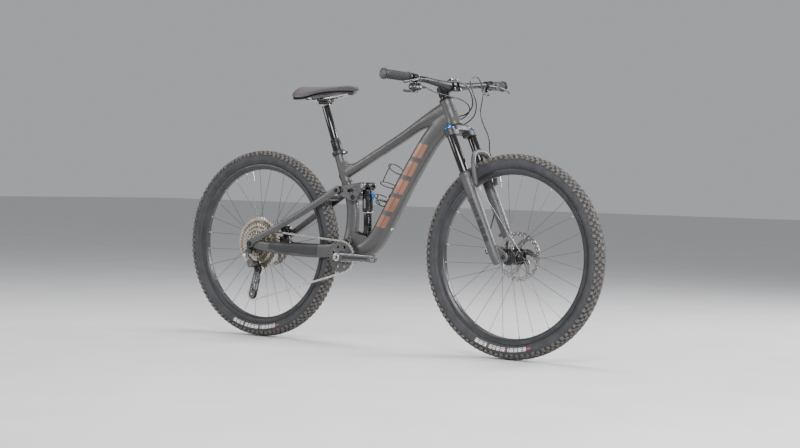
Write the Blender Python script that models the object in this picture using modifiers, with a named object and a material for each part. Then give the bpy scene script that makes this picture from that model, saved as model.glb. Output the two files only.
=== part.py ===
"""Full-suspension mountain bike: frame, suspension fork, wheels, drivetrain and cockpit.

Metres, +Z up. The origin lies on the ground midway between the axles, +X points forwards, and the
drive side is -Y. Each named object is one closed solid; moving ones hang on an empty at their axis.
"""
import bpy
import bmesh
from math import asin, atan2, cos, pi, radians, sin
from mathutils import Matrix, Vector

# ---- driving dimensions ----
GAP = 0.0003                    # clearance between touching pieces
WHEELBASE = 1.180
TYRE_RADIUS = 0.3705
TYRE_HALF_WIDTH = 0.0305
RIM_INNER_RADIUS = 0.295
RIM_HALF_WIDTH = 0.0178
WHEEL_STEPS = 32
SPOKES = 28
CROSSES = 3
ROTOR_RADIUS = 0.090
ROTOR_HOLE = 0.0170
FRONT_HUB_HALF = 0.055          # half of the distance between the dropouts
REAR_HUB_HALF = 0.074
FRONT_ROTOR_Y = 0.0395
REAR_ROTOR_Y = 0.0575
FORK_LEG_Y = 0.066
HEAD_ANGLE = radians(65)
AXLE_TO_CROWN = 0.537
FORK_OFFSET = 0.0426            # axle ahead of the steering axis
CROWN_OFFSET = 0.0106           # legs ahead of the steering axis
STANCHION_RADIUS = 0.017
LOWER_LEG_RADIUS = 0.0215
HEAD_TUBE_LENGTH = 0.105
STEERER_RADIUS = 0.0143
STEM_REACH = 0.050
BAR_HALF_WIDTH = 0.3865         # to the end of the tube, inside the grips' ends
BB_X, BB_Z = -0.1543, 0.337
CRANK_LENGTH = 0.175
CHAINRING_RADIUS = 0.0606
CHAINLINE = -0.052
COG_TEETH = (10, 12, 14, 16, 18, 21, 24, 28, 33, 39, 45, 51)
COG_PITCH = 0.00365
SMALLEST_COG_Y = -0.069
CASSETTE_BORE = 0.0175
CHAIN_COG = 7                   # index of the cog that the chain lies on
CHAIN_LINK = 0.0127
CHAIN_HALF_HEIGHT = 0.0040
CHAIN_HALF_WIDTH = 0.0026

AXLE_Z = TYRE_RADIUS
REAR_X = -WHEELBASE / 2
FRONT_X = WHEELBASE / 2
Y_AXIS = Vector((0, 1, 0))
Z_AXIS = Vector((0, 0, 1))

# Suspension pivots, in the side plane (x, z).
MAIN_PIVOT = (-0.1385, 0.396)
ROCKER_PIVOT = (-0.117, 0.566)
STAY_PIVOT = (-0.192, 0.592)
SHOCK_TOP = (-0.0745, 0.612)
SHOCK_FOOT = (-0.0685, 0.408)

# Seat post: a point on its axis and the direction up it.
POST_FOOT = Vector((-0.2265, 0, 0.755))
POST_UP = Vector((-0.362, 0, 0.932)).normalized()

# ---- scene ----
for old in list(bpy.data.objects):
    bpy.data.objects.remove(old)
PARTS = bpy.data.collections.new("mountain_bike")
CUTTERS = bpy.data.collections.new("cutters")
bpy.context.scene.collection.children.link(PARTS)
bpy.context.scene.collection.children.link(CUTTERS)


def finish(name, colour, roughness, metallic=0.0):
    """A plain material."""
    material = bpy.data.materials.new(name)
    material.use_nodes = True
    shader = material.node_tree.nodes["Principled BSDF"]
    shader.inputs["Base Color"].default_value = (*colour, 1)
    shader.inputs["Roughness"].default_value = roughness
    shader.inputs["Metallic"].default_value = metallic
    return material


FRAME_PAINT = finish("frame_paint", (0.055, 0.052, 0.050), 0.5)
RUBBER = finish("rubber", (0.02, 0.02, 0.022), 0.8)
BLACK_METAL = finish("black_metal", (0.015, 0.015, 0.016), 0.4, 0.6)
GREY_METAL = finish("grey_metal", (0.09, 0.09, 0.095), 0.4, 0.7)
SILVER = finish("silver", (0.62, 0.58, 0.52), 0.3, 1.0)
STANCHION_BLACK = finish("stanchion_black", (0.01, 0.01, 0.011), 0.12, 0.5)
LOWERS_PAINT = finish("lowers_paint", (0.03, 0.03, 0.032), 0.35)
BLUE = finish("blue_anodised", (0.05, 0.25, 0.60), 0.3, 0.8)
SADDLE_BLACK = finish("saddle_black", (0.03, 0.027, 0.032), 0.6)
PLASTIC = finish("black_plastic", (0.012, 0.012, 0.013), 0.5)
HOSE = finish("hose_black", (0.012, 0.012, 0.012), 0.45)


# ---- shape helpers ----
def side(point, y=0.0):
    """A point of the side plane, at lateral position y."""
    return Vector((point[0], y, point[1]))


def along_axis(direction):
    """The rotation that turns local +Z onto a direction."""
    return Vector(direction).to_track_quat("Z", "Y").to_matrix().to_4x4()


def new_object(name, mesh, material):
    obj = bpy.data.objects.new(name, mesh)
    PARTS.objects.link(obj)
    if material:
        mesh.materials.clear()
        mesh.materials.append(material)
    return obj


def outward(mesh):
    """Faces point out, round faces are smooth."""
    bm = bmesh.new()
    bm.from_mesh(mesh)
    bmesh.ops.remove_doubles(bm, verts=bm.verts, dist=1e-6)
    bmesh.ops.recalc_face_normals(bm, faces=bm.faces)
    if bm.calc_volume(signed=True) < 0:
        bmesh.ops.reverse_faces(bm, faces=bm.faces)
    bm.to_mesh(mesh)
    bm.free()
    mesh.shade_smooth()
    mesh.set_sharp_from_angle(angle=radians(35))


def turned(name, profile, centre, direction, material, steps=12, turn=0.0):
    """A profile of (radius, height) points, turned about an axis with a Screw modifier.

    A profile that starts and ends on the axis is open; any other is a closed ring section.
    """
    area = sum(a[0] * b[1] - b[0] * a[1] for a, b in zip(profile, profile[1:] + profile[:1]))
    points = list(profile) if area < 0 else list(reversed(profile))
    ring = all(radius > 1e-6 for radius, height in profile)
    count = len(points)
    edges = [(i, i + 1) for i in range(count - 1)]
    if ring:
        edges.append((count - 1, 0))
    mesh = bpy.data.meshes.new(name)
    mesh.from_pydata([(radius, 0, height) for radius, height in points], edges, [])
    obj = new_object(name, mesh, material)
    obj.matrix_world = Matrix.Translation(centre) @ along_axis(direction) @ Matrix.Rotation(turn, 4, "Z")
    screw = obj.modifiers.new("turn", "SCREW")
    screw.angle = 2 * pi
    screw.steps = steps
    screw.render_steps = steps
    screw.use_merge_vertices = True
    screw.merge_threshold = 1e-6
    screw.use_smooth_shade = True
    return obj


def rod(name, start, end, radius, material, steps=8):
    """A plain cylinder between two points."""
    start, end = Vector(start), Vector(end)
    length = (end - start).length
    profile = [(0, 0), (radius, 0), (radius, length), (0, length)]
    return turned(name, profile, start, end - start, material, steps)


def block(name, size, centre, material, turn_y=0.0, bevel=0.0):
    """A box turned about +Y."""
    mesh = bpy.data.meshes.new(name)
    bm = bmesh.new()
    bmesh.ops.create_cube(bm, size=1, matrix=Matrix.Diagonal((*size, 1)))
    bm.to_mesh(mesh)
    bm.free()
    obj = new_object(name, mesh, material)
    obj.matrix_world = Matrix.Translation(centre) @ Matrix.Rotation(turn_y, 4, "Y")
    if bevel:
        edge = obj.modifiers.new("edges", "BEVEL")
        edge.width = bevel
        edge.segments = 1
    return obj


def smooth_route(points, per_span=3):
    """Points read from a smooth curve (Catmull-Rom) through the given ones."""
    points = [Vector(p) for p in points]
    ends = [2 * points[0] - points[1]] + points + [2 * points[-1] - points[-2]]
    route = []
    for a, b, c, d in zip(ends, ends[1:], ends[2:], ends[3:]):
        for step in range(per_span):
            t = step / per_span
            route.append(0.5 * (2 * b + (c - a) * t + (2 * a - 5 * b + 4 * c - d) * t * t
                                + (3 * b - a - 3 * c + d) * t ** 3))
    return route + [points[-1]]


def tube(name, route, radius, material, resolution=2, cyclic=False):
    """A POLY curve with round section and filled caps."""
    curve = bpy.data.curves.new(name, "CURVE")
    curve.dimensions = "3D"
    curve.bevel_depth = radius
    curve.bevel_resolution = resolution
    curve.use_fill_caps = not cyclic
    spline = curve.splines.new("POLY")
    spline.points.add(len(route) - 1)
    for point, place in zip(spline.points, route):
        point.co = (*place, 1)
    spline.use_cyclic_u = cyclic
    curve.materials.append(material)
    obj = bpy.data.objects.new(name, curve)
    PARTS.objects.link(obj)
    return obj


def as_mesh(curve_object):
    """The curve as a welded mesh object of the same name and place."""
    name = curve_object.name
    graph = bpy.context.evaluated_depsgraph_get()
    mesh = bpy.data.meshes.new_from_object(curve_object.evaluated_get(graph))
    place = curve_object.matrix_world.copy()
    bpy.data.objects.remove(curve_object)
    outward(mesh)
    obj = new_object(name, mesh, None)
    obj.matrix_world = place
    return obj


def plate(name, outlines, half_thickness, y, material):
    """A flat plate in the side plane: the first outline is its edge, the others are holes."""
    curve = bpy.data.curves.new(name, "CURVE")
    curve.dimensions = "2D"
    curve.fill_mode = "BOTH"
    curve.extrude = half_thickness
    for outline in outlines:
        spline = curve.splines.new("POLY")
        spline.points.add(len(outline) - 1)
        for point, (x, z) in zip(spline.points, outline):
            point.co = (x, z, 0, 1)
        spline.use_cyclic_u = True
    curve.materials.append(material)
    obj = bpy.data.objects.new(name, curve)
    PARTS.objects.link(obj)
    obj.matrix_world = Matrix.Translation((0, y, 0)) @ Matrix.Rotation(pi / 2, 4, "X")
    bpy.context.view_layer.update()
    return as_mesh(obj)


def circle(centre, radius, count, start=0.0):
    return [(centre[0] + radius * cos(start + 2 * pi * i / count),
             centre[1] + radius * sin(start + 2 * pi * i / count)) for i in range(count)]


def loft(name, stations, material, sides=10, squareness=2.4):
    """A tube of changing oval section: stations of (point, half depth, half width).

    The width lies across the bike, the depth in the side plane. squareness 2 is an ellipse.
    """
    centres = [Vector(s[0]) for s in stations]
    rings = []
    for i, (place, depth, width) in enumerate(stations):
        ahead = centres[min(i + 1, len(centres) - 1)] - centres[max(i - 1, 0)]
        out = Y_AXIS.cross(ahead).normalized()
        across = ahead.cross(out).normalized()
        ring = []
        for k in range(sides):
            angle = 2 * pi * (k + 0.5) / sides
            c, s = cos(angle), sin(angle)
            reach = (abs(c) ** squareness + abs(s) ** squareness) ** (-1 / squareness)
            ring.append(centres[i] + out * depth * c * reach + across * width * s * reach)
        rings.append(ring)
    bm = bmesh.new()
    loops = [[bm.verts.new(p) for p in ring] for ring in rings]
    for low, high in zip(loops, loops[1:]):
        for k in range(sides):
            bm.faces.new((low[k], low[(k + 1) % sides], high[(k + 1) % sides], high[k]))
    bm.faces.new(loops[0])
    bm.faces.new(loops[-1])
    mesh = bpy.data.meshes.new(name)
    bm.to_mesh(mesh)
    bm.free()
    outward(mesh)
    return new_object(name, mesh, material)


# Joints whose many near-tangent faces the default solver leaves open.
MANIFOLD_SOLVED = {"main_frame", "fork_crown", "crank_right", "seatstays", "stem", "stem_faceplate",
                   "shock_body"}


def combine(kind, base, others):
    for other in others:
        PARTS.objects.unlink(other)
        CUTTERS.objects.link(other)
        other.name = f"{base.name}_{kind.lower()}_{len(base.modifiers)}"
        other.hide_render = True
        other.display_type = "WIRE"
        step = base.modifiers.new(kind.lower(), "BOOLEAN")
        step.operation = kind
        step.object = other
        step.solver = "MANIFOLD" if base.name in MANIFOLD_SOLVED else "EXACT"
        step.use_self = bool(other.get("self_crossing"))
    return base


def join(base, *others):
    return combine("UNION", base, others)


def cut(base, *others):
    return combine("DIFFERENCE", base, others)


def bore_radius(radius, steps):
    """A bore of so many flat sides that clears a round piece."""
    return (radius + GAP) / cos(pi / steps)


def ring_profile(inner, outer, low, high):
    return [(inner, low), (outer, low), (outer, high), (inner, high)]


# ---- steering geometry ----
STEER_UP = Vector((-cos(HEAD_ANGLE), 0, sin(HEAD_ANGLE)))
STEER_AHEAD = Vector((sin(HEAD_ANGLE), 0, cos(HEAD_ANGLE)))
STEER_TURN = HEAD_ANGLE - pi / 2        # turns a box's X onto STEER_AHEAD
FRONT_AXLE = Vector((FRONT_X, 0, AXLE_Z))
REAR_AXLE = Vector((REAR_X, 0, AXLE_Z))
BOTTOM_BRACKET = Vector((BB_X, 0, BB_Z))


def fork(up, ahead, y=0.0):
    """A point of the fork: up along the steering axis and ahead of the front axle."""
    return FRONT_AXLE + STEER_UP * up + STEER_AHEAD * ahead + Y_AXIS * y


STEER_AHEAD_OF_AXLE = -FORK_OFFSET
LEG_AHEAD = -FORK_OFFSET + CROWN_OFFSET
HEAD_BOTTOM = AXLE_TO_CROWN
HEAD_TOP = HEAD_BOTTOM + HEAD_TUBE_LENGTH


# ---- wheels ----
def tyre(name, hub):
    ground = TYRE_RADIUS / cos(pi / WHEEL_STEPS)
    bead, wall = 0.3113, TYRE_HALF_WIDTH
    half = [(ground, 0.012), (ground - 0.009, wall), (0.340, wall), (0.3180, 0.0150), (bead, 0.0150),
            (bead, 0.0110), (0.3450, 0.0265)]
    profile = half + [(radius, -y) for radius, y in reversed(half)]
    return turned(name, profile, hub, Y_AXIS, RUBBER, WHEEL_STEPS, pi / WHEEL_STEPS)


def rim(name, hub):
    lip, half = 0.3168, RIM_HALF_WIDTH
    right = [(lip, half), (lip, half - 0.0024), (0.3108, half - 0.0024)]
    left = [(radius, -y) for radius, y in reversed(right)]
    inner = [(0.3060, -half), (RIM_INNER_RADIUS, -0.009), (RIM_INNER_RADIUS, 0.009), (0.3060, half)]
    return turned(name, right + left + inner, hub, Y_AXIS, BLACK_METAL, WHEEL_STEPS, pi / WHEEL_STEPS)


def spokes(name, hub, flange_radius, left_y, right_y):
    """All spokes of a wheel in one mesh: each is a three-sided bar from a flange to the rim."""
    rim_end = (RIM_INNER_RADIUS - 0.0002) * cos(pi / WHEEL_STEPS) - GAP
    per_side = SPOKES // 2
    bm = bmesh.new()
    for number in range(SPOKES):
        leading = 1 if (number // 2) % 2 else -1
        flange_y = left_y if number % 2 else right_y
        rim_angle = 2 * pi * (number + 0.5) / SPOKES
        swing = leading * 2 * pi * (CROSSES + 0.25) / per_side
        flange_angle = rim_angle + swing
        lean = 0.0018 * leading
        start = Vector((flange_radius * cos(flange_angle), flange_y + lean,
                        flange_radius * sin(flange_angle)))
        end = Vector((rim_end * cos(rim_angle), 0.004 * (1 if flange_y > 0 else -1),
                      rim_end * sin(rim_angle)))
        place = Matrix.Translation(hub + (start + end) / 2) @ along_axis(end - start)
        bmesh.ops.create_cone(bm, cap_ends=True, segments=3, radius1=0.0011, radius2=0.0011,
                              depth=(end - start).length, matrix=place)
    mesh = bpy.data.meshes.new(name)
    bm.to_mesh(mesh)
    bm.free()
    obj = new_object(name, mesh, BLACK_METAL)
    obj["self_crossing"] = True
    return obj


def hub_with_spokes(name, hub, bore, half, right_flange, left_flange, flange_radius):
    """A hub shell with two flanges, and the spokes laced to them."""
    body = 0.014
    flange = 0.0028
    edge = flange_radius + 0.004
    profile = [(bore, -half), (0.0125, -half), (body, right_flange - 0.006), (edge, right_flange - flange),
               (edge, right_flange + flange), (body, right_flange + 0.008), (body, left_flange - 0.008),
               (edge, left_flange - flange), (edge, left_flange + flange), (body, left_flange + 0.006),
               (0.0125, half), (bore, half)]
    shell = turned(name, profile, hub, Y_AXIS, BLACK_METAL, 12)
    return join(shell, spokes(name + "_spokes", hub, flange_radius, left_flange, right_flange))


def rotor(name, hub, y, spider_hole):
    """A brake disc: a swept ring on six curved arms."""
    outer = circle((hub.x, hub.z), ROTOR_RADIUS, WHEEL_STEPS)
    centre_hole = circle((hub.x, hub.z), spider_hole, 16)
    windows = []
    arms = 6
    for arm in range(arms):
        base = 2 * pi * arm / arms
        window = []
        for radius, start, stop in ((0.073, 0.10, 0.92), (0.032, 1.25, 0.75)):
            for step in range(4):
                angle = base + 2 * pi / arms * (start + (stop - start) * step / 3)
                window.append((hub.x + radius * cos(angle), hub.z + radius * sin(angle)))
        windows.append(window)
    return plate(name, [outer, centre_hole] + windows, 0.0009, y, SILVER)


def front_wheel():
    tyre("front_tyre", FRONT_AXLE)
    rim("front_rim", FRONT_AXLE)
    hub_with_spokes("front_hub", FRONT_AXLE, 0.0078, FRONT_HUB_HALF - GAP, -0.034, 0.022, 0.025)
    rotor("front_rotor", FRONT_AXLE, FRONT_ROTOR_Y, ROTOR_HOLE)


def cog_radius(index):
    return CHAIN_LINK * COG_TEETH[index] / (2 * pi)


def cog_y(index):
    return SMALLEST_COG_Y + COG_PITCH * index


def cassette():
    """Twelve stepped cogs, turned as one sleeve; the cog under the chain is cut back to its rollers."""
    half = COG_PITCH / 2
    profile = [(CASSETTE_BORE, cog_y(0) - half)]
    for index in range(len(COG_TEETH)):
        radius = cog_radius(index) - 0.001
        low, high = cog_y(index) - half, cog_y(index) + half
        if index == CHAIN_COG:
            radius = cog_radius(index) - CHAIN_HALF_HEIGHT - 0.0012
            high = cog_y(index) + CHAIN_HALF_WIDTH + 0.0006
        if index == CHAIN_COG + 1:
            low = cog_y(index - 1) + CHAIN_HALF_WIDTH + 0.0006
        profile += [(radius, low), (radius, high)]
    profile.append((CASSETTE_BORE, profile[-1][1]))
    turned("cassette", profile, REAR_AXLE, Y_AXIS, SILVER, 12)


def rear_wheel():
    tyre("rear_tyre", REAR_AXLE)
    rim("rear_rim", REAR_AXLE)
    shell = hub_with_spokes("rear_hub", REAR_AXLE, 0.0063, REAR_HUB_HALF - GAP, -0.0205, 0.034, 0.027)
    freehub_profile = ring_profile(0.0080, CASSETTE_BORE * cos(pi / 12) - GAP, cog_y(0) - COG_PITCH, -0.024)
    freehub = turned("freehub", freehub_profile, REAR_AXLE, Y_AXIS, GREY_METAL, 12)
    join(shell, freehub)
    rotor("rear_rotor", REAR_AXLE, REAR_ROTOR_Y, ROTOR_HOLE)
    cassette()


# ---- frame ----
HEAD_BORE = 0.0212
SEAT_BORE = 0.0178
PORT_PLACES = ((0.276, 0.878), (0.262, 0.862), (0.246, 0.846))
PORT_Y = 0.036
PIVOT_PIN = 0.0055
PIVOT_BORE = bore_radius(PIVOT_PIN, 8)
SHOCK_ROOM = 0.0240             # the room round the shock's lower eye, which shifts a little as it moves
SHOCK_ROOM_HALF_WIDTH = 0.0172
BB_SLEEVE = 0.0215
DOWN_TUBE_DIRECTION = (side((0.115, 0.634)) - side((0.055, 0.533))).normalized()
CAGE_OUT = Vector((-DOWN_TUBE_DIRECTION.z, 0, DOWN_TUBE_DIRECTION.x))
CAGE_BOLTS = ((0.060, 0.541), (0.0943, 0.5987))
CAGE_SEAT = 0.0375              # the cage's back, out from the tube's centre line


DOWN_TUBE = [(side((-0.150, 0.345)), 0.026, 0.030), (side((-0.095, 0.360)), 0.034, 0.031),
             (side((-0.052, 0.381)), 0.036, 0.030), (side((-0.010, 0.424)), 0.035, 0.030),
             (side((0.055, 0.533)), 0.035, 0.029), (side((0.115, 0.634)), 0.035, 0.028),
             (side((0.168, 0.718)), 0.036, 0.026), (side((0.215, 0.785)), 0.037, 0.024),
             (side((0.262, 0.838)), 0.038, 0.023), (side((0.296, 0.872)), 0.030, 0.022)]
TOP_TUBE = [(side((-0.205, 0.640)), 0.0130, 0.014), (side((-0.160, 0.664)), 0.0180, 0.017),
            (side((-0.085, 0.704)), 0.0175, 0.019), (side((0.075, 0.791)), 0.0180, 0.020),
            (side((0.155, 0.838)), 0.0200, 0.021), (side((0.215, 0.868)), 0.0270, 0.022),
            (side((0.270, 0.893)), 0.0330, 0.022), (side((0.296, 0.904)), 0.0280, 0.021)]
SEAT_MAST = [(side((-0.1520, 0.345)), 0.0240, 0.0300), (side((-0.1500, 0.400)), 0.0250, 0.0285),
             (side((-0.1430, 0.450)), 0.0250, 0.0220), (side((-0.1410, 0.510)), 0.0250, 0.0210),
             (side((-0.1500, 0.562)), 0.0240, 0.0210), (side((-0.1720, 0.620)), 0.0225, 0.0210)]
GUSSET = [(-0.190, 0.690), (-0.212, 0.714), (-0.205, 0.714), (-0.188, 0.704),
          (-0.165, 0.693), (-0.120, 0.700), (-0.130, 0.675), (-0.180, 0.650)]
FOOT_LUG = [(-0.128, 0.437), (-0.090, 0.424), (-0.0685, 0.423), (-0.054, 0.415),
            (-0.050, 0.400), (-0.040, 0.380), (-0.120, 0.360)]


def through_rod(name, point, reach, radius, material, steps=8):
    """A rod across the bike through a point of the side plane, reaching equally to both sides."""
    return rod(name, side(point, -reach), side(point, reach), radius, material, steps)


def frame_tubes():
    """The down, top and seat tubes, the gusset behind the seat tube and the bottom bracket's shell."""
    down = loft("down_tube", DOWN_TUBE, FRAME_PAINT, 8, 3.0)
    top = loft("top_tube", TOP_TUBE, FRAME_PAINT, 8, 2.6)
    mast = loft("seat_mast", SEAT_MAST, FRAME_PAINT, 10, 2.4)
    seat_profile = [(0, -0.150), (0.0215, -0.150), (0.0200, -0.060), (0.0198, -0.012), (0, -0.012)]
    seat = turned("seat_tube", seat_profile, POST_FOOT, POST_UP, FRAME_PAINT, 12)
    gusset = plate("gusset", [GUSSET], 0.011, 0, FRAME_PAINT)
    shell = through_rod("bb_shell", (BB_X, BB_Z), 0.0365, 0.0265, FRAME_PAINT, 12)
    return down, top, mast, seat, gusset, shell


def frame_bosses():
    """The pivot bosses, the lugs beside the shock's foot, the hose ports and the cage's bosses."""
    bosses = [
        through_rod("pivot_boss", MAIN_PIVOT, 0.0325, 0.0150, FRAME_PAINT),
        through_rod("rocker_boss", ROCKER_PIVOT, 0.0280, 0.0130, FRAME_PAINT),
    ]
    for y in (-0.0215, 0.0215):
        bosses.append(plate(f"foot_lug_{y}", [FOOT_LUG], 0.004, y, FRAME_PAINT))
    for i, place in enumerate(PORT_PLACES):
        bosses.append(rod(f"port_{i}", side(place, 0.005), side(place, PORT_Y), 0.0055, FRAME_PAINT))
    for i, place in enumerate(CAGE_BOLTS):
        top = side(place) + CAGE_OUT * (CAGE_SEAT - GAP)
        bosses.append(rod(f"cage_boss_{i}", side(place), top, 0.0060, FRAME_PAINT))
    return bosses


def main_frame():
    """Front triangle with head tube, seat mast, pivots, shock foot and cable ports."""
    lower, upper = fork(HEAD_BOTTOM - GAP, STEER_AHEAD_OF_AXLE), fork(HEAD_TOP, STEER_AHEAD_OF_AXLE)
    length = HEAD_TUBE_LENGTH + GAP
    head_profile = [(0, 0), (0.0285, 0), (0.0290, 0.012), (0.0255, 0.045), (0.0250, length - 0.012),
                    (0.0265, length), (0, length)]
    head = turned("main_frame", head_profile, lower, STEER_UP, FRAME_PAINT, 12)
    join(head, *frame_tubes(), *frame_bosses())
    seat_low, seat_high = POST_FOOT - POST_UP * 0.185, POST_FOOT + POST_UP * 0.02
    bores = [
        rod("head_bore", lower - STEER_UP * 0.02, upper + STEER_UP * 0.02, HEAD_BORE, None, 12),
        rod("seat_bore", seat_low, seat_high, SEAT_BORE, None, 12),
        through_rod("bb_bore", (BB_X, BB_Z), 0.05, BB_SLEEVE + GAP, None, 12),
        through_rod("main_bore", MAIN_PIVOT, 0.05, PIVOT_BORE, None),
        through_rod("rocker_bore", ROCKER_PIVOT, 0.05, PIVOT_BORE, None),
        through_rod("shock_room", SHOCK_FOOT, SHOCK_ROOM_HALF_WIDTH, SHOCK_ROOM, None, 12),
    ]
    cut(head, *bores)


def bottom_bracket():
    cups = [(0.0125, -0.0440), (0.0240, -0.0440), (0.0240, -0.0368), (BB_SLEEVE, -0.0368),
            (BB_SLEEVE, 0.0368), (0.0240, 0.0368), (0.0240, 0.0440), (0.0125, 0.0440)]
    turned("bottom_bracket", cups, BOTTOM_BRACKET, Y_AXIS, BLACK_METAL, 12)


CAGE_WIRE = 0.0032
BOTTLE_RADIUS = 0.0370


def cage_point(up, out, y=0.0):
    """A point of the bottle cage: up along the down tube from its lower bolt, and out from the tube."""
    return side(CAGE_BOLTS[0], y) + DOWN_TUBE_DIRECTION * up + CAGE_OUT * (CAGE_SEAT + out)


def cage_band(name, near_up, far_up, reach):
    """A closed band round the bottle, leaning from near_up at the tube to far_up on the far side."""
    route = []
    for angle in (2 * pi * step / 12 for step in range(12)):
        share = (1 - cos(angle)) / 2
        route.append(cage_point(near_up + (far_up - near_up) * share, CAGE_WIRE + reach * share,
                                BOTTLE_RADIUS * sin(angle)))
    return as_mesh(tube(name, route, CAGE_WIRE, PLASTIC, 1, cyclic=True))


def bottle_cage():
    """A strap on the down tube, a low cradle, and an upper loop that runs down the bottle's far side."""
    strap = as_mesh(tube("bottle_cage", [cage_point(up, CAGE_WIRE) for up in (-0.034, 0.0, 0.070, 0.116)],
                         CAGE_WIRE, PLASTIC, 2))
    foot = cage_band("cage_foot", -0.030, -0.022, 0.034)
    cradle_low = cage_band("cradle_low", -0.012, -0.012, 0.056)
    cradle_high = cage_band("cradle_high", 0.006, 0.006, 0.062)
    loop_low = cage_band("loop_low", 0.050, 0.043, 0.058)
    loop_top = cage_band("loop_top", 0.112, 0.122, 0.060)
    spine = as_mesh(tube("cage_spine", [cage_point(0.043, CAGE_WIRE + 0.058),
                                        cage_point(0.080, CAGE_WIRE + 0.061),
                                        cage_point(0.122, CAGE_WIRE + 0.060)], CAGE_WIRE, PLASTIC, 1))
    join(strap, foot, cradle_low, cradle_high, loop_low, loop_top, spine)


def headset():
    base = fork(HEAD_TOP + GAP, STEER_AHEAD_OF_AXLE)
    bore = bore_radius(STEERER_RADIUS, 12)
    turned("headset_upper", [(bore, 0), (0.0262, 0), (0.0255, 0.006), (0.0180, 0.0075), (0.0180, 0.0150),
                             (bore, 0.0150)], base, STEER_UP, BLACK_METAL, 12)


STEM_BOTTOM = HEAD_TOP + 0.0158
STEM_HEIGHT = 0.040
CLAMP_CENTRE = fork(STEM_BOTTOM + 0.021, STEER_AHEAD_OF_AXLE + STEM_REACH)
BAR_RADIUS = 0.0159
BAR_END_RADIUS = 0.0111


# ---- seat post and saddle ----
STANCHION_TOP = 0.175           # up from the seat tube's top
RAIL_RADIUS = 0.0035
RAIL_Y = 0.022
RAIL_LINE = (Vector((-0.345, 0, 0.9395)), Vector((-0.245, 0, 0.9505)))


def post(height, y=0.0):
    return POST_FOOT + POST_UP * height + Y_AXIS * y


def seat_clamp():
    """The collar round the seat tube's top, with its bolted ears at the front."""
    ring = turned("seat_clamp", ring_profile(bore_radius(0.0212, 16), 0.0254, -0.030, -0.0145), POST_FOOT,
                  POST_UP, BLACK_METAL, 12)
    ear_centre = post(-0.022) + Vector((0.0300, 0, 0.0045))
    ears = block("clamp_ears", (0.016, 0.017, 0.011), ear_centre, BLACK_METAL)
    bolt = rod("clamp_ear_bolt", ear_centre + Vector((0.003, -0.012, 0)),
               ear_centre + Vector((0.003, 0.012, 0)),
               0.0035, SILVER)
    join(ring, ears, bolt)


def seat_post():
    turned("dropper_lower_tube", [(0, -0.178), (0.0175, -0.178), (0.0175, -0.0110), (0.0187, -0.0110),
                                  (0.0187, 0.0330), (0.0165, 0.0360), (0.0154, 0.0360), (0.0154, -0.168),
                                  (0, -0.168)], POST_FOOT, POST_UP, BLACK_METAL, 12)
    turned("dropper_stanchion", [(0, -0.012), (0.0150, -0.012), (0.0150, STANCHION_TOP), (0, STANCHION_TOP)],
           POST_FOOT, POST_UP, STANCHION_BLACK, 12)


def saddle_clamp():
    """The clamp on the post's head, with a groove for each rail."""
    head = post(STANCHION_TOP)
    low, high = head + Vector((-0.001, 0, 0.0125)), head + Vector((-0.001, 0, 0.0225))
    clamp = block("saddle_clamp", (0.046, 0.034, 0.013), low, BLACK_METAL, 0, 0.003)
    cradle = block("cradle", (0.040, 0.060, 0.012), high, BLACK_METAL, 0, 0.002)
    bolts = []
    for x in (-0.0185, 0.0175):
        foot = head + Vector((x, 0, 0.0060))
        bolts.append(rod(f"clamp_bolt_{x}", foot, foot + Z_AXIS * 0.008, 0.0035, SILVER))
    join(clamp, cradle, *bolts)
    grooves = []
    for y in (-RAIL_Y, RAIL_Y):
        back, front = (point + Y_AXIS * y for point in RAIL_LINE)
        grooves.append(rod(f"groove_{y}", back, front, RAIL_RADIUS + 0.0012, None))
    cut(clamp, *grooves)


def saddle():
    half = [Vector((-0.395, 0, 0.9595)), Vector((-0.378, 0, 0.9480)), RAIL_LINE[0], RAIL_LINE[1],
            Vector((-0.215, -0.0040, 0.9570)), Vector((-0.180, -0.010, 0.9630))]
    left = [p + Y_AXIS * RAIL_Y for p in half]
    right = [Vector((p.x, -p.y, p.z)) for p in left]
    nose = [Vector((-0.168, 0.006, 0.9635)), Vector((-0.168, -0.006, 0.9635))]
    tube("saddle_rails", smooth_route(left, 2) + nose + list(reversed(smooth_route(right, 2))), RAIL_RADIUS,
         SILVER, 2)
    shell_stations = [((-0.410, 0, 0.9690), 0.0035, 0.060), ((-0.385, 0, 0.9670), 0.0035, 0.066),
                      ((-0.340, 0, 0.9670), 0.0035, 0.060), ((-0.285, 0, 0.9690), 0.0035, 0.038),
                      ((-0.220, 0, 0.9715), 0.0035, 0.022), ((-0.165, 0, 0.9715), 0.0035, 0.016),
                      ((-0.145, 0, 0.9700), 0.0030, 0.010)]
    loft("saddle_shell", shell_stations, PLASTIC, 12, 4)
    cover_stations = [((-0.4130, 0, 0.9825), 0.0060, 0.048), ((-0.4000, 0, 0.9830), 0.0105, 0.067),
                      ((-0.375, 0, 0.9830), 0.0110, 0.0700), ((-0.335, 0, 0.9820), 0.0100, 0.0640),
                      ((-0.285, 0, 0.9830), 0.0090, 0.0430), ((-0.225, 0, 0.9855), 0.0090, 0.0250),
                      ((-0.165, 0, 0.9865), 0.0095, 0.0185), ((-0.142, 0, 0.9840), 0.0085, 0.0140),
                      ((-0.1345, 0, 0.9810), 0.0045, 0.0080)]
    loft("saddle_cover", cover_stations, SADDLE_BLACK, 14, 2.2)


# ---- fork ----
LOWER_TOP = 0.3454
LEG_BOTTOM = -0.014
CROWN_LEG_LOW = 0.479
CROWN_LEG_TOP = 0.517


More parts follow.
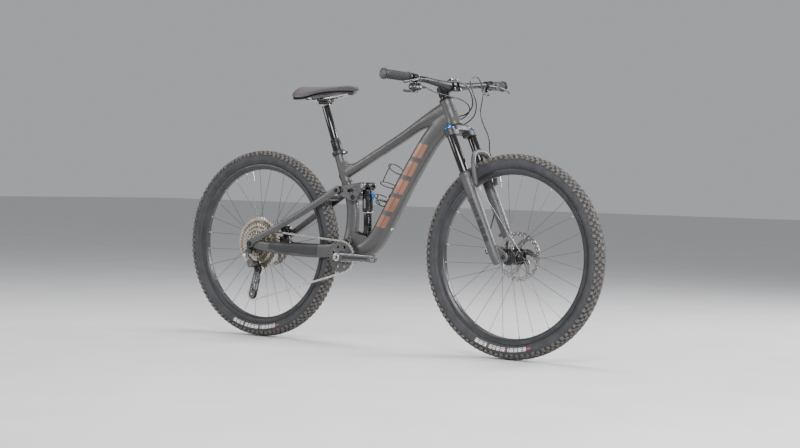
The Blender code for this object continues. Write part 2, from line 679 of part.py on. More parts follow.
def crown():
    middle = block("fork_crown", (0.050, 0.088, 0.026), fork(0.5190, STEER_AHEAD_OF_AXLE + 0.006),
                   BLACK_METAL, STEER_TURN, 0.004)
    steerer_top = STEM_BOTTOM + STEM_HEIGHT - HEAD_BOTTOM - 0.004
    shoulders = [block(f"shoulder_{y}", (0.040, 0.028, 0.025), fork(0.5030, LEG_AHEAD - 0.001, y),
                       BLACK_METAL,
                       STEER_TURN) for y in (-0.0490, 0.0490)]
    race = turned("crown_race", [(0, -0.010), (0.0265, -0.010), (0.0265, -GAP), (0.0195, -GAP + 0.0002),
                                 (0.0190, 0.010), (STEERER_RADIUS, 0.060), (STEERER_RADIUS, steerer_top),
                                 (0, steerer_top)],
                  fork(HEAD_BOTTOM - GAP, STEER_AHEAD_OF_AXLE), STEER_UP, BLACK_METAL, 12)
    sockets = [rod(f"socket_{y}", fork(CROWN_LEG_LOW, LEG_AHEAD, y), fork(CROWN_LEG_TOP, LEG_AHEAD, y),
                   0.0235,
                   BLACK_METAL, 12) for y in (-FORK_LEG_Y, FORK_LEG_Y)]
    join(middle, race, *shoulders, *sockets)
    bores = [rod(f"leg_bore_{y}", fork(0.45, LEG_AHEAD, y), fork(0.56, LEG_AHEAD, y),
                 STANCHION_RADIUS + GAP, None,
                 24) for y in (-FORK_LEG_Y, FORK_LEG_Y)]
    cut(middle, *bores)
    for name, y in (("stanchion_right", -FORK_LEG_Y), ("stanchion_left", FORK_LEG_Y)):
        rod(name, fork(0.200, LEG_AHEAD, y), fork(CROWN_LEG_TOP - 0.002, LEG_AHEAD, y), STANCHION_RADIUS,
            STANCHION_BLACK, 12)
    turned("damper_knob", [(0, 0), (0.0205, 0), (0.0205, 0.004), (0.0130, 0.006), (0.0110, 0.0130),
                           (0, 0.0130)],
           fork(CROWN_LEG_TOP + GAP, LEG_AHEAD, -FORK_LEG_Y), STEER_UP, BLUE, 12)
    air_cap = turned("air_cap", [(0, -0.010), (0.0120, -0.010), (0.0120, 0), (0.0205, 0), (0.0205, 0.004),
                                 (0.0120, 0.006), (0.0110, 0.0090), (0, 0.0090)],
                     fork(CROWN_LEG_TOP + GAP, LEG_AHEAD, FORK_LEG_Y), STEER_UP, BLUE, 12)
    join(bpy.data.objects["stanchion_left"], air_cap)


def lowers():
    """Both lower legs, the arch ahead of them and the dropouts."""
    legs = []
    for y in (-FORK_LEG_Y, FORK_LEG_Y):
        legs.append(turned(f"leg_{y}", [(0, 0), (0.0140, 0), (0.0185, 0.030), (0.0190, 0.120),
                                        (LOWER_LEG_RADIUS, 0.250), (LOWER_LEG_RADIUS,
                                                                    LOWER_TOP - LEG_BOTTOM - 0.02),
                                        (0.0235,
                                         LOWER_TOP - LEG_BOTTOM - 0.018), (0.0235, LOWER_TOP - LEG_BOTTOM),
                                        (0, LOWER_TOP - LEG_BOTTOM)],
                           fork(LEG_BOTTOM, LEG_AHEAD, y), STEER_UP, LOWERS_PAINT, 12))
    base = legs[0]
    base.name = "fork_lowers"
    arch_route = [fork(0.285, -0.004, -0.066), fork(0.330, 0.008, -0.066), fork(0.368, 0.013, -0.058),
                  fork(0.395, 0.015, -0.040), fork(0.404, 0.016, -0.020), fork(0.406, 0.016, 0)]
    arch_route += [Vector((p.x, -p.y, p.z)) for p in reversed(arch_route[:-1])]
    arch = as_mesh(tube("arch", arch_route, 0.0110, LOWERS_PAINT, 3))
    drops = []
    for sign in (-1, 1):
        drops.append(plate(f"dropout_{sign}", [[(p.x, p.z) for p in (
            fork(-0.014, -0.040), fork(-0.016, 0.006), fork(-0.008,
                                                            0.014), fork(0.010, 0.014), fork(0.060, -0.018),
            fork(0.060, -0.044))]], 0.0060, sign * (FRONT_HUB_HALF + 0.0060 + GAP), LOWERS_PAINT))
    caliper_lugs = [block(f"caliper_lug_{up}", (0.022, 0.012, 0.014), fork(up, LEG_AHEAD - 0.022, 0.066),
                          LOWERS_PAINT, STEER_TURN) for up in (0.052, 0.108)]
    join(base, legs[1], arch, *drops, *caliper_lugs)
    bores = [rod(f"lower_bore_{y}", fork(0.050, LEG_AHEAD, y), fork(0.40, LEG_AHEAD, y),
                 STANCHION_RADIUS + GAP,
                 None, 12) for y in (-FORK_LEG_Y, FORK_LEG_Y)]
    axle_hole = rod("axle_hole", FRONT_AXLE - Y_AXIS * 0.10, FRONT_AXLE + Y_AXIS * 0.10, 0.0075 + GAP, None,
                    12)
    rotor_room = turned("rotor_room", ring_profile(0.0001, ROTOR_RADIUS + 0.004, FRONT_ROTOR_Y - 0.0035,
                                                   FRONT_ROTOR_Y + 0.0035), FRONT_AXLE, Y_AXIS, None, 32)
    cut(base, *bores, axle_hole, rotor_room)
    turned("front_axle", [(0, -0.0700), (0.0050, -0.0700), (0.0075, -0.0680), (0.0075, 0.0680),
                          (0.0050, 0.0700),
                          (0, 0.0700)], FRONT_AXLE, Y_AXIS, BLACK_METAL, 12)


CALIPER_WIDTH = 0.028
CALIPER_HALF_HEIGHT = 0.017
BANJO_HEIGHT = 0.006
FRONT_CALIPER = fork(0.045, -0.080)
REAR_CALIPER = Vector((-0.5180, 0, 0.4200))
FRONT_CALIPER_OUT = (FRONT_CALIPER - FRONT_AXLE).normalized()
FRONT_BANJO = FRONT_CALIPER + FRONT_CALIPER_OUT * (CALIPER_HALF_HEIGHT + BANJO_HEIGHT) + Y_AXIS * FRONT_ROTOR_Y


def caliper(name, centre, hub, disc_y):
    """A brake caliper over the disc's edge: a rounded block with a slot that is open towards the hub."""
    outwards = Vector((centre.x - hub.x, 0, centre.z - hub.z)).normalized()
    turn = atan2(outwards.x, outwards.z)
    middle = Vector((centre.x, disc_y, centre.z))
    body = block(name, (0.050, CALIPER_WIDTH, 2 * CALIPER_HALF_HEIGHT), middle, BLACK_METAL, turn, 0.004)
    banjo = rod(name + "_banjo", middle + outwards * (CALIPER_HALF_HEIGHT - 0.003),
                middle + outwards * (CALIPER_HALF_HEIGHT + BANJO_HEIGHT), 0.0055, SILVER, 8)
    join(body, banjo)
    cut(body, block(name + "_slot", (0.080, 0.0034, 0.080), middle - outwards * 0.032, None, turn))


# ---- handlebar and controls ----
# The bar's centre line on one side, as (y, x, z).
BAR_ROUTE = ((0.0, CLAMP_CENTRE.x, CLAMP_CENTRE.z), (0.040, CLAMP_CENTRE.x, CLAMP_CENTRE.z),
             (0.090, 0.3090, 0.9920), (0.150, 0.3060, 0.9985), (0.190, 0.3040, 1.0015),
             (0.260, 0.2990, 1.0045), (BAR_HALF_WIDTH, 0.2780, 1.0100))


def bar_point(y, ahead=0.0, up=0.0):
    """A point of the bar's centre line at lateral position y, offset ahead and up."""
    reach = abs(y)
    for (y0, x0, z0), (y1, x1, z1) in zip(BAR_ROUTE, BAR_ROUTE[1:]):
        if reach <= y1 or y1 == BAR_ROUTE[-1][0]:
            t = (reach - y0) / (y1 - y0)
            return Vector((x0 + (x1 - x0) * t + ahead, y, z0 + (z1 - z0) * t + up))


def bar_ring(name, y, width, outer, material):
    """A clamp band round the bar."""
    hand = 1 if y > 0 else -1
    direction = bar_point(y + hand * 0.01) - bar_point(y - hand * 0.01)
    profile = ring_profile(bore_radius(BAR_END_RADIUS, 16), outer, -width / 2, width / 2)
    return turned(name, profile, bar_point(y), direction, material, 16)


def stem():
    base = fork(STEM_BOTTOM, STEER_AHEAD_OF_AXLE)
    post_clamp = turned("stem", [(0, 0), (0.0195, 0), (0.0200, 0.003), (0.0200, STEM_HEIGHT - 0.003),
                                 (0.0185, STEM_HEIGHT), (0, STEM_HEIGHT)], base, STEER_UP, BLACK_METAL, 12)
    neck = loft("stem_neck", [(fork(STEM_BOTTOM + 0.020, STEER_AHEAD_OF_AXLE + 0.008), 0.0165, 0.0170),
                              (fork(STEM_BOTTOM + 0.021, STEER_AHEAD_OF_AXLE + 0.028), 0.0150, 0.0170),
                              (CLAMP_CENTRE - STEER_AHEAD * 0.010, 0.0165, 0.0220)], BLACK_METAL, 12, 3)
    clamp = rod("stem_clamp", CLAMP_CENTRE - Y_AXIS * 0.025, CLAMP_CENTRE + Y_AXIS * 0.025, 0.0215,
                BLACK_METAL, 12)
    join(post_clamp, neck, clamp)
    steerer_bore = rod("steerer_bore", base - STEER_UP * 0.02, base + STEER_UP * (STEM_HEIGHT - 0.0035),
                       0.0147,
                       None, 12)
    clamp_ends = (CLAMP_CENTRE - Y_AXIS * 0.05, CLAMP_CENTRE + Y_AXIS * 0.05)
    bar_bore = rod("bar_bore", *clamp_ends, bore_radius(BAR_RADIUS, 16), None, 12)
    front_half = block("front_half", (0.06, 0.08, 0.08), CLAMP_CENTRE + STEER_AHEAD * 0.0305, None,
                       STEER_TURN)
    cut(post_clamp, steerer_bore, bar_bore, front_half)
    face = rod("stem_faceplate", CLAMP_CENTRE - Y_AXIS * 0.0245, CLAMP_CENTRE + Y_AXIS * 0.0245, 0.0215,
               BLACK_METAL,
               24)
    bolts = []
    for y in (-0.019, 0.019):
        for up in (-0.0192, 0.0192):
            centre = CLAMP_CENTRE + STEER_UP * up + Y_AXIS * y
            bolts.append(rod(f"face_bolt_{y}_{up}", centre + STEER_AHEAD * 0.004,
                             centre + STEER_AHEAD * 0.016,
                             0.0040, BLACK_METAL, 8))
    join(face, *bolts)
    face_bore = rod("face_bore", *clamp_ends, bore_radius(BAR_RADIUS, 16), None, 12)
    back_half = block("back_half", (0.06, 0.08, 0.08), CLAMP_CENTRE - STEER_AHEAD * 0.0285, None, STEER_TURN)
    cut(face, face_bore, back_half)


def handlebar():
    """A riser bar, thick at the clamp and thinner outside it."""
    outline = []
    for y, x, z in BAR_ROUTE:
        radius = BAR_RADIUS if y < 0.05 else (0.0130 if y < 0.10 else BAR_END_RADIUS)
        outline.append(((x, y, z), radius))
    whole = [((x, -y, z), r) for (x, y, z), r in reversed(outline[1:])] + outline
    curve = tube("handlebar", [p for p, r in whole], 1.0, BLACK_METAL, 3)
    for point, (place, radius) in zip(curve.data.splines[0].points, whole):
        point.radius = radius
    bpy.context.view_layer.update()
    as_mesh(curve)


def grip(name, hand):
    inner, outer = bar_point(hand * 0.2635), bar_point(hand * 0.3925)
    length = (outer - inner).length
    bore = bore_radius(BAR_END_RADIUS, 14)
    turned(name, [(0, length - 0.0040), (bore, length - 0.0040), (bore, 0), (0.0185, 0), (0.0185, 0.011),
                  (0.0160, 0.013), (0.0165,
                                    length - 0.012), (0.0205, length - 0.009), (0.0205, length - 0.002),
                  (0.0180, length), (0, length)], inner, outer - inner, RUBBER, 12)


MASTER_Y = 0.246
BLADE_PIVOT_Y = 0.258
MASTER_INNER_Y = 0.196
SHIFTER_Y = -0.231
REMOTE_Y = 0.231


def brake_lever(label, hand):
    """A clamp band with the master cylinder beside it, and the lever blade."""
    band = bar_ring(f"brake_master_{label}", hand * MASTER_Y, 0.013, 0.0165, BLACK_METAL)
    body = as_mesh(tube(f"cylinder_{label}", [bar_point(hand * MASTER_INNER_Y, 0.0285, -0.004),
                                              bar_point(hand * (MASTER_INNER_Y + 0.012), 0.0290, -0.004),
                                              bar_point(hand * (MASTER_Y + 0.006), 0.0310, -0.006)], 0.0095,
                        BLACK_METAL, 2))
    bridge_centre = bar_point(hand * MASTER_Y, 0.0200, -0.003)
    bridge = block(f"bridge_{label}", (0.013, 0.012, 0.010), bridge_centre, BLACK_METAL)
    ears = []
    for up in (-0.0125, 0.0035):
        centre = bar_point(hand * (BLADE_PIVOT_Y - 0.003), 0.0340, up)
        ears.append(block(f"ear_{label}_{up}", (0.018, 0.022, 0.003), centre, BLACK_METAL))
    join(band, body, bridge, *ears)
    pivot = bar_point(hand * BLADE_PIVOT_Y, 0.036, -0.0045)
    route = [pivot, bar_point(hand * 0.276, 0.047, -0.009), bar_point(hand * 0.310, 0.053, -0.018),
             bar_point(hand * 0.345, 0.051, -0.027)]
    blade = as_mesh(tube(f"brake_blade_{label}", smooth_route(route, 3), 0.0050, GREY_METAL, 2))
    return blade, pivot


SHIFT_PIVOT = bar_point(SHIFTER_Y, 0.002, -0.030)
DROPPER_PIVOT = bar_point(REMOTE_Y, 0.002, -0.0270)


def shifter():
    band = bar_ring("shifter_body", SHIFTER_Y, 0.012, 0.0160, BLACK_METAL)
    pod = turned("pod", [(0, -0.013), (0.020, -0.013), (0.024, -0.008), (0.024, 0.006), (0.018, 0.012),
                         (0, 0.012)],
                 SHIFT_PIVOT, Z_AXIS, BLACK_METAL, 12)
    neck = block("pod_neck", (0.016, 0.010, 0.010), bar_point(SHIFTER_Y, 0.002, -0.0185), BLACK_METAL)
    barrel = rod("barrel", SHIFT_PIVOT + Vector((0.010, 0.015, 0)),
                 SHIFT_PIVOT + Vector((0.016, 0.036, -0.002)),
                 0.0050, BLACK_METAL, 8)
    join(band, pod, neck, barrel)
    disc_profile = [(0, -0.0215), (0.011, -0.0215), (0.011, -0.0134), (0, -0.0134)]
    disc = turned("shift_lever", disc_profile, SHIFT_PIVOT, Z_AXIS, GREY_METAL, 12)
    route = [SHIFT_PIVOT + Vector((0, 0, -0.0185)), SHIFT_PIVOT + Vector((-0.012, -0.022, -0.0185)),
             SHIFT_PIVOT + Vector((-0.020, -0.044, -0.0165))]
    paddle = as_mesh(tube("paddle", smooth_route(route, 3), 0.0045, GREY_METAL, 2))
    join(disc, paddle)


def dropper_control():
    band = bar_ring("dropper_remote", REMOTE_Y, 0.012, 0.0160, BLACK_METAL)
    neck = block("remote_neck", (0.014, 0.011, 0.013), bar_point(REMOTE_Y, 0.002, -0.0195), BLACK_METAL)
    barrel = rod("remote_barrel", bar_point(REMOTE_Y - 0.004, 0.002, -0.0210),
                 bar_point(REMOTE_Y - 0.030, 0.006, -0.0215), 0.0050, BLACK_METAL)
    join(band, neck, barrel)
    disc_profile = [(0, -0.0090), (0.010, -0.0090), (0.010, -0.0034), (0, -0.0034)]
    disc = turned("dropper_lever", disc_profile, DROPPER_PIVOT, Z_AXIS, GREY_METAL, 12)
    route = [DROPPER_PIVOT + Vector((0, 0, -0.0063)), DROPPER_PIVOT + Vector((-0.010, 0.022, -0.0070)),
             DROPPER_PIVOT + Vector((-0.018, 0.046, -0.0050))]
    paddle = as_mesh(tube("remote_paddle", smooth_route(route, 3), 0.0045, GREY_METAL, 2))
    join(disc, paddle)


# ---- rear suspension ----
ROCKER_PLATE_Y = 0.0345
ROCKER_PLATE_HALF = 0.0035
STAY_EYE_HOLE = 0.0085
SHOCK_EYE_HOLE = 0.0075


def hull_outline(circles, count=8):
    """The outline round a few (centre, radius) circles, like a belt round pulleys."""
    points = [p for centre, radius in circles for p in circle(centre, radius, count * 2)]
    points = sorted(set(points))

    def turn(o, a, b):
        return (a[0] - o[0]) * (b[1] - o[1]) - (a[1] - o[1]) * (b[0] - o[0])

    chains = []
    for order in (points, list(reversed(points))):
        chain = []
        for p in order:
            while len(chain) > 1 and turn(chain[-2], chain[-1], p) <= 0:
                chain.pop()
            chain.append(p)
        chains.append(chain[:-1])
    return chains[0] + chains[1]


def rocker():
    """Two triangular plates on the shock bolt and the frame pivot's axle."""
    corners = (STAY_PIVOT, ROCKER_PIVOT, SHOCK_TOP)
    outline = hull_outline([(STAY_PIVOT, 0.0145), (ROCKER_PIVOT, 0.0140), (SHOCK_TOP, 0.0135)], 7)
    middle = [sum(p[k] for p in corners) / 3 for k in (0, 1)]
    shrink, lift = 0.34, 0.002
    window = [(middle[0] + (p[0] - middle[0]) * shrink, middle[1] + lift + (p[1] - middle[1]) * shrink)
              for p in corners]
    plates = [plate(f"rocker_plate_{y}", [outline, window], ROCKER_PLATE_HALF, y, FRAME_PAINT)
              for y in (-ROCKER_PLATE_Y, ROCKER_PLATE_Y)]
    base = plates[0]
    base.name = "rocker"
    reach = ROCKER_PLATE_Y + ROCKER_PLATE_HALF
    head_height = 0.003
    axle = through_rod("rocker_axle", ROCKER_PIVOT, reach + head_height, PIVOT_PIN, BLACK_METAL)
    bolt = through_rod("shock_bolt", SHOCK_TOP, reach + head_height, 0.0045, BLACK_METAL)
    pins = [rod(f"stay_pin_{hand}", side(STAY_PIVOT, hand * ROCKER_PLATE_Y), side(STAY_PIVOT, hand * 0.0510),
                0.0045, BLACK_METAL, 8) for hand in (-1, 1)]
    join(base, plates[1], axle, bolt, *pins)


def upper_stay(hand):
    return [(side((REAR_X, AXLE_Z), hand * 0.0845), 0.0130, 0.0035),
            (side((-0.560, 0.388), hand * 0.0852), 0.0120, 0.0040),
            (side((-0.500, 0.419), hand * 0.0815), 0.0125, 0.0060),
            (side((-0.380, 0.484), hand * 0.0600), 0.0130, 0.0075),
            (side((-0.280, 0.541), hand * 0.0500), 0.0140, 0.0065),
            (side((-0.215, 0.580), hand * 0.0455), 0.0150, 0.0042),
            (side((-0.178, 0.600), hand * 0.0455), 0.0145, 0.0038)]


def lower_stay(hand):
    return [(side((-0.575, 0.3690), hand * 0.0776), 0.0160, 0.0030),
            (side((-0.545, 0.3650), hand * 0.0770), 0.0170, 0.0045),
            (side((-0.480, 0.3580), hand * 0.0680), 0.0210, 0.0080),
            (side((-0.390, 0.3540), hand * 0.0560), 0.0240, 0.0080),
            (side((-0.290, 0.3540), hand * 0.0440), 0.0260, 0.0055),
            (side((-0.215, 0.3600), hand * 0.0395), 0.0250, 0.0048),
            (side((-0.170, 0.3830), hand * 0.0390), 0.0170, 0.0045),
            (side((-0.140, 0.3950), hand * 0.0385), 0.0140, 0.0040)]


HANGER = [(-0.602, 0.372), (-0.578, 0.372), (-0.581, 0.350), (-0.586, 0.332), (-0.604, 0.330),
          (-0.609, 0.350)]


def disc_at(name, point, hand, inner_y, outer_y, radius):
    """A round eye of a stay, between two distances from the middle plane."""
    return rod(name, side(point, hand * inner_y), side(point, hand * outer_y), radius, FRAME_PAINT, 12)


def seatstays():
    """Both upper stays, joined by a bridge behind the seat mast."""
    axle_point = (REAR_X, AXLE_Z)
    arms = []
    for hand in (-1, 1):
        arms.append(loft(f"upper_stay_{hand}", upper_stay(hand), FRAME_PAINT, 8, 3))
        arms.append(disc_at(f"stay_eye_{hand}", axle_point, hand, 0.0810, 0.0880, 0.0165))
    base = arms[0]
    base.name = "seatstays"
    bridge = block("stay_bridge", (0.016, 0.094, 0.019), (-0.2520, 0, 0.5600), FRAME_PAINT, radians(-28),
                   0.003)
    join(base, *arms[1:], bridge)
    holes = [rod("stay_hole", side(STAY_PIVOT, -0.09), side(STAY_PIVOT, 0.09), STAY_EYE_HOLE, None, 12),
             rod("stay_axle_hole", REAR_AXLE - Y_AXIS * 0.12, REAR_AXLE + Y_AXIS * 0.12, 0.0063, None, 12)]
    cut(base, *holes)


def chainstays():
    """Both lower stays, the yoke round the seat mast and the dropouts."""
    axle_point = (REAR_X, AXLE_Z)
    pieces = []
    for hand in (-1, 1):
        pieces.append(loft(f"lower_stay_{hand}", lower_stay(hand), FRAME_PAINT, 8, 3.2))
        pieces.append(disc_at(f"dropout_{hand}", axle_point, hand, REAR_HUB_HALF + GAP, 0.0806, 0.0170))
        pieces.append(disc_at(f"pivot_eye_{hand}", MAIN_PIVOT, hand, 0.0345, 0.0425, 0.0150))
    pieces.append(through_rod("pivot_axle", MAIN_PIVOT, 0.0440, PIVOT_PIN, BLACK_METAL))
    pieces.append(block("yoke", (0.016, 0.080, 0.034), (-0.1975, 0, 0.3640), FRAME_PAINT, 0, 0.003))
    pieces.append(plate("hanger", [HANGER], 0.0032, -0.0774, FRAME_PAINT))
    pieces.append(block("caliper_lug", (0.036, 0.008, 0.011), (-0.520, 0.0700, 0.3830), FRAME_PAINT))
    base = pieces[0]
    base.name = "chainstays"
    join(base, *pieces[1:])
    axle_hole = rod("chainstay_axle_hole", REAR_AXLE - Y_AXIS * 0.12, REAR_AXLE + Y_AXIS * 0.12, 0.0063,
                    None, 12)
    cut(base, axle_hole)
    turned("rear_axle", [(0, -0.0915), (0.0100, -0.0915), (0.0100, -0.0884), (0.0060, -0.0884),
                         (0.0060, 0.0884),
                         (0.0100, 0.0884), (0.0100, 0.0915), (0, 0.0915)], REAR_AXLE, Y_AXIS, BLACK_METAL, 12)


def shock():
    """An air shock: the can hangs on the rocker, the shaft runs to the eye at the frame's foot."""
    top, foot = side(SHOCK_TOP), side(SHOCK_FOOT)
    down = (foot - top).normalized()
    length = (foot - top).length
    can = turned("shock_body", [(0, 0.012), (0.0120, 0.012), (0.0190, 0.018), (0.0200, 0.022),
                                (0.0200, 0.100),
                                (0.0180, 0.106), (0, 0.106)], top, down, BLACK_METAL, 12)
    eye = rod("top_eye", top - Y_AXIS * 0.0120, top + Y_AXIS * 0.0120, 0.0130, BLACK_METAL, 12)
    join(can, eye)
    bolt_hole = rod("top_eye_hole", top - Y_AXIS * 0.03, top + Y_AXIS * 0.03, 0.0048, None, 12)
    shaft_room = rod("shaft_room", top + down * 0.040, top + down * 0.120, 0.0063, None, 12)
    cut(can, bolt_hole, shaft_room)
    shaft = rod("shock_shaft", top + down * 0.100, foot - down * 0.004, 0.0060, STANCHION_BLACK, 12)
    foot_eye = rod("foot_eye", foot - Y_AXIS * 0.0120, foot + Y_AXIS * 0.0120, 0.0125, BLACK_METAL, 12)
    collar = turned("collar", [(0, length - 0.020), (0.0110, length - 0.020), (0.0110, length - 0.010),
                               (0, length - 0.010)], top, down, BLACK_METAL, 12)
    join(shaft, foot_eye, collar)
    cut(shaft, rod("foot_eye_hole", foot - Y_AXIS * 0.03, foot + Y_AXIS * 0.03, SHOCK_EYE_HOLE, None, 12))
    pivot = top + down * 0.028 + Vector((0.0203, 0, 0))
    lever = rod("shock_lever", pivot, pivot + Vector((0.007, 0, 0)), 0.0080, BLUE, 12)
    handle = block("lever_handle", (0.0050, 0.0080, 0.0280), pivot + Vector((0.0045, 0, -0.014)), BLUE, 0,
                   0.001)
    join(lever, handle)


# ---- drivetrain ----
PEDAL_HOLE = 0.0070
PEDAL_FACE_Y = 0.0870


def crank_arm(name, hand, ahead):
    """One arm from the bottom bracket to the pedal seat, which stands ahead or behind it."""
    def place(reach, y, up=0.0):
        return BOTTOM_BRACKET + Vector((reach * ahead, hand * y, up))

    stations = [(place(-0.016, 0.0700), 0.0130, 0.0060), (place(0, 0.0715), 0.0185, 0.0085),
                (place(0.040, 0.0740), 0.0165, 0.0085), (place(0.120, 0.0790, 0.001), 0.0145, 0.0070),
                (place(CRANK_LENGTH, PEDAL_FACE_Y - 0.0065, 0.001), 0.0150, 0.0065),
                (place(CRANK_LENGTH + 0.014, PEDAL_FACE_Y - 0.0065, 0.001), 0.0105, 0.0065)]
    arm = loft(name, stations, GREY_METAL, 12, 3)
    pad = rod(name + "_pad", place(CRANK_LENGTH, PEDAL_FACE_Y - 0.010, 0.001),
              place(CRANK_LENGTH, PEDAL_FACE_Y, 0.001), 0.0135, GREY_METAL, 12)
    hole = rod(name + "_hole", place(CRANK_LENGTH, 0.05, 0.001), place(CRANK_LENGTH, 0.12, 0.001), PEDAL_HOLE,
               None, 32)
    return arm, pad, hole


SPINDLE_RADIUS = 0.0120


def cranks():
    right, pad, hole = crank_arm("crank_right", -1, 1)
    def on_axis(y):
        return BOTTOM_BRACKET + Y_AXIS * y

    spindle = rod("spindle", on_axis(-0.0800), on_axis(0.0775), SPINDLE_RADIUS, SILVER, 12)
    boss = rod("ring_boss", on_axis(-0.0660), on_axis(-0.0446), 0.0190, GREY_METAL, 12)
    cap = turned("spindle_cap", ring_profile(0.0070, 0.0150, -0.0855, -0.0750), BOTTOM_BRACKET, Y_AXIS,
                 SILVER, 12)
    join(right, pad, spindle, boss, cap)
    cut(right, hole)
    left, pad, hole = crank_arm("crank_left", 1, -1)
    boss = rod("left_boss", on_axis(0.0446), on_axis(0.0660), 0.0170, GREY_METAL, 12)
    join(left, pad, boss)
    spindle_bore = rod("spindle_bore", on_axis(0.03), on_axis(0.0778), SPINDLE_RADIUS + GAP, None, 12)
    cut(left, hole, spindle_bore)


def chainring():
    centre = (BB_X, BB_Z)
    outer = circle(centre, CHAINRING_RADIUS - CHAIN_HALF_HEIGHT - 0.0008, 36)
    windows = []
    arms = 4
    for arm in range(arms):
        base = 2 * pi * (arm + 0.5) / arms
        windows.append([(centre[0] + radius * cos(base + turn), centre[1] + radius * sin(base + turn))
                        for radius, turn in ((0.030, -0.42), (0.046, -0.52), (0.047, 0), (0.046, 0.52),
                                             (0.030, 0.42))])
    plate("chainring", [outer, circle(centre, 0.0202, 16)] + windows, 0.0018, CHAINLINE, GREY_METAL)


COG_Y = cog_y(CHAIN_COG)
PULLEY_RADIUS = 0.0240
GUIDE_PULLEY = Vector((-0.5780, COG_Y, 0.2680))
TENSION_PULLEY = Vector((-0.6040, COG_Y, 0.1680))


def tangent(centre_a, radius_a, centre_b, radius_b, hand):
    """The touching points of a straight run that leaves circle a and meets circle b.

    The run keeps circle a on its left for hand +1; a negative radius_b crosses over.
    """
    across = centre_b - centre_a
    distance = across.length
    heading = atan2(across.z, across.x)
    lean = asin((radius_b - radius_a) / distance) * hand
    normal_angle = heading - hand * pi / 2 - lean
    normal = Vector((cos(normal_angle), 0, sin(normal_angle)))
    return centre_a + normal * radius_a, centre_b + normal * radius_b


def chain_path():
    """The chain's centre line: round the chainring, the tension and guide pulleys and the cog."""
    ring = Vector((BB_X, CHAINLINE, BB_Z))
    cog = Vector((REAR_X, COG_Y, AXLE_Z))
    wheels = [(ring, CHAINRING_RADIUS, 1), (cog, cog_radius(CHAIN_COG), 1), (GUIDE_PULLEY, PULLEY_RADIUS, -1),
              (TENSION_PULLEY, PULLEY_RADIUS, 1)]
    runs = []
    for (ca, ra, ha), (cb, rb, hb) in zip(wheels, wheels[1:] + wheels[:1]):
        flat_a, flat_b = Vector((ca.x, 0, ca.z)), Vector((cb.x, 0, cb.z))
        start, end = tangent(flat_a, ra, flat_b, rb if ha == hb else -rb, ha)
        runs.append((Vector((start.x, ca.y, start.z)), Vector((end.x, cb.y, end.z))))
    path = []
    for index, (centre, radius, hand) in enumerate(wheels):
        enter = runs[index - 1][1] - centre
        leave = runs[index][0] - centre
        first, last = atan2(enter.z, enter.x), atan2(leave.z, leave.x)
        sweep = (last - first) * hand % (2 * pi)
        count = max(2, round(sweep / radians(18)))
        for step in range(count + 1):
            angle = first + hand * sweep * step / count
            path.append(centre + Vector((radius * cos(angle), 0, radius * sin(angle))))
    return path


def chain():
    """The roller chain as one closed band along its path."""
    path = chain_path()
    count = len(path)
    bm = bmesh.new()
    loops = []
    for i, place in enumerate(path):
        ahead = (path[(i + 1) % count] - path[i - 1]).normalized()
        out = Y_AXIS.cross(ahead).normalized()
        corners = ((-1, -1), (1, -1), (1, 1), (-1, 1))
        loops.append([bm.verts.new(place + out * CHAIN_HALF_HEIGHT * a + Y_AXIS * CHAIN_HALF_WIDTH * b)
                      for a, b in corners])
    for low, high in zip(loops, loops[1:] + loops[:1]):
        for k in range(4):
            bm.faces.new((low[k], low[(k + 1) % 4], high[(k + 1) % 4], high[k]))
    mesh = bpy.data.meshes.new("chain")
    bm.to_mesh(mesh)
    bm.free()
    outward(mesh)
    new_object("chain", mesh, SILVER)


B_PIVOT = Vector((-0.5965, 0, 0.3400))
P_PIVOT = Vector((-0.5860, 0, 0.2900))


def derailleur():
    """Body on the hanger, cage with two pulleys."""
    knuckle = rod("derailleur_body", B_PIVOT - Y_AXIS * 0.0920, B_PIVOT - Y_AXIS * 0.0811, 0.0125,
                  BLACK_METAL, 12)
    link = loft("link", [(B_PIVOT + Vector((-0.004, -0.0900, -0.004)), 0.0100, 0.0060),
                         (B_PIVOT + Vector((-0.006, -0.0900, -0.024)), 0.0130, 0.0080),
                         (P_PIVOT + Vector((-0.004, -0.0850, 0.010)), 0.0130, 0.0085),
                         (P_PIVOT + Vector((0, -0.0800, 0.000)), 0.0110, 0.0080)], BLACK_METAL, 10, 3)
    housing = rod("cage_housing", P_PIVOT - Y_AXIS * 0.0845, P_PIVOT - Y_AXIS * 0.0605, 0.0150, BLACK_METAL,
                  12)
    join(knuckle, link, housing)
    guide_point, tension_point = (GUIDE_PULLEY.x, GUIDE_PULLEY.z), (TENSION_PULLEY.x, TENSION_PULLEY.z)
    plates = []
    for number, y in enumerate((COG_Y - 0.0068, COG_Y + 0.0068)):
        outline = hull_outline([(guide_point, 0.0110), (tension_point, 0.0120)], 6)
        plates.append(plate(f"cage_plate_{number}", [outline], 0.0012, y, GREY_METAL))
    base = plates[0]
    base.name = "derailleur_cage"
    bolts = [rod(f"pulley_bolt_{number}", centre - Y_AXIS * 0.0085, centre + Y_AXIS * 0.0085, 0.0035,
                 SILVER, 8)
             for number, centre in enumerate((GUIDE_PULLEY, TENSION_PULLEY))]
    arm_outline = hull_outline([((P_PIVOT.x, P_PIVOT.z), 0.0120), (guide_point, 0.0110)], 6)
    arm = plate("cage_arm", [arm_outline], 0.0022, COG_Y - 0.0085, GREY_METAL)
    stub = rod("cage_stub", P_PIVOT - Y_AXIS * 0.0600, P_PIVOT + Y_AXIS * (COG_Y - 0.0080), 0.0100,
               GREY_METAL, 12)
    join(base, plates[1], *bolts, arm, stub)
    pulley_profile = ring_profile(0.0038, PULLEY_RADIUS - CHAIN_HALF_HEIGHT - 0.0010, -0.0016, 0.0016)
    for name, centre in (("guide_pulley", GUIDE_PULLEY), ("tension_pulley", TENSION_PULLEY)):
        turned(name, pulley_profile, centre, Y_AXIS, PLASTIC, 14)


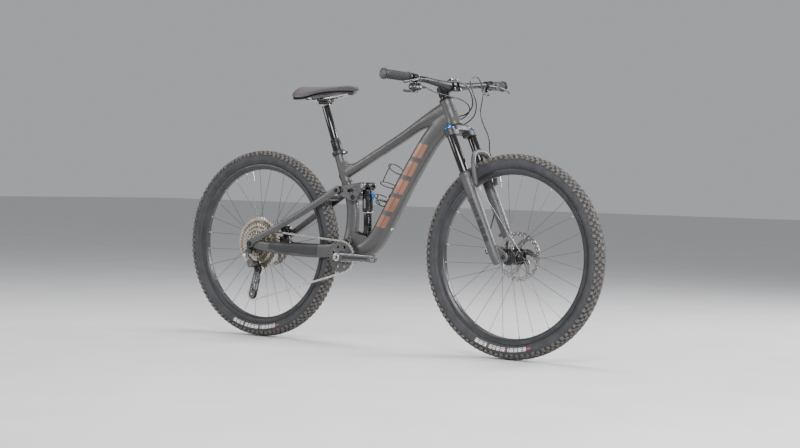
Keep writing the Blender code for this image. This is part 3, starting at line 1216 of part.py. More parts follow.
# ---- hoses ----
HOSE_RADIUS = 0.0026
HOUSING_RADIUS = 0.0023
LEFT_MASTER_END = bar_point(MASTER_INNER_Y, 0.0285, -0.004) - Y_AXIS * 0.0010
RIGHT_MASTER_END = bar_point(-MASTER_INNER_Y, 0.0285, -0.004) + Y_AXIS * 0.0010
REMOTE_END = bar_point(REMOTE_Y - 0.030, 0.006, -0.0215) - Y_AXIS * 0.0012


def hoses():
    """The four hoses and housings, each from its control to its port or caliper."""
    first, second, third = (side(place, PORT_Y + 0.0012) for place in PORT_PLACES)
    tube("rear_brake_hose", smooth_route([
        RIGHT_MASTER_END, RIGHT_MASTER_END + Vector((0.001, 0.012, 0)), (0.3330, -0.150, 0.9960),
        (0.3420, -0.090, 0.9970), (0.3480, -0.030, 1.0020), (0.3520, 0.022, 0.9900), (0.3580, 0.052, 0.9550),
        (0.3520, 0.066, 0.9150), (0.3250, 0.068, 0.8880), (0.2960, 0.056, 0.8790),
        first + Y_AXIS * 0.007, first], 2), HOSE_RADIUS, HOSE)
    tube("shift_housing", smooth_route([
        SHIFT_PIVOT + Vector((0.0163, 0.0372, -0.0021)), SHIFT_PIVOT + Vector((0.0185, 0.0450, -0.0030)),
        (0.3270, -0.150, 0.9590), (0.3380, -0.080, 0.9480),
        (0.3500, -0.010, 0.9380), (0.3580, 0.030, 0.9200), (0.3480, 0.054, 0.8970), (0.3200, 0.062, 0.8750),
        (0.2900, 0.058, 0.8630), second + Y_AXIS * 0.007, second], 2), HOUSING_RADIUS, HOSE)
    tube("dropper_housing", smooth_route([
        REMOTE_END, REMOTE_END + Vector((0.003, -0.010, 0.001)), (0.3340, 0.150, 1.0050),
        (0.3440, 0.110, 1.0260), (0.3500, 0.070, 1.0220), (0.3580, 0.040, 1.0050), (0.3720, 0.040, 0.9650),
        (0.3740, 0.060, 0.9250), (0.3500, 0.082, 0.8800), (0.3050, 0.080, 0.8480), (0.2720, 0.064, 0.8420),
        third + Y_AXIS * 0.007, third], 2), HOUSING_RADIUS, HOSE)
    tube("front_brake_hose", smooth_route([
        LEFT_MASTER_END, LEFT_MASTER_END + Vector((0.002, -0.014, -0.002)), (0.3500, 0.146, 0.9800),
        (0.3640, 0.116, 0.9400), (0.3700, 0.096, 0.8950), (0.3860, 0.094, 0.8500), (0.4120, 0.094, 0.8000),
        fork(0.420, 0.004, 0.094), fork(0.350, -0.004, 0.095), fork(0.280, -0.030, 0.0955),
        fork(0.200, -0.064, 0.0880), fork(0.150, -0.090, 0.0700), FRONT_BANJO + FRONT_CALIPER_OUT * 0.030,
        FRONT_BANJO + FRONT_CALIPER_OUT * 0.010, FRONT_BANJO + FRONT_CALIPER_OUT * GAP], 2), HOSE_RADIUS, HOSE)


# ---- moving bodies ----
def hang(empty_name, place, names):
    """Hangs nodes on an empty at their joint's axis."""
    empty = bpy.data.objects.new(empty_name, None)
    PARTS.objects.link(empty)
    empty.location = place
    for name in names:
        obj = bpy.data.objects[name]
        obj.parent = empty
        obj.matrix_parent_inverse = Matrix.Translation(-Vector(place))


main_frame()
bottom_bracket()
bottle_cage()
headset()
seat_clamp()
seat_post()
saddle_clamp()
saddle()
front_wheel()
rear_wheel()
crown()
lowers()
caliper("front_caliper", FRONT_CALIPER, FRONT_AXLE, FRONT_ROTOR_Y)
caliper("rear_caliper", REAR_CALIPER, REAR_AXLE, REAR_ROTOR_Y)
stem()
handlebar()
grip("grip_right", -1)
grip("grip_left", 1)
RIGHT_BLADE, RIGHT_BLADE_PIVOT = brake_lever("right", -1)
LEFT_BLADE, LEFT_BLADE_PIVOT = brake_lever("left", 1)
shifter()
dropper_control()
rocker()
seatstays()
chainstays()
shock()
cranks()
chainring()
chain()
derailleur()
hoses()

hang("steering", fork(HEAD_BOTTOM, STEER_AHEAD_OF_AXLE),
     ("fork_crown", "stanchion_right", "stanchion_left", "stem", "stem_faceplate", "handlebar",
      "grip_right", "grip_left", "brake_master_right", "brake_master_left", "shifter_body", "dropper_remote",
      "rear_brake_hose", "shift_housing", "dropper_housing", "front_brake_hose"))
hang("fork_travel", FRONT_AXLE, ("fork_lowers", "front_axle", "front_caliper"))
hang("front_wheel_axis", FRONT_AXLE, ("front_tyre", "front_rim", "front_hub", "front_rotor"))
hang("rear_wheel_axis", REAR_AXLE, ("rear_tyre", "rear_rim", "rear_hub", "rear_rotor"))
hang("cassette_axis", REAR_AXLE, ("cassette",))
hang("crank_axis", BOTTOM_BRACKET, ("crank_right", "crank_left", "chainring"))
hang("swingarm_axis", side(MAIN_PIVOT), ("chainstays", "rear_axle", "rear_caliper", "chain"))
hang("seatstay_axis", REAR_AXLE, ("seatstays",))
hang("rocker_axis", side(ROCKER_PIVOT), ("rocker",))
hang("shock_axis", side(SHOCK_TOP), ("shock_body", "shock_shaft", "shock_lever"))
hang("post_axis", POST_FOOT, ("dropper_stanchion", "saddle_clamp", "saddle_rails", "saddle_shell",
                              "saddle_cover"))
hang("right_blade_axis", RIGHT_BLADE_PIVOT, ("brake_blade_right",))
hang("left_blade_axis", LEFT_BLADE_PIVOT, ("brake_blade_left",))
hang("shift_lever_axis", SHIFT_PIVOT, ("shift_lever",))
hang("dropper_lever_axis", DROPPER_PIVOT, ("dropper_lever",))
hang("knob_axis", fork(CROWN_LEG_TOP, LEG_AHEAD, -FORK_LEG_Y), ("damper_knob",))
hang("derailleur_axis", B_PIVOT, ("derailleur_body",))
hang("cage_axis", P_PIVOT, ("derailleur_cage",))
hang("guide_axis", GUIDE_PULLEY, ("guide_pulley",))
hang("tension_axis", TENSION_PULLEY, ("tension_pulley",))
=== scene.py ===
"""Looks of the mountain bike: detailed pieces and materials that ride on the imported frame's bodies.

Metres, +Z up. The origin lies on the ground midway between the axles, +X points forwards, and the
drive side is -Y. Each function below makes the pieces of one part of the bike.
"""
from math import asin, atan2, cos, pi, radians, sin

import bmesh
import bpy
from mathutils import Matrix, Vector


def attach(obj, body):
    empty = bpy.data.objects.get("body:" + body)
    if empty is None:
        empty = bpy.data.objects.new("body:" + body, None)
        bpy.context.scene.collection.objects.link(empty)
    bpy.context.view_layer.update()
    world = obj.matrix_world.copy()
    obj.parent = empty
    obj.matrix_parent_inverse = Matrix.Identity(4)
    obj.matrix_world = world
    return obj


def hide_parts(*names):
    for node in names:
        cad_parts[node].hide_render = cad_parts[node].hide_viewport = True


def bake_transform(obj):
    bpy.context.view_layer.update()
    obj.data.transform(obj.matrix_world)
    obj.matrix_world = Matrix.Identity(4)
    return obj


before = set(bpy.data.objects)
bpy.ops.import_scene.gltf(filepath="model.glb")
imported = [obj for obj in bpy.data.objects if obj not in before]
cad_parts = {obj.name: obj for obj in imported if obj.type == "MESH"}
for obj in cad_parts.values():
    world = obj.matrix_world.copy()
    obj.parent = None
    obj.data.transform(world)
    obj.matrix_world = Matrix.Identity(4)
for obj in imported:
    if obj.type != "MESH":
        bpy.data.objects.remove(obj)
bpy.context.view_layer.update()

X_AXIS, Y_AXIS, Z_AXIS = Vector((1, 0, 0)), Vector((0, 1, 0)), Vector((0, 0, 1))

# ---- main dimensions, as in the solid model ----
WHEELBASE = 1.18
TYRE_RADIUS = 0.3705
RIM_INNER_RADIUS = 0.295
RIM_HALF_WIDTH = 0.0178
SPOKES = 28
CROSSES = 3
ROTOR_RADIUS = 0.09
FRONT_HUB_HALF = 0.0547
REAR_HUB_HALF = 0.0737
FRONT_ROTOR_Y = 0.0395
REAR_ROTOR_Y = 0.0575
FORK_LEG_Y = 0.066
LEG_SIDES = (-FORK_LEG_Y, FORK_LEG_Y)
HEAD_ANGLE = radians(65)
AXLE_TO_CROWN = 0.537
FORK_OFFSET = 0.0426
LEG_AHEAD = -0.032
STANCHION_RADIUS = 0.017
HEAD_TOP = AXLE_TO_CROWN + 0.105
STEM_BOTTOM = HEAD_TOP + 0.0158
STEM_HEIGHT = 0.04
STEM_REACH = 0.05
CRANK_LENGTH = 0.175
CHAINRING_RADIUS = 0.0606
CHAINRING_TEETH = 30
CHAINLINE = -0.052
COG_TEETH = (10, 12, 14, 16, 18, 21, 24, 28, 33, 39, 45, 51)
COG_PITCH = 0.00365
SMALLEST_COG_Y = -0.069
CHAIN_COG = 7
CHAIN_LINK = 0.0127
PULLEY_RADIUS = 0.024
BAR_RADIUS = 0.0159
BAR_END_RADIUS = 0.0111

FRONT_AXLE = Vector((WHEELBASE / 2, 0, TYRE_RADIUS))
REAR_AXLE = Vector((-WHEELBASE / 2, 0, TYRE_RADIUS))
BOTTOM_BRACKET = Vector((-0.1543, 0, 0.337))
STEER_UP = Vector((-cos(HEAD_ANGLE), 0, sin(HEAD_ANGLE)))
STEER_AHEAD = Vector((sin(HEAD_ANGLE), 0, cos(HEAD_ANGLE)))
MAIN_PIVOT = (-0.1385, 0.396)
ROCKER_PIVOT = (-0.117, 0.566)
STAY_PIVOT = (-0.192, 0.592)
SHOCK_TOP = (-0.0745, 0.612)
SHOCK_FOOT = (-0.0685, 0.408)
POST_FOOT = Vector((-0.2265, 0, 0.755))
POST_UP = Vector((-0.362, 0, 0.932)).normalized()


def side(point, y=0.0):
    """A point of the side plane, at lateral position y."""
    return Vector((point[0], y, point[1]))


def fork(up, ahead, y=0.0):
    """A point of the fork: up along the steering axis and ahead of the front axle."""
    return FRONT_AXLE + STEER_UP * up + STEER_AHEAD * ahead + Y_AXIS * y


def on_leg(up, y):
    """A point on the axis of a fork leg."""
    return fork(up, LEG_AHEAD, y)


def post(height):
    """A point on the seat post's axis."""
    return POST_FOOT + POST_UP * height


def around(count, shift=0.0):
    """The angles of evenly spaced places round a turn."""
    return [2 * pi * (k + shift) / count for k in range(count)]


def polar(centre, radius, angle):
    """A point of the side plane, as (x, z), at a distance and angle from a centre."""
    return centre[0] + radius * cos(angle), centre[1] + radius * sin(angle)


# ---- camera, light and floor ----
CAMERA_PLACE = Vector((3.833, -5.162, 0.632))
CAMERA_YAW, CAMERA_PITCH, CAMERA_ROLL = 0.6283, 0.0252, 0.0249
CAMERA_LENS = 76.1
SENSOR_WIDTH = 36.0
FLOOR_Z = -0.0012
FLOOR_REACH = 30.0


def add_camera():
    ahead = Vector((-sin(CAMERA_YAW) * cos(CAMERA_PITCH), cos(CAMERA_YAW) * cos(CAMERA_PITCH),
                    -sin(CAMERA_PITCH)))
    level = Vector((cos(CAMERA_YAW), sin(CAMERA_YAW), 0))
    above = level.cross(ahead)
    right = level * cos(CAMERA_ROLL) + above * sin(CAMERA_ROLL)
    up = above * cos(CAMERA_ROLL) - level * sin(CAMERA_ROLL)
    data = bpy.data.cameras.new("camera")
    data.lens = CAMERA_LENS
    data.sensor_width = SENSOR_WIDTH
    camera = bpy.data.objects.new("camera", data)
    bpy.context.scene.collection.objects.link(camera)
    turn = Matrix((right, up, -ahead)).transposed().to_4x4()
    camera.matrix_world = Matrix.Translation(CAMERA_PLACE) @ turn
    bpy.context.scene.camera = camera


def add_light(name, place, target, width, power, colour=(1, 1, 1)):
    data = bpy.data.lights.new(name, "AREA")
    data.shape = "RECTANGLE"
    data.size, data.size_y = width, width * 0.6
    data.energy = power
    data.color = colour
    lamp = bpy.data.objects.new(name, data)
    bpy.context.scene.collection.objects.link(lamp)
    lamp.location = place
    lamp.rotation_euler = (Vector(target) - Vector(place)).to_track_quat("-Z", "Y").to_euler()


def add_floor():
    """A wide, plain pale floor, just under the tread."""
    corners = ((-1, -1), (1, -1), (1, 1), (-1, 1))
    mesh = bpy.data.meshes.new("floor")
    mesh.from_pydata([(x * FLOOR_REACH, y * FLOOR_REACH, FLOOR_Z) for x, y in corners], [], [(0, 1, 2, 3)])
    looks = mottled("floor", (0.6, 0.6, 0.61), (0.64, 0.64, 0.65), 0.55, patch=3.0, grain=90.0, bump=0.02,
                    swing=0.02)
    mesh.materials.append(looks.material)
    floor = bpy.data.objects.new("floor", mesh)
    bpy.context.scene.collection.objects.link(floor)


def add_studio():
    add_light("key", (2.4, -3.2, 3.0), (0.1, 0, 0.5), 2.0, 210)
    add_light("fill", (-3.2, -3.0, 1.8), (-0.2, 0, 0.5), 2.0, 80)
    add_light("top", (0.0, 0.5, 3.4), (0, 0, 0.4), 2.4, 130)
    add_light("rim", (2.4, 3.2, 2.2), (0, 0, 0.5), 2.0, 190)
    add_light("front", (3.6, -1.0, 0.9), (0.2, 0, 0.6), 1.0, 70)
    world = bpy.data.worlds.new("studio")
    world.use_nodes = True
    sky = world.node_tree.nodes["Background"].inputs
    sky["Color"].default_value = (0.8, 0.82, 0.85, 1)
    sky["Strength"].default_value = 0.5
    bpy.context.scene.world = world


# ---- materials ----
class Nodes:
    """A new material's node tree, with short ways to add and link nodes."""

    def __init__(self, name, roughness, metallic=0.0, coat=0.0, specular=0.5):
        self.material = bpy.data.materials.new(name)
        self.material.use_nodes = True
        self.tree = self.material.node_tree
        self.shader = self.tree.nodes["Principled BSDF"]
        self.shader.inputs["Roughness"].default_value = roughness
        self.shader.inputs["Metallic"].default_value = metallic
        self.shader.inputs["Coat Weight"].default_value = coat
        self.shader.inputs["Coat Roughness"].default_value = 0.2
        self.shader.inputs["Specular IOR Level"].default_value = specular
        self.place = self.add("ShaderNodeTexCoord").outputs["Object"]

    def add(self, kind, **settings):
        node = self.tree.nodes.new(kind)
        for key, value in settings.items():
            setattr(node, key, value)
        return node

    def link(self, out, into):
        self.tree.links.new(out, into)

    def noise(self, scale, detail=3.0, roughness=0.5, place=None):
        node = self.add("ShaderNodeTexNoise")
        node.inputs["Scale"].default_value = scale
        node.inputs["Detail"].default_value = detail
        node.inputs["Roughness"].default_value = roughness
        self.link(place or self.place, node.inputs["Vector"])
        return node.outputs["Fac"]

    def stretched(self, scale):
        """The place, scaled by axis, for a grain that runs one way."""
        node = self.add("ShaderNodeMapping")
        node.inputs["Scale"].default_value = scale
        self.link(self.place, node.inputs["Vector"])
        return node.outputs["Vector"]

    def math(self, operation, a, b=None, clamp=False):
        node = self.add("ShaderNodeMath", operation=operation, use_clamp=clamp)
        for socket, value in zip(node.inputs, (a, b)):
            if value is None:
                continue
            if isinstance(value, (int, float)):
                socket.default_value = value
            else:
                self.link(value, socket)
        return node.outputs[0]

    def between(self, value, low, high):
        """1 where the value lies between low and high, else 0."""
        return self.math("MULTIPLY", self.math("GREATER_THAN", value, low),
                         self.math("LESS_THAN", value, high))

    def ramp(self, value, low, high, to_low, to_high):
        node = self.add("ShaderNodeMapRange")
        for key, number in (("From Min", low), ("From Max", high), ("To Min", to_low), ("To Max", to_high)):
            node.inputs[key].default_value = number
        self.link(value, node.inputs["Value"])
        return node.outputs["Result"]

    def blend(self, share, first, second):
        """A colour between two; each is a colour or a socket."""
        node = self.add("ShaderNodeMix", data_type="RGBA")
        if isinstance(share, (int, float)):
            node.inputs[0].default_value = share
        else:
            self.link(share, node.inputs[0])
        for socket, value in ((node.inputs[6], first), (node.inputs[7], second)):
            if isinstance(value, tuple):
                socket.default_value = (*value, 1)
            else:
                self.link(value, socket)
        return node.outputs[2]

    def dot(self, direction):
        node = self.add("ShaderNodeVectorMath", operation="DOT_PRODUCT")
        node.inputs[1].default_value = direction
        self.link(self.place, node.inputs[0])
        return node.outputs["Value"]

    def colour(self, value):
        if isinstance(value, tuple):
            self.shader.inputs["Base Color"].default_value = (*value, 1)
        else:
            self.link(value, self.shader.inputs["Base Color"])

    def roughness(self, value):
        self.link(value, self.shader.inputs["Roughness"])

    def bump(self, height, strength, distance=0.001):
        node = self.add("ShaderNodeBump")
        node.inputs["Strength"].default_value = strength
        node.inputs["Distance"].default_value = distance
        self.link(height, node.inputs["Height"])
        self.link(node.outputs["Normal"], self.shader.inputs["Normal"])


def mottled(name, dark, light, roughness, metallic=0.0, coat=0.0, patch=18.0, grain=900.0, bump=0.08,
            swing=0.08):
    """A surface with soft patches of tone, a fine grain, and a gloss that changes a little."""
    nodes = Nodes(name, roughness, metallic, coat)
    patches = nodes.noise(patch, 4.0, 0.55)
    nodes.colour(nodes.blend(nodes.ramp(patches, 0.35, 0.65, 0.0, 1.0), dark, light))
    smudges = nodes.noise(patch * 5, 3.0)
    nodes.roughness(nodes.ramp(smudges, 0.3, 0.7, max(0.04, roughness - swing), min(1.0, roughness + swing)))
    nodes.bump(nodes.noise(grain, 2.0), bump, 0.0003)
    return nodes


def frame_paint():
    """Matt dark grey paint with a fine flake, and plain copper bars along the down tube's sides."""
    nodes = Nodes("frame_paint", 0.42, 0.2, 0.1)
    patches = nodes.noise(9.0, 4.0)
    flake = nodes.noise(2600.0, 1.0)
    paint = nodes.blend(nodes.ramp(patches, 0.3, 0.7, 0.0, 1.0), (0.043, 0.042, 0.042), (0.057, 0.056, 0.056))
    paint = nodes.blend(nodes.ramp(flake, 0.55, 0.8, 0.0, 0.12), paint, (0.11, 0.108, 0.106))
    along = nodes.math("SUBTRACT", nodes.dot(tuple(DOWN_TUBE_UP)), DOWN_TUBE_UP.dot(side(CAGE_BOLTS[0])))
    out = nodes.math("SUBTRACT", nodes.dot(tuple(CAGE_OUT)), CAGE_OUT.dot(side(CAGE_BOLTS[0])))
    slanted = nodes.math("ADD", along, nodes.math("MULTIPLY", out, 0.35))
    bars = 0.0
    for low, high in COPPER_BARS:
        bar = nodes.between(slanted, low, high)
        bars = bar if isinstance(bars, float) else nodes.math("ADD", bars, bar)
    across = nodes.between(out, -0.021, 0.02)
    split = nodes.math("SUBTRACT", 1.0, nodes.between(out, -0.0035, 0.0005))
    sides = nodes.math("GREATER_THAN", nodes.math("ABSOLUTE", nodes.dot((0, 1, 0))), 0.01)
    mask = nodes.math("MULTIPLY", nodes.math("MULTIPLY", bars, across), nodes.math("MULTIPLY", split, sides))
    copper = nodes.blend(nodes.ramp(patches, 0.35, 0.65, 0.0, 1.0), (0.17, 0.07, 0.043), (0.27, 0.115, 0.07))
    nodes.colour(nodes.blend(mask, paint, copper))
    nodes.roughness(nodes.ramp(nodes.noise(45.0, 4.0), 0.3, 0.7, 0.36, 0.5))
    nodes.bump(nodes.noise(1400.0, 2.0), 0.02, 0.0002)
    return nodes.material


def tyre_rubber():
    """Blue-grey black rubber with a dusty bloom and a fine moulded grain."""
    nodes = Nodes("tyre_rubber", 0.72, 0.0, 0.0, 0.4)
    dust = nodes.noise(30.0, 5.0, 0.6)
    nodes.colour(nodes.blend(nodes.ramp(dust, 0.35, 0.7, 0.0, 1.0), (0.027, 0.028, 0.032),
                             (0.044, 0.045, 0.05)))
    nodes.roughness(nodes.ramp(nodes.noise(120.0, 3.0), 0.3, 0.7, 0.6, 0.8))
    nodes.bump(nodes.noise(1500.0, 3.0), 0.2, 0.0003)
    return nodes.material


def knob_rubber():
    """The tread blocks: a browner black, with paler patches that are partly scuffs and partly painted
    highlight.
    """
    nodes = Nodes("knob_rubber", 0.8, 0.0, 0.0, 0.4)
    # Paler patches on the knobs: partly scuffs, partly painted highlight.
    scuffs_and_highlights = nodes.noise(160.0, 4.0, 0.6)
    nodes.colour(nodes.blend(nodes.ramp(scuffs_and_highlights, 0.4, 0.75, 0.0, 1.0), (0.046, 0.042, 0.039),
                             (0.15, 0.137, 0.127)))
    nodes.bump(nodes.noise(900.0, 3.0), 0.3, 0.0003)
    return nodes.material


def ground_steel():
    """Brushed steel with rings of fine scratches."""
    nodes = Nodes("rotor_steel", 0.32, 1.0)
    scratches = nodes.noise(420.0, 2.0, 0.6, nodes.stretched((1, 0.02, 1)))
    nodes.colour(nodes.blend(scratches, (0.2, 0.19, 0.18), (0.46, 0.44, 0.41)))
    nodes.roughness(nodes.ramp(scratches, 0.3, 0.7, 0.22, 0.42))
    nodes.bump(scratches, 0.12, 0.0002)
    return nodes.material


def saddle_leather():
    """A matt synthetic leather with a pebbled grain."""
    nodes = Nodes("saddle_cover", 0.52, 0.0, 0.0, 0.45)
    cells = nodes.add("ShaderNodeTexVoronoi", feature="SMOOTH_F1")
    cells.inputs["Scale"].default_value = 620.0
    nodes.link(nodes.place, cells.inputs["Vector"])
    worn = nodes.noise(14.0, 3.0)
    nodes.colour(nodes.blend(nodes.ramp(worn, 0.35, 0.7, 0.0, 1.0), (0.046, 0.04, 0.043),
                             (0.07, 0.061, 0.066)))
    nodes.roughness(nodes.ramp(cells.outputs["Distance"], 0.0, 0.5, 0.44, 0.62))
    nodes.bump(cells.outputs["Distance"], 0.35, 0.0004)
    return nodes.material


def plain(name, colour, roughness, metallic=0.0, coat=0.0, **more):
    """A mottled surface round one colour."""
    dark = tuple(c * 0.82 for c in colour)
    light = tuple(min(1.0, c * 1.18) for c in colour)
    return mottled(name, dark, light, roughness, metallic, coat, **more).material


# ---- mesh building ----
class Piece:
    """Points, faces and materials gathered into one object."""

    def __init__(self, name):
        self.name = name
        self.points, self.faces, self.slots, self.materials = [], [], [], []

    def add(self, shape, material, place=None):
        points, faces = shape
        if material not in self.materials:
            self.materials.append(material)
        slot = self.materials.index(material)
        start = len(self.points)
        self.points += [tuple(place @ Vector(p)) if place else tuple(p) for p in points]
        self.faces += [[start + i for i in face] for face in faces]
        self.slots += [slot] * len(faces)
        return self

    def build(self, body, nodes=(), slot=None, sharp=35, ride=True):
        mesh = bpy.data.meshes.new(self.name)
        mesh.from_pydata(self.points, [], self.faces)
        for material in self.materials:
            mesh.materials.append(material)
        mesh.polygons.foreach_set("material_index", self.slots)
        bm = bmesh.new()
        bm.from_mesh(mesh)
        bmesh.ops.recalc_face_normals(bm, faces=bm.faces)
        bm.to_mesh(mesh)
        bm.free()
        mesh.shade_smooth()
        mesh.set_sharp_from_angle(angle=radians(sharp))
        obj = bpy.data.objects.new(self.name, mesh)
        bpy.context.scene.collection.objects.link(obj)
        if ride:
            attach(obj, body)
        if nodes:
            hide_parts(*nodes)
        return obj


def facing(direction):
    """The rotation that turns local +Z onto a direction."""
    return Vector(direction).to_track_quat("Z", "Y").to_matrix().to_4x4()


def rounded(profile, radius=0.0006, steps=2):
    """A profile with each of its corners cut to a small arc; a corner on the axis stays."""
    out = []
    count = len(profile)
    for i, corner in enumerate(profile):
        before, after = profile[i - 1], profile[(i + 1) % count]
        a = Vector(before) - Vector(corner)
        b = Vector(after) - Vector(corner)
        if corner[0] < 1e-6 or a.length < 1e-7 or b.length < 1e-7 or abs(a.angle(b) - pi) < 0.12:
            out.append(tuple(corner))
            continue
        cut = min(radius, a.length * 0.45, b.length * 0.45)
        start, end = Vector(corner) + a.normalized() * cut, Vector(corner) + b.normalized() * cut
        for step in range(steps + 1):
            t = step / steps
            out.append(tuple(start * (1 - t) ** 2 + Vector(corner) * 2 * t * (1 - t) + end * t * t))
    return out


def lathe(profile, centre, direction, steps=40, bevel=0.0006):
    """A closed (radius, height) profile turned about an axis."""
    if bevel:
        profile = rounded(profile, bevel)
    place = Matrix.Translation(centre) @ facing(direction)
    points, rings = [], []
    for radius, height in profile:
        if radius < 1e-6:
            rings.append([len(points)])
            points.append(place @ Vector((0, 0, height)))
            continue
        rings.append(list(range(len(points), len(points) + steps)))
        for k in range(steps):
            turn = 2 * pi * k / steps
            points.append(place @ Vector((radius * cos(turn), radius * sin(turn), height)))
    faces = []
    for low, high in zip(rings, rings[1:] + rings[:1]):
        for k in range(steps):
            after = k + 1
            around_face = (low[k % len(low)], low[after % len(low)], high[after % len(high)],
                           high[k % len(high)])
            corners = list(dict.fromkeys(around_face))
            if len(corners) > 2:
                faces.append(corners)
    return points, faces


def rod(start, end, radius, steps=20, bevel=0.0005):
    start, end = Vector(start), Vector(end)
    length = (end - start).length
    profile = ring(0, radius, 0, length)
    return lathe(profile, start, end - start, steps, min(bevel, radius * 0.4))


def crosswise(centre, reach, radius, steps=20, bevel=0.0005):
    """A rod across the bike, with the same reach to each side of its centre."""
    return rod(centre - Y_AXIS * reach, centre + Y_AXIS * reach, radius, steps, bevel)


def ring(inner, outer, low, high):
    """The profile of a ring, or of a disc where inner is 0."""
    return [(inner, low), (outer, low), (outer, high), (inner, high)]


def bolt(centre, direction, radius=0.004, height=0.003):
    """A socket-head bolt with a hexagonal recess."""
    direction = Vector(direction).normalized()
    head = lathe(ring(radius * 0.55, radius, 0, height), centre, direction, 20, 0.0005)
    recess = lathe(ring(0, radius * 0.6, 0, height * 0.35), centre, direction, 6, 0)
    return merged(head, recess)


def merged(*shapes):
    points, faces = [], []
    for more_points, more_faces in shapes:
        start = len(points)
        points += list(more_points)
        faces += [[start + i for i in face] for face in more_faces]
    return points, faces


def from_object(obj):
    """The evaluated mesh of a temporary object, which is then removed."""
    bpy.context.view_layer.update()
    graph = bpy.context.evaluated_depsgraph_get()
    mesh = bpy.data.meshes.new_from_object(obj.evaluated_get(graph))
    points = [obj.matrix_world @ v.co for v in mesh.vertices]
    faces = [list(p.vertices) for p in mesh.polygons]
    bpy.data.objects.remove(obj)
    bpy.data.meshes.remove(mesh)
    return points, faces


def temporary(shape):
    mesh = bpy.data.meshes.new("temporary")
    mesh.from_pydata([tuple(p) for p in shape[0]], [], shape[1])
    obj = bpy.data.objects.new("temporary", mesh)
    bpy.context.scene.collection.objects.link(obj)
    bm = bmesh.new()
    bm.from_mesh(mesh)
    bmesh.ops.remove_doubles(bm, verts=bm.verts, dist=1e-7)
    bmesh.ops.recalc_face_normals(bm, faces=bm.faces)
    bm.to_mesh(mesh)
    bm.free()
    return obj


def block(size, centre, turn_y=0.0, bevel=0.001, segments=2, turn=None):
    """A box with rounded edges, turned about +Y or by a given rotation."""
    bm = bmesh.new()
    bmesh.ops.create_cube(bm, size=1, matrix=Matrix.Diagonal((*size, 1)))
    if bevel:
        bmesh.ops.bevel(bm, geom=bm.edges[:] + bm.verts[:], offset=bevel, segments=segments, profile=0.5,
                        affect="EDGES")
    place = Matrix.Translation(centre) @ (turn or Matrix.Rotation(turn_y, 4, "Y"))
    bm.verts.ensure_lookup_table()
    points = [place @ v.co for v in bm.verts]
    faces = [[v.index for v in f.verts] for f in bm.faces]
    bm.free()
    return points, faces


def smooth_route(points, per_span=6):
    """Points read from a smooth curve (Catmull-Rom) through the given ones."""
    points = [Vector(p) for p in points]
    ends = [2 * points[0] - points[1]] + points + [2 * points[-1] - points[-2]]
    route = []
    for a, b, c, d in zip(ends, ends[1:], ends[2:], ends[3:]):
        for step in range(per_span):
            t = step / per_span
            route.append(0.5 * (2 * b + (c - a) * t + (2 * a - 5 * b + 4 * c - d) * t * t
                                + (3 * b - a - 3 * c + d) * t ** 3))
    return route + [points[-1]]


def smooth_numbers(values, per_span):
    return [p.x for p in smooth_route([(v, 0, 0) for v in values], per_span)]


def tube(route, radius, sides=12, cyclic=False, flat=1.0):
    """A round tube along a route; radius is one number or one for each point. flat squashes it."""
    route = [Vector(p) for p in route]
    count = len(route)
    radii = radius if isinstance(radius, list) else [radius] * count
    normal = None
    points, faces = [], []
    for i, place in enumerate(route):
        before = route[i - 1] if i or cyclic else place
        after = route[(i + 1) % count] if i + 1 < count or cyclic else place
        ahead = (after - before).normalized()
        if normal is None:
            normal = ahead.orthogonal()
        normal = (normal - ahead * normal.dot(ahead)).normalized()
        other = ahead.cross(normal)
        for k in range(sides):
            turn = 2 * pi * k / sides
            points.append(place + (normal * cos(turn) * flat + other * sin(turn)) * radii[i])
    spans = count if cyclic else count - 1
    for i in range(spans):
        j = (i + 1) % count
        for k in range(sides):
            m = (k + 1) % sides
            faces.append([i * sides + k, i * sides + m, j * sides + m, j * sides + k])
    if not cyclic:
        faces.append(list(range(sides)))
        faces.append(list(range((count - 1) * sides, count * sides)))
    return points, faces


def loft(stations, sides=28, squareness=2.4, per_span=4):
    """A smooth tube of changing oval section through stations of (point, half depth, half width).

    The width lies across the bike, the depth in the side plane.
    """
    centres = smooth_route([s[0] for s in stations], per_span)
    depths = smooth_numbers([s[1] for s in stations], per_span)
    widths = smooth_numbers([s[2] for s in stations], per_span)
    points, faces = [], []
    for i, centre in enumerate(centres):
        ahead = centres[min(i + 1, len(centres) - 1)] - centres[max(i - 1, 0)]
        out = Y_AXIS.cross(ahead).normalized()
        across = ahead.cross(out).normalized()
        for k in range(sides):
            angle = 2 * pi * (k + 0.5) / sides
            c, s = cos(angle), sin(angle)
            reach = (abs(c) ** squareness + abs(s) ** squareness) ** (-1 / squareness)
            points.append(centre + out * depths[i] * c * reach + across * widths[i] * s * reach)
    for i in range(len(centres) - 1):
        for k in range(sides):
            m = (k + 1) % sides
            faces.append([i * sides + k, i * sides + m, (i + 1) * sides + m, (i + 1) * sides + k])
    faces.append(list(range(sides)))
    faces.append([(len(centres) - 1) * sides + k for k in range(sides)])
    return points, faces


def plate(outlines, half_thickness, y, bevel=0.0003):
    """A flat plate in the side plane with crisp edges: the first outline is its edge, the rest are holes."""
    curve = bpy.data.curves.new("plate", "CURVE")
    curve.dimensions = "2D"
    curve.fill_mode = "BOTH"
    curve.extrude = half_thickness - bevel
    curve.bevel_depth = bevel
    curve.offset = -bevel
    curve.bevel_resolution = 0
    for outline in outlines:
        spline = curve.splines.new("POLY")
        spline.points.add(len(outline) - 1)
        for point, (x, z) in zip(spline.points, outline):
            point.co = (x, z, 0, 1)
        spline.use_cyclic_u = True
    obj = bpy.data.objects.new("plate", curve)
    bpy.context.scene.collection.objects.link(obj)
    obj.matrix_world = Matrix.Translation((0, y, 0)) @ Matrix.Rotation(pi / 2, 4, "X")
    return from_object(obj)


def circle(centre, radius, count, start=0.0):
    return [(centre[0] + radius * cos(start + 2 * pi * i / count),
             centre[1] + radius * sin(start + 2 * pi * i / count)) for i in range(count)]


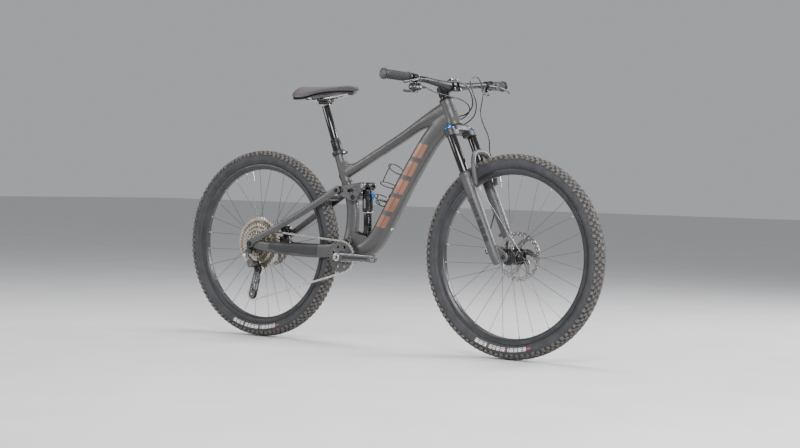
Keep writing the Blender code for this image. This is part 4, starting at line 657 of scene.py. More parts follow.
def hull_outline(circles, count=24):
    """The outline round a few (centre, radius) circles, like a belt round pulleys."""
    points = sorted({p for centre, radius in circles for p in circle(centre, radius, count)})

    def turn(o, a, b):
        return (a[0] - o[0]) * (b[1] - o[1]) - (a[1] - o[1]) * (b[0] - o[0])

    chains = []
    for order in (points, list(reversed(points))):
        chain = []
        for p in order:
            while len(chain) > 1 and turn(chain[-2], chain[-1], p) <= 0:
                chain.pop()
            chain.append(p)
        chains.append(chain[:-1])
    return chains[0] + chains[1]


def melted(shapes, voxel, smoothing, bores=()):
    """Overlapping shapes made one skin, with soft fillets where they meet, and bores cut through it."""
    obj = temporary(merged(*shapes))
    skin = obj.modifiers.new("skin", "REMESH")
    skin.mode = "VOXEL"
    skin.voxel_size = voxel
    soften = obj.modifiers.new("soften", "SMOOTH")
    soften.factor = 0.5
    soften.iterations = smoothing
    cutters = []
    for bore in bores:
        cutter = temporary(bore)
        cut = obj.modifiers.new("bore", "BOOLEAN")
        cut.operation = "DIFFERENCE"
        cut.solver = "MANIFOLD"
        cut.object = cutter
        cutters.append(cutter)
    shape = from_object(obj)
    for cutter in cutters:
        bpy.data.objects.remove(cutter)
    return shape


def strip_faces(steps):
    """The faces of a thin curved strip that has four points at each step."""
    faces = []
    for i in range(steps):
        a, b = 4 * i, 4 * i + 4
        faces += [[a, a + 2, b + 2, b], [a + 1, b + 1, b + 3, a + 3], [a, b, b + 1, a + 1],
                  [a + 2, a + 3, b + 3, b + 2]]
    return faces + [[0, 1, 3, 2], [4 * steps, 4 * steps + 2, 4 * steps + 3, 4 * steps + 1]]


def wrapped(start, direction, radius, low, high, first, last, lift=0.00012, steps=10):
    """A thin print that lies on a cylinder: heights low to high, angles first to last from +X towards +Y."""
    place = Matrix.Translation(start) @ facing(direction)
    flat = place.to_3x3().inverted() @ X_AXIS
    zero = atan2(flat.y, flat.x)
    points = []
    for i in range(steps + 1):
        turn = zero + first + (last - first) * i / steps
        for height in (low, high):
            for out in (lift, -0.0002):
                points.append(place @ Vector(((radius + out) * cos(turn), (radius + out) * sin(turn),
                                              height)))
    return points, strip_faces(steps)


# ---- materials in use ----
CAGE_BOLTS = ((0.06, 0.541), (0.0943, 0.5987))
CAGE_SEAT = 0.0375
DOWN_TUBE_UP = (side((0.115, 0.634)) - side((0.055, 0.533))).normalized()
CAGE_OUT = Vector((-DOWN_TUBE_UP.z, 0, DOWN_TUBE_UP.x))
# Where the copper bars begin and end, measured up the down tube from the lower cage bolt.
COPPER_BARS = ((-0.098, -0.046), (-0.026, 0.034), (0.052, 0.112), (0.132, 0.192), (0.212, 0.27))

FRAME_PAINT = frame_paint()
TYRE = tyre_rubber()
KNOBS = knob_rubber()
PRINT = plain("pale_print", (0.62, 0.62, 0.6), 0.6)
# Dark print for the rim, leg, seam and cap marks; its flat hexagons on the axle ends and its rings between
# the cassette's cogs are painted shade.
DARK_PRINT_AND_SHADE = plain("dark_print_and_shade", (0.012, 0.012, 0.013), 0.55)
GREY_PRINT = plain("grey_print", (0.13, 0.13, 0.135), 0.5)
RED_PRINT = plain("red_print", (0.42, 0.03, 0.03), 0.55)
RIM_BLACK = plain("rim_black", (0.042, 0.042, 0.045), 0.36, 0.5)
BLACK_ALLOY = plain("black_alloy", (0.018, 0.018, 0.02), 0.34, 0.7)
# Satin black anodising; its small discs on the brake blades, its hexagon in the air cap and its strip along
# each crank's face are painted shade for dimples, a recess and a channel.
SATIN_BLACK_AND_SHADE = plain("satin_black_and_shade", (0.02, 0.02, 0.021), 0.42, 0.3)
GREY_ALLOY = plain("grey_alloy", (0.105, 0.104, 0.106), 0.36, 0.85)
# Bright alloy; its thin strips along the cranks' edges, its ring on the headset cap and its plate on the
# derailleur's outer link are painted highlights.
BRIGHT_ALLOY_AND_HIGHLIGHT = plain("bright_alloy_and_highlight", (0.34, 0.33, 0.32), 0.3, 0.95)
SILVER = plain("silver_steel", (0.58, 0.56, 0.53), 0.26, 1.0)
DARK_NICKEL = plain("cassette_steel", (0.17, 0.155, 0.135), 0.34, 0.9, patch=60.0)
NICKEL = plain("cassette_nickel", (0.52, 0.46, 0.38), 0.3, 1.0, patch=60.0)
CHAIN_STEEL = plain("chain_steel", (0.64, 0.6, 0.54), 0.22, 1.0, patch=90.0)
# Black spokes coloured a lighter grey: the extra lightness is painted sheen for light reflected off them.
SPOKE_BLACK_WITH_SHEEN = plain("spoke_black_with_sheen", (0.1, 0.1, 0.105), 0.28, 0.8)
NIPPLE = plain("nipple_grey", (0.3, 0.3, 0.3), 0.35, 0.8)
ROTOR_STEEL = ground_steel()
STANCHION = plain("stanchion_black", (0.012, 0.011, 0.011), 0.12, 0.5, 0.4)
LOWERS = plain("lowers_paint", (0.05, 0.05, 0.052), 0.46, 0.1, 0.05)
BLUE = plain("blue_anodised", (0.03, 0.17, 0.52), 0.26, 0.9)
LEATHER = saddle_leather()
PLASTIC = plain("black_plastic", (0.016, 0.016, 0.017), 0.46)
HOSE = plain("hose_black", (0.014, 0.014, 0.014), 0.36)
GRIP = mottled("grip_rubber", (0.016, 0.016, 0.017), (0.026, 0.026, 0.027), 0.72, bump=0.25,
               grain=1300.0).material
SEAL = plain("seal_rubber", (0.013, 0.013, 0.013), 0.6)


# ---- wheels ----
CASING_RADIUS, CASING_HALF_WIDTH, CASING_HALF_HEIGHT = 0.341, 0.0292, 0.0258
TREAD_PITCHES = 100


def casing_point(turn, lift=0.0):
    """(radius, y) on the casing at an angle from its crown."""
    return (CASING_RADIUS + (CASING_HALF_HEIGHT + lift) * cos(turn), (CASING_HALF_WIDTH + lift) * sin(turn))


def wheel_point(hub, radius, y, angle):
    return hub + Vector((radius * cos(angle), y, radius * sin(angle)))


def knob(hub, angle, across, length, width, height, skew=0.0):
    """One tread block, a tapered prism on the casing.

    across is its angle from the casing's crown, and its length runs round the wheel.
    """
    radius, y = casing_point(across)
    up = Vector((cos(across) * cos(angle), sin(across), cos(across) * sin(angle)))
    ahead = Vector((-sin(angle), 0, cos(angle)))
    over = ahead.cross(up)
    base = wheel_point(hub, radius, y, angle)
    points = []
    for level, shrink in ((-0.0012, 1.12), (height - 0.0005, 1.0), (height, 0.86)):
        for a, b in ((-1, -1), (1, -1), (1, 1), (-1, 1)):
            slide = skew * b * length / 2
            forwards, sideways = a * length / 2 * shrink + slide, b * width / 2 * shrink
            points.append(base + up * level + ahead * forwards + over * sideways)
    faces = [[0, 1, 2, 3], [8, 9, 10, 11]]
    for low in (0, 4):
        faces += [[low + k, low + (k + 1) % 4, low + 4 + (k + 1) % 4, low + 4 + k] for k in range(4)]
    return points, faces


def tread(hub):
    blocks = []
    step = 2 * pi / TREAD_PITCHES
    for i in range(TREAD_PITCHES):
        angle = i * step
        even = i % 2 == 0
        for hand in (-1, 1):
            centre = 0.17 if even else 0.25
            blocks.append(knob(hub, angle, hand * centre, 0.013, 0.0112 if even else 0.0092, 0.0042,
                               0.25 * hand))
            half = angle + step / 2
            blocks.append(knob(hub, half, hand * 0.58, 0.012 if even else 0.01, 0.0098, 0.005, -0.3 * hand))
            blocks.append(knob(hub, angle, hand * (1.00 if even else 0.94), 0.0115,
                               0.0118 if even else 0.01, 0.0076))
    return merged(*blocks)


def sidewall_print(hub, hand, first, last, across, width):
    """A plain printed dash on the sidewall, from one wheel angle to another."""
    points, faces = [], []
    steps = max(2, round((last - first) / 0.03))
    for i in range(steps + 1):
        angle = first + (last - first) * i / steps
        for a in (across - width / 2, across, across + width / 2):
            for lift in (0.00025, -0.0004):
                radius, y = casing_point(a, lift)
                points.append(wheel_point(hub, radius, hand * y, angle))
    for i in range(steps):
        a, b = 6 * i, 6 * i + 6
        faces += [[a, a + 2, b + 2, b], [a + 2, a + 4, b + 4, b + 2], [a + 1, b + 1, b + 3, a + 3],
                  [a + 3, b + 3, b + 5, a + 5], [a, b, b + 1, a + 1], [a + 4, a + 5, b + 5, b + 4]]
    for a in (0, 6 * steps):
        faces += [[a, a + 1, a + 3, a + 2], [a + 2, a + 3, a + 5, a + 4]]
    return points, faces


# The spans, as wheel angles, of the plain dashes on a sidewall; 0 stands for a small red one.
PRINT_DASHES = (0.048, 0.046, 0.04, 0.0, 0.038, 0.036, 0.046, 0.052, 0.0, 0.018, 0.044, 0.044, 0.044, 0.04)
PRINT_GAP = 0.011


def tyre(name, hub, body, print_start):
    half = [casing_point(radians(a)) for a in range(0, 141, 6)]
    rings = ((0.3312, 0.0268), (0.328, 0.0252), (0.3225, 0.0205))
    side_wall = half[:-3] + [(rings[0][0] + 0.001, rings[0][1]), rings[0], rings[1], rings[2], (0.318, 0.015),
                             (0.3118, 0.0146)]
    profile = side_wall + [(radius, -y) for radius, y in reversed(side_wall[1:])]
    piece = Piece(name)
    piece.add(lathe(profile, hub, Y_AXIS, 160, 0), TYRE)
    piece.add(tread(hub), KNOBS)
    for number in range(3):
        radius, y = casing_point(radians(112 + 5 * number), 0.0)
        for hand in (-1, 1):
            line = [wheel_point(hub, radius, hand * y, 2 * pi * k / 120) for k in range(120)]
            piece.add(tube(line, 0.00035, 4, True), TYRE)
    angle = print_start
    for span in PRINT_DASHES:
        if span:
            piece.add(sidewall_print(hub, -1, angle, angle + span, radians(107), radians(32)), PRINT)
        else:
            piece.add(sidewall_print(hub, -1, angle, angle + PRINT_GAP, radians(107), radians(18)), RED_PRINT)
        angle += (span or PRINT_GAP) + PRINT_GAP
    piece.add(sidewall_print(hub, -1, angle, angle + 0.05, radians(104), radians(12)), RED_PRINT)
    piece.build(body, [name], "tyre_rubber")


NIPPLE_PROFILE = [(0, 0), (0.0032, 0), (0.003, 0.0011), (0.0021, 0.0016), (0.0019, 0.0105), (0.0013, 0.0114),
                  (0, 0.0114)]


def rim(name, hub, body, valve_angle):
    lip = 0.3168
    well = [(0.3108, 0.0), (0.3108, 0.013), (0.3118, 0.0154), (lip, 0.0156)]
    wall = [(lip, 0.0172), (lip - 0.0006, RIM_HALF_WIDTH), (0.306, RIM_HALF_WIDTH), (0.2985, 0.0125),
            (0.2955, 0.0085), (RIM_INNER_RADIUS, 0.0)]
    profile = well + wall
    profile += [(r, -y) for r, y in reversed(profile[1:-1])]
    piece = Piece(name)
    piece.add(lathe(profile, hub, Y_AXIS, 160, 0.0006), RIM_BLACK)
    for number in range(4):
        for first, last in ((0.1, 0.34), (0.38, 0.5)):
            for hand in (-1, 1):
                start = number * pi / 2 + 0.2
                piece.add(rim_print(hub, hand, start + first, start + last), DARK_PRINT_AND_SHADE)
    for number, angle in enumerate(around(SPOKES, 0.5)):
        lean = 0.004 * (1 if number % 2 else -1)
        foot = wheel_point(hub, RIM_INNER_RADIUS + 0.0008, lean * 0.6, angle)
        tip = wheel_point(hub, RIM_INNER_RADIUS - 0.0105, lean, angle)
        piece.add(lathe(NIPPLE_PROFILE, foot, tip - foot, 8, 0), NIPPLE)
    valve = [(0, 0), (0.0052, 0), (0.0052, 0.003), (0.003, 0.0036), (0.0029, 0.03), (0.0024, 0.031),
             (0.0024, 0.038), (0.0014, 0.039), (0.0014, 0.042), (0, 0.042)]
    foot = wheel_point(hub, RIM_INNER_RADIUS + 0.001, 0, valve_angle)
    piece.add(lathe(valve, foot, (hub - foot).normalized(), 12, 0.0003), SILVER)
    piece.build(body, [name], "rim_black")


def rim_print(hub, hand, first, last):
    """A plain dark print on the rim's side."""
    points = []
    steps = 8
    for i in range(steps + 1):
        angle = first + (last - first) * i / steps
        for radius in (0.3135, 0.3075):
            for out in (0.00015, -0.0003):
                points.append(wheel_point(hub, radius, hand * (RIM_HALF_WIDTH + out), angle))
    return points, strip_faces(steps)


def spokes(hub, flange_radius, left_y, right_y):
    """All spokes of a wheel, each with its bent head behind the flange."""
    wires = []
    per_side = SPOKES // 2
    for number, rim_angle in enumerate(around(SPOKES, 0.5)):
        leading = 1 if (number // 2) % 2 else -1
        flange_y = left_y if number % 2 else right_y
        hand = 1 if flange_y > 0 else -1
        flange_angle = rim_angle + leading * 2 * pi * (CROSSES + 0.25) / per_side
        lean = 0.0022 * leading
        start = wheel_point(hub, flange_radius, flange_y + lean, flange_angle)
        end = wheel_point(hub, RIM_INNER_RADIUS - 0.0095, 0.004 * hand, rim_angle)
        ahead = (end - start).normalized()
        head = start - Y_AXIS * lean * 2.1
        route = [head, start - Y_AXIS * lean * 0.25, start + ahead * 0.0015, start + ahead * 0.004]
        wires.append(tube(route, 0.00115, 6))
        wires.append(tube([start + ahead * 0.003, start + ahead * 0.03, end - ahead * 0.03, end],
                          [0.00115, 0.0009, 0.0009, 0.00105], 6))
        wires.append(lathe([(0, 0), (0.002, 0), (0.0016, 0.001), (0, 0.0012)],
                           head, Y_AXIS * (-1 if lean > 0 else 1), 8, 0))
    return merged(*wires)


def rotor_window(base, pitch):
    """The points, as (radius, angle), of the window between two arms of a brake disc."""
    outer, inner = 0.0735, 0.032
    flank = [k / 8 for k in range(1, 8)]
    points = [(outer + 0.0008 * sin(share * pi), base + pitch * (0.12 + 0.76 * share))
              for share in (k / 12 for k in range(13))]
    points += [(outer - 0.0415 * share, base + pitch * (0.88 + 0.35 * share)) for share in flank]
    points += [(inner, base + pitch * (1.23 - 0.37 * share)) for share in (k / 6 for k in range(7))]
    points += [(inner + 0.0415 * share, base + pitch * (0.86 - 0.74 * share ** 1.15)) for share in flank]
    return points


def rotor_shape(hub, y, spider_hole):
    """A brake disc: a drilled, slightly waved ring on six curved arms."""
    centre = (hub.x, hub.z)
    outer = [polar(centre, ROTOR_RADIUS - 0.0007 + 0.0007 * cos(angle * 24), angle) for angle in around(216)]
    outlines = [outer, circle(centre, spider_hole, 36)]
    arms = 6
    for base in around(arms):
        outlines.append([polar(centre, r, a) for r, a in rotor_window(base, 2 * pi / arms)])
    for angle in around(28, 0.25):
        for radius, shift in ((0.0855, 0.0), (0.0788, 0.09)):
            outlines.append(circle(polar(centre, radius, angle + shift), 0.0019, 8))
    return plate(outlines, 0.0009, y, 0.00015)


def rotor(name, hub, y, body, spider_hole):
    piece = Piece(name)
    piece.add(rotor_shape(hub, y, spider_hole), ROTOR_STEEL)
    spider = lathe(ring(0.016, 0.03, -0.0011, 0.0024), hub + Y_AXIS * (y - 0.0032), Y_AXIS, 48, 0.0005)
    piece.add(spider, BLACK_ALLOY)
    for angle in around(6):
        spot = wheel_point(hub, 0.0245, y + 0.0009, angle + 0.3)
        piece.add(bolt(spot, Y_AXIS, 0.0034, 0.0022), SILVER)
        rivet = wheel_point(hub, 0.0335, y, angle + 0.3 + 0.34)
        piece.add(crosswise(rivet, 0.0022, 0.003, 12), SILVER)
    piece.build(body, [name], "steel")


def hub(name, axle, half, right_flange, left_flange, flange_radius, body, rear=False):
    """The hub shell with two flanges, its end caps and seals, and the spokes."""
    edge = flange_radius + 0.0042
    waist = 0.0135
    profile = [(0.008, -half + 0.01), (0.0165, -half + 0.01), (0.0172, right_flange - 0.0075),
               (0.0185, right_flange - 0.005), (edge, right_flange - 0.0015), (edge, right_flange + 0.0015),
               (0.019, right_flange + 0.005), (waist, right_flange + 0.011), (waist - 0.0012, 0.0),
               (waist, left_flange - 0.011), (0.019, left_flange - 0.005), (edge, left_flange - 0.0015),
               (edge, left_flange + 0.0015), (0.0185, left_flange + 0.005), (0.0172, left_flange + 0.0075),
               (0.0165, half - 0.008), (0.008, half - 0.008)]
    piece = Piece(name)
    piece.add(lathe(profile, axle, Y_AXIS, 48, 0.0006), BLACK_ALLOY)
    for hand in (-1, 1):
        piece.add(lathe(ring(0.0078, 0.0125, 0, 0.0102), axle + Y_AXIS * hand * half, Y_AXIS * -hand, 32),
                  SATIN_BLACK_AND_SHADE)
        piece.add(lathe(ring(0.0078, 0.0152, 0.0075, 0.0105), axle + Y_AXIS * hand * half, Y_AXIS * -hand,
                        32), GREY_ALLOY)
    if rear:
        freehub = ring(0.008, 0.0168, SMALLEST_COG_Y - 0.002, -0.026)
        piece.add(lathe(freehub, axle, Y_AXIS, 36), GREY_ALLOY)
    piece.add(spokes(axle, flange_radius, left_flange, right_flange), SPOKE_BLACK_WITH_SHEEN)
    piece.build(body, [name], "black_alloy")


def front_wheel():
    tyre("front_tyre", FRONT_AXLE, "front_wheel", radians(-114))
    rim("front_rim", FRONT_AXLE, "front_wheel", 2 * pi * 8 / SPOKES)
    hub("front_hub", FRONT_AXLE, FRONT_HUB_HALF, -0.034, 0.022, 0.025, "front_wheel")
    rotor("front_rotor", FRONT_AXLE, FRONT_ROTOR_Y, "front_wheel", 0.017)


def rear_wheel():
    tyre("rear_tyre", REAR_AXLE, "rear_wheel", radians(-112))
    rim("rear_rim", REAR_AXLE, "rear_wheel", 2 * pi * 8 / SPOKES)
    hub("rear_hub", REAR_AXLE, REAR_HUB_HALF, -0.0205, 0.034, 0.027, "rear_wheel", rear=True)
    rotor("rear_rotor", REAR_AXLE, REAR_ROTOR_Y, "rear_wheel", 0.017)


# ---- frame ----
PORT_PLACES = ((0.276, 0.878), (0.262, 0.862), (0.246, 0.846))
PORT_Y = 0.036
DOWN_TUBE = [(side((-0.15, 0.345)), 0.026, 0.03), (side((-0.095, 0.36)), 0.034, 0.031),
             (side((-0.052, 0.381)), 0.036, 0.03), (side((-0.01, 0.424)), 0.035, 0.03),
             (side((0.055, 0.533)), 0.035, 0.029), (side((0.115, 0.634)), 0.035, 0.028),
             (side((0.168, 0.718)), 0.036, 0.026), (side((0.215, 0.785)), 0.037, 0.024),
             (side((0.262, 0.838)), 0.038, 0.023), (side((0.296, 0.872)), 0.03, 0.022)]
TOP_TUBE = [(side((-0.205, 0.64)), 0.013, 0.014), (side((-0.16, 0.664)), 0.018, 0.017),
            (side((-0.085, 0.704)), 0.0175, 0.019), (side((0.075, 0.791)), 0.018, 0.02),
            (side((0.155, 0.838)), 0.02, 0.021), (side((0.215, 0.868)), 0.027, 0.022),
            (side((0.27, 0.893)), 0.033, 0.022), (side((0.296, 0.904)), 0.028, 0.021)]
SEAT_MAST = [(side((-0.152, 0.345)), 0.024, 0.03), (side((-0.15, 0.4)), 0.025, 0.0285),
             (side((-0.143, 0.45)), 0.025, 0.022), (side((-0.141, 0.51)), 0.025, 0.021),
             (side((-0.15, 0.562)), 0.024, 0.021), (side((-0.172, 0.62)), 0.0225, 0.021)]
GUSSET = [(-0.19, 0.69), (-0.212, 0.714), (-0.205, 0.714), (-0.188, 0.704), (-0.165, 0.693), (-0.12, 0.7),
          (-0.13, 0.675), (-0.18, 0.65)]
FOOT_LUG = [(-0.128, 0.437), (-0.09, 0.424), (-0.0685, 0.423), (-0.054, 0.415), (-0.05, 0.4), (-0.04, 0.38),
            (-0.12, 0.36)]


def main_frame():
    lower, upper = fork(AXLE_TO_CROWN, -FORK_OFFSET), fork(HEAD_TOP, -FORK_OFFSET)
    length = HEAD_TOP - AXLE_TO_CROWN
    head = lathe([(0, 0), (0.0285, 0), (0.029, 0.012), (0.0258, 0.03), (0.025, 0.05), (0.025, length - 0.014),
                  (0.0265, length), (0, length)], lower, STEER_UP, 48)
    seat = lathe([(0, -0.15), (0.0215, -0.15), (0.02, -0.06), (0.0198, -0.012), (0, -0.012)], POST_FOOT,
                 POST_UP, 40)
    shell = crosswise(BOTTOM_BRACKET, 0.0365, 0.0265, 40)
    bosses = [crosswise(side(MAIN_PIVOT), 0.0325, 0.015, 28), crosswise(side(ROCKER_PIVOT), 0.028, 0.013, 28)]
    skin = [head, loft(DOWN_TUBE, 32, 3.0), loft(TOP_TUBE, 32, 2.6), loft(SEAT_MAST, 32, 2.4), seat,
            plate([GUSSET], 0.015, 0, 0.004), shell, *bosses]
    bores = [rod(lower - STEER_UP * 0.02, upper + STEER_UP * 0.02, 0.0212, 48, 0),
             rod(POST_FOOT - POST_UP * 0.185, POST_FOOT + POST_UP * 0.02, 0.0178, 40, 0),
             crosswise(BOTTOM_BRACKET, 0.05, 0.0218, 40, 0),
             crosswise(side(MAIN_PIVOT), 0.05, 0.0058, 24, 0),
             crosswise(side(ROCKER_PIVOT), 0.05, 0.0058, 24, 0)]
    piece = Piece("main_frame")
    piece.add(melted(skin, 0.0024, 7, bores), FRAME_PAINT)
    for y in (-0.0215, 0.0215):
        piece.add(plate([FOOT_LUG], 0.004, y, 0.0008), FRAME_PAINT)
    for place in PORT_PLACES:
        start = side(place, 0.012)
        piece.add(lathe([(0, 0), (0.006, 0), (0.0056, PORT_Y - 0.0145), (0.004, PORT_Y - 0.012),
                         (0, PORT_Y - 0.012)], start, Y_AXIS, 20), SEAL)
    for place in CAGE_BOLTS:
        foot = side(place) + CAGE_OUT * 0.03
        piece.add(rod(foot, side(place) + CAGE_OUT * 0.0372, 0.006, 20), BLACK_ALLOY)
    for place in ((0.061, 0.448), (0.066, 0.452)):
        button = [(0, 0), (0.0042, 0), (0.0036, 0.0016), (0, 0.0018)]
        piece.add(lathe(button, side(place, -0.024), -Y_AXIS, 16), SILVER)
    piece.build("frame", ["main_frame"], "frame_paint", 50)


def headset():
    base = fork(HEAD_TOP + 0.0003, -FORK_OFFSET)
    piece = Piece("headset_upper")
    piece.add(lathe([(0.0147, 0), (0.0262, 0), (0.0262, 0.0022), (0.025, 0.006), (0.018, 0.0076),
                     (0.0178, 0.015), (0.0147, 0.015)], base, STEER_UP, 48, 0.0005), BLACK_ALLOY)
    # A thin bright ring round the cap: painted highlight.
    piece.add(lathe([(0.0176, 0.0105), (0.0181, 0.0105), (0.0181, 0.011), (0.0176, 0.011)], base, STEER_UP,
                    48, 0),
              BRIGHT_ALLOY_AND_HIGHLIGHT)
    piece.build("frame", ["headset_upper"], "black_alloy")


def bottom_bracket():
    piece = Piece("bottom_bracket")
    cups = [(0.0125, -0.044), (0.0232, -0.044), (0.024, -0.043), (0.024, -0.0368), (0.0215, -0.0368),
            (0.0215, 0.0368), (0.024, 0.0368), (0.024, 0.043), (0.0232, 0.044), (0.0125, 0.044)]
    piece.add(lathe(cups, BOTTOM_BRACKET, Y_AXIS, 40), BLACK_ALLOY)
    for hand in (-1, 1):
        for angle in around(16):
            spot = wheel_point(BOTTOM_BRACKET, 0.024, hand * 0.0399, angle)
            tangent = Vector((-sin(angle), 0, cos(angle)))
            turn = Matrix((tangent, Y_AXIS, Vector((cos(angle), 0, sin(angle))))).transposed().to_4x4()
            piece.add(block((0.0035, 0.0055, 0.0012), spot, bevel=0.0003, segments=1, turn=turn), BLACK_ALLOY)
    piece.build("frame", ["bottom_bracket"], "black_alloy")


CAGE_WIRE = 0.0032
BOTTLE_RADIUS = 0.037


def cage_point(up, out, y=0.0):
    """A point of the bottle cage: up along the down tube from its lower bolt, and out from the tube."""
    return side(CAGE_BOLTS[0], y) + DOWN_TUBE_UP * up + CAGE_OUT * (CAGE_SEAT + out)


def cage_band(near_up, far_up, reach, radius=CAGE_WIRE):
    """A closed band round the bottle, leaning from near_up at the tube to far_up on the far side."""
    route = []
    for angle in (2 * pi * step / 48 for step in range(48)):
        share = (1 - cos(angle)) / 2
        route.append(cage_point(near_up + (far_up - near_up) * share, CAGE_WIRE + reach * share,
                                BOTTLE_RADIUS * sin(angle)))
    return tube(route, radius, 12, True)


def bottle_cage():
    spine = smooth_route([cage_point(0.043, CAGE_WIRE + 0.058), cage_point(0.08, CAGE_WIRE + 0.061),
                          cage_point(0.122, CAGE_WIRE + 0.06)], 6)
    strap = [cage_point(up, CAGE_WIRE * 0.9) for up in (-0.034, -0.03, 0.0, 0.07, 0.112, 0.116)]
    thin = CAGE_WIRE * 0.72
    body = [cage_band(-0.03, -0.022, 0.034, thin), cage_band(-0.012, -0.012, 0.056, thin),
            cage_band(0.05, 0.043, 0.058, thin), cage_band(0.112, 0.122, 0.06, thin), tube(spine, thin, 12),
            tube(strap, [0.0026, 0.0048, 0.0052, 0.005, 0.0044, 0.0026], 16, flat=0.6)]
    for hand in (-1, 1):
        wall = smooth_route([cage_point(-0.026, 0.01, hand * 0.026), cage_point(-0.012, 0.026, hand * 0.0365),
                             cage_point(0.006, 0.03, hand * 0.037)], 5)
        body.append(tube(wall, CAGE_WIRE * 0.9, 10))
    piece = Piece("bottle_cage")
    piece.add(melted(body, 0.0011, 4), PLASTIC)
    for place in CAGE_BOLTS:
        piece.add(bolt(side(place) + CAGE_OUT * (CAGE_SEAT + 0.005), CAGE_OUT, 0.0042, 0.0028), SILVER)
    piece.build("frame", ["bottle_cage"], "black_plastic", 50)


# ---- rear suspension ----
ROCKER_PLATE_Y = 0.0345
ROCKER_PLATE_HALF = 0.0035


def pivot_cap(point, y, hand, radius=0.0095):
    """The head of a pivot bolt, with a ring and a recess."""
    place = side(point, hand * y)
    return merged(lathe([(0.0045, 0), (radius, 0), (radius, 0.0014), (radius * 0.78, 0.0028),
                         (0.0045, 0.0028)], place,
                        Y_AXIS * hand, 32, 0.0004),
                  lathe(ring(0, 0.005, 0, 0.0012), place, Y_AXIS * hand, 6, 0))


def rocker():
    corners = (STAY_PIVOT, ROCKER_PIVOT, SHOCK_TOP)
    outline = hull_outline([(STAY_PIVOT, 0.0145), (ROCKER_PIVOT, 0.014), (SHOCK_TOP, 0.0135)])
    middle = [sum(p[k] for p in corners) / 3 for k in (0, 1)]
    window = hull_outline([((middle[0] + (p[0] - middle[0]) * 0.32,
                             middle[1] + 0.002 + (p[1] - middle[1]) * 0.42),
                            0.002) for p in corners], 10)
    dish = hull_outline([((middle[0] + (p[0] - middle[0]) * 0.62,
                           middle[1] + 0.001 + (p[1] - middle[1]) * 0.62),
                          0.004) for p in corners], 16)
    piece = Piece("rocker")
    for hand in (-1, 1):
        piece.add(plate([outline, window], ROCKER_PLATE_HALF - 0.0008, hand * (ROCKER_PLATE_Y - 0.0008),
                        0.0008), GREY_ALLOY)
        piece.add(plate([outline, dish], 0.0009, hand * (ROCKER_PLATE_Y + 0.0026), 0.0006), GREY_ALLOY)
        reach = ROCKER_PLATE_Y + ROCKER_PLATE_HALF
        piece.add(pivot_cap(ROCKER_PIVOT, reach, hand), BLACK_ALLOY)
        piece.add(pivot_cap(SHOCK_TOP, reach, hand, 0.008), BRIGHT_ALLOY_AND_HIGHLIGHT)
        piece.add(rod(side(STAY_PIVOT, hand * ROCKER_PLATE_Y), side(STAY_PIVOT, hand * 0.051), 0.0045, 20),
                  BLACK_ALLOY)
        piece.add(lathe(ring(0.001, 0.0072, 0.0, 0.0016), side(STAY_PIVOT, hand * 0.05), Y_AXIS * hand, 28),
                  BLACK_ALLOY)
    piece.add(crosswise(side(ROCKER_PIVOT), 0.038, 0.0055, 24), BLACK_ALLOY)
    piece.add(crosswise(side(SHOCK_TOP), 0.038, 0.0045, 24), BLACK_ALLOY)
    piece.build("rocker", ["rocker"], "grey_alloy")


def upper_stay(hand):
    stations = ((-0.56, 0.388, 0.0852, 0.012, 0.004), (-0.5, 0.419, 0.0815, 0.0125, 0.006),
                (-0.38, 0.484, 0.06, 0.013, 0.0075), (-0.28, 0.541, 0.05, 0.014, 0.0065),
                (-0.215, 0.58, 0.0455, 0.015, 0.0042), (-0.178, 0.6, 0.0455, 0.0145, 0.0038))
    dropout = (REAR_AXLE + Y_AXIS * hand * 0.0845, 0.013, 0.0035)
    return [dropout] + [(side((x, z), hand * y), depth, width) for x, z, y, depth, width in stations]


def seatstays():
    skin = []
    for hand in (-1, 1):
        skin.append(loft(upper_stay(hand), 24, 2.8))
        skin.append(rod(REAR_AXLE + Y_AXIS * hand * 0.0812, REAR_AXLE + Y_AXIS * hand * 0.0878, 0.0165, 32))
    skin.append(block((0.016, 0.094, 0.019), (-0.252, 0, 0.56), radians(-28), 0.004))
    bores = [crosswise(side(STAY_PIVOT), 0.09, 0.0085, 32, 0), crosswise(REAR_AXLE, 0.12, 0.0063, 24, 0)]
    piece = Piece("seatstays")
    piece.add(melted(skin, 0.0017, 5, bores), FRAME_PAINT)
    for hand in (-1, 1):
        piece.add(lathe(ring(0.0066, 0.0096, 0.0, 0.0014), REAR_AXLE + Y_AXIS * hand * 0.0874, Y_AXIS * hand,
                        32, 0.0003), GREY_ALLOY)
    piece.build("seatstays", ["seatstays"], "frame_paint", 50)


def lower_stay(hand):
    stations = ((-0.575, 0.369, 0.0776, 0.016, 0.003), (-0.545, 0.365, 0.077, 0.017, 0.0045),
                (-0.48, 0.358, 0.068, 0.021, 0.008), (-0.39, 0.354, 0.056, 0.024, 0.008),
                (-0.29, 0.354, 0.044, 0.026, 0.0055), (-0.215, 0.36, 0.0395, 0.025, 0.0048),
                (-0.17, 0.383, 0.039, 0.017, 0.0045), (-0.14, 0.395, 0.0385, 0.014, 0.004))
    return [(side((x, z), hand * y), depth, width) for x, z, y, depth, width in stations]


HANGER = [(-0.602, 0.372), (-0.578, 0.372), (-0.581, 0.35), (-0.586, 0.332), (-0.604, 0.33), (-0.609, 0.35)]


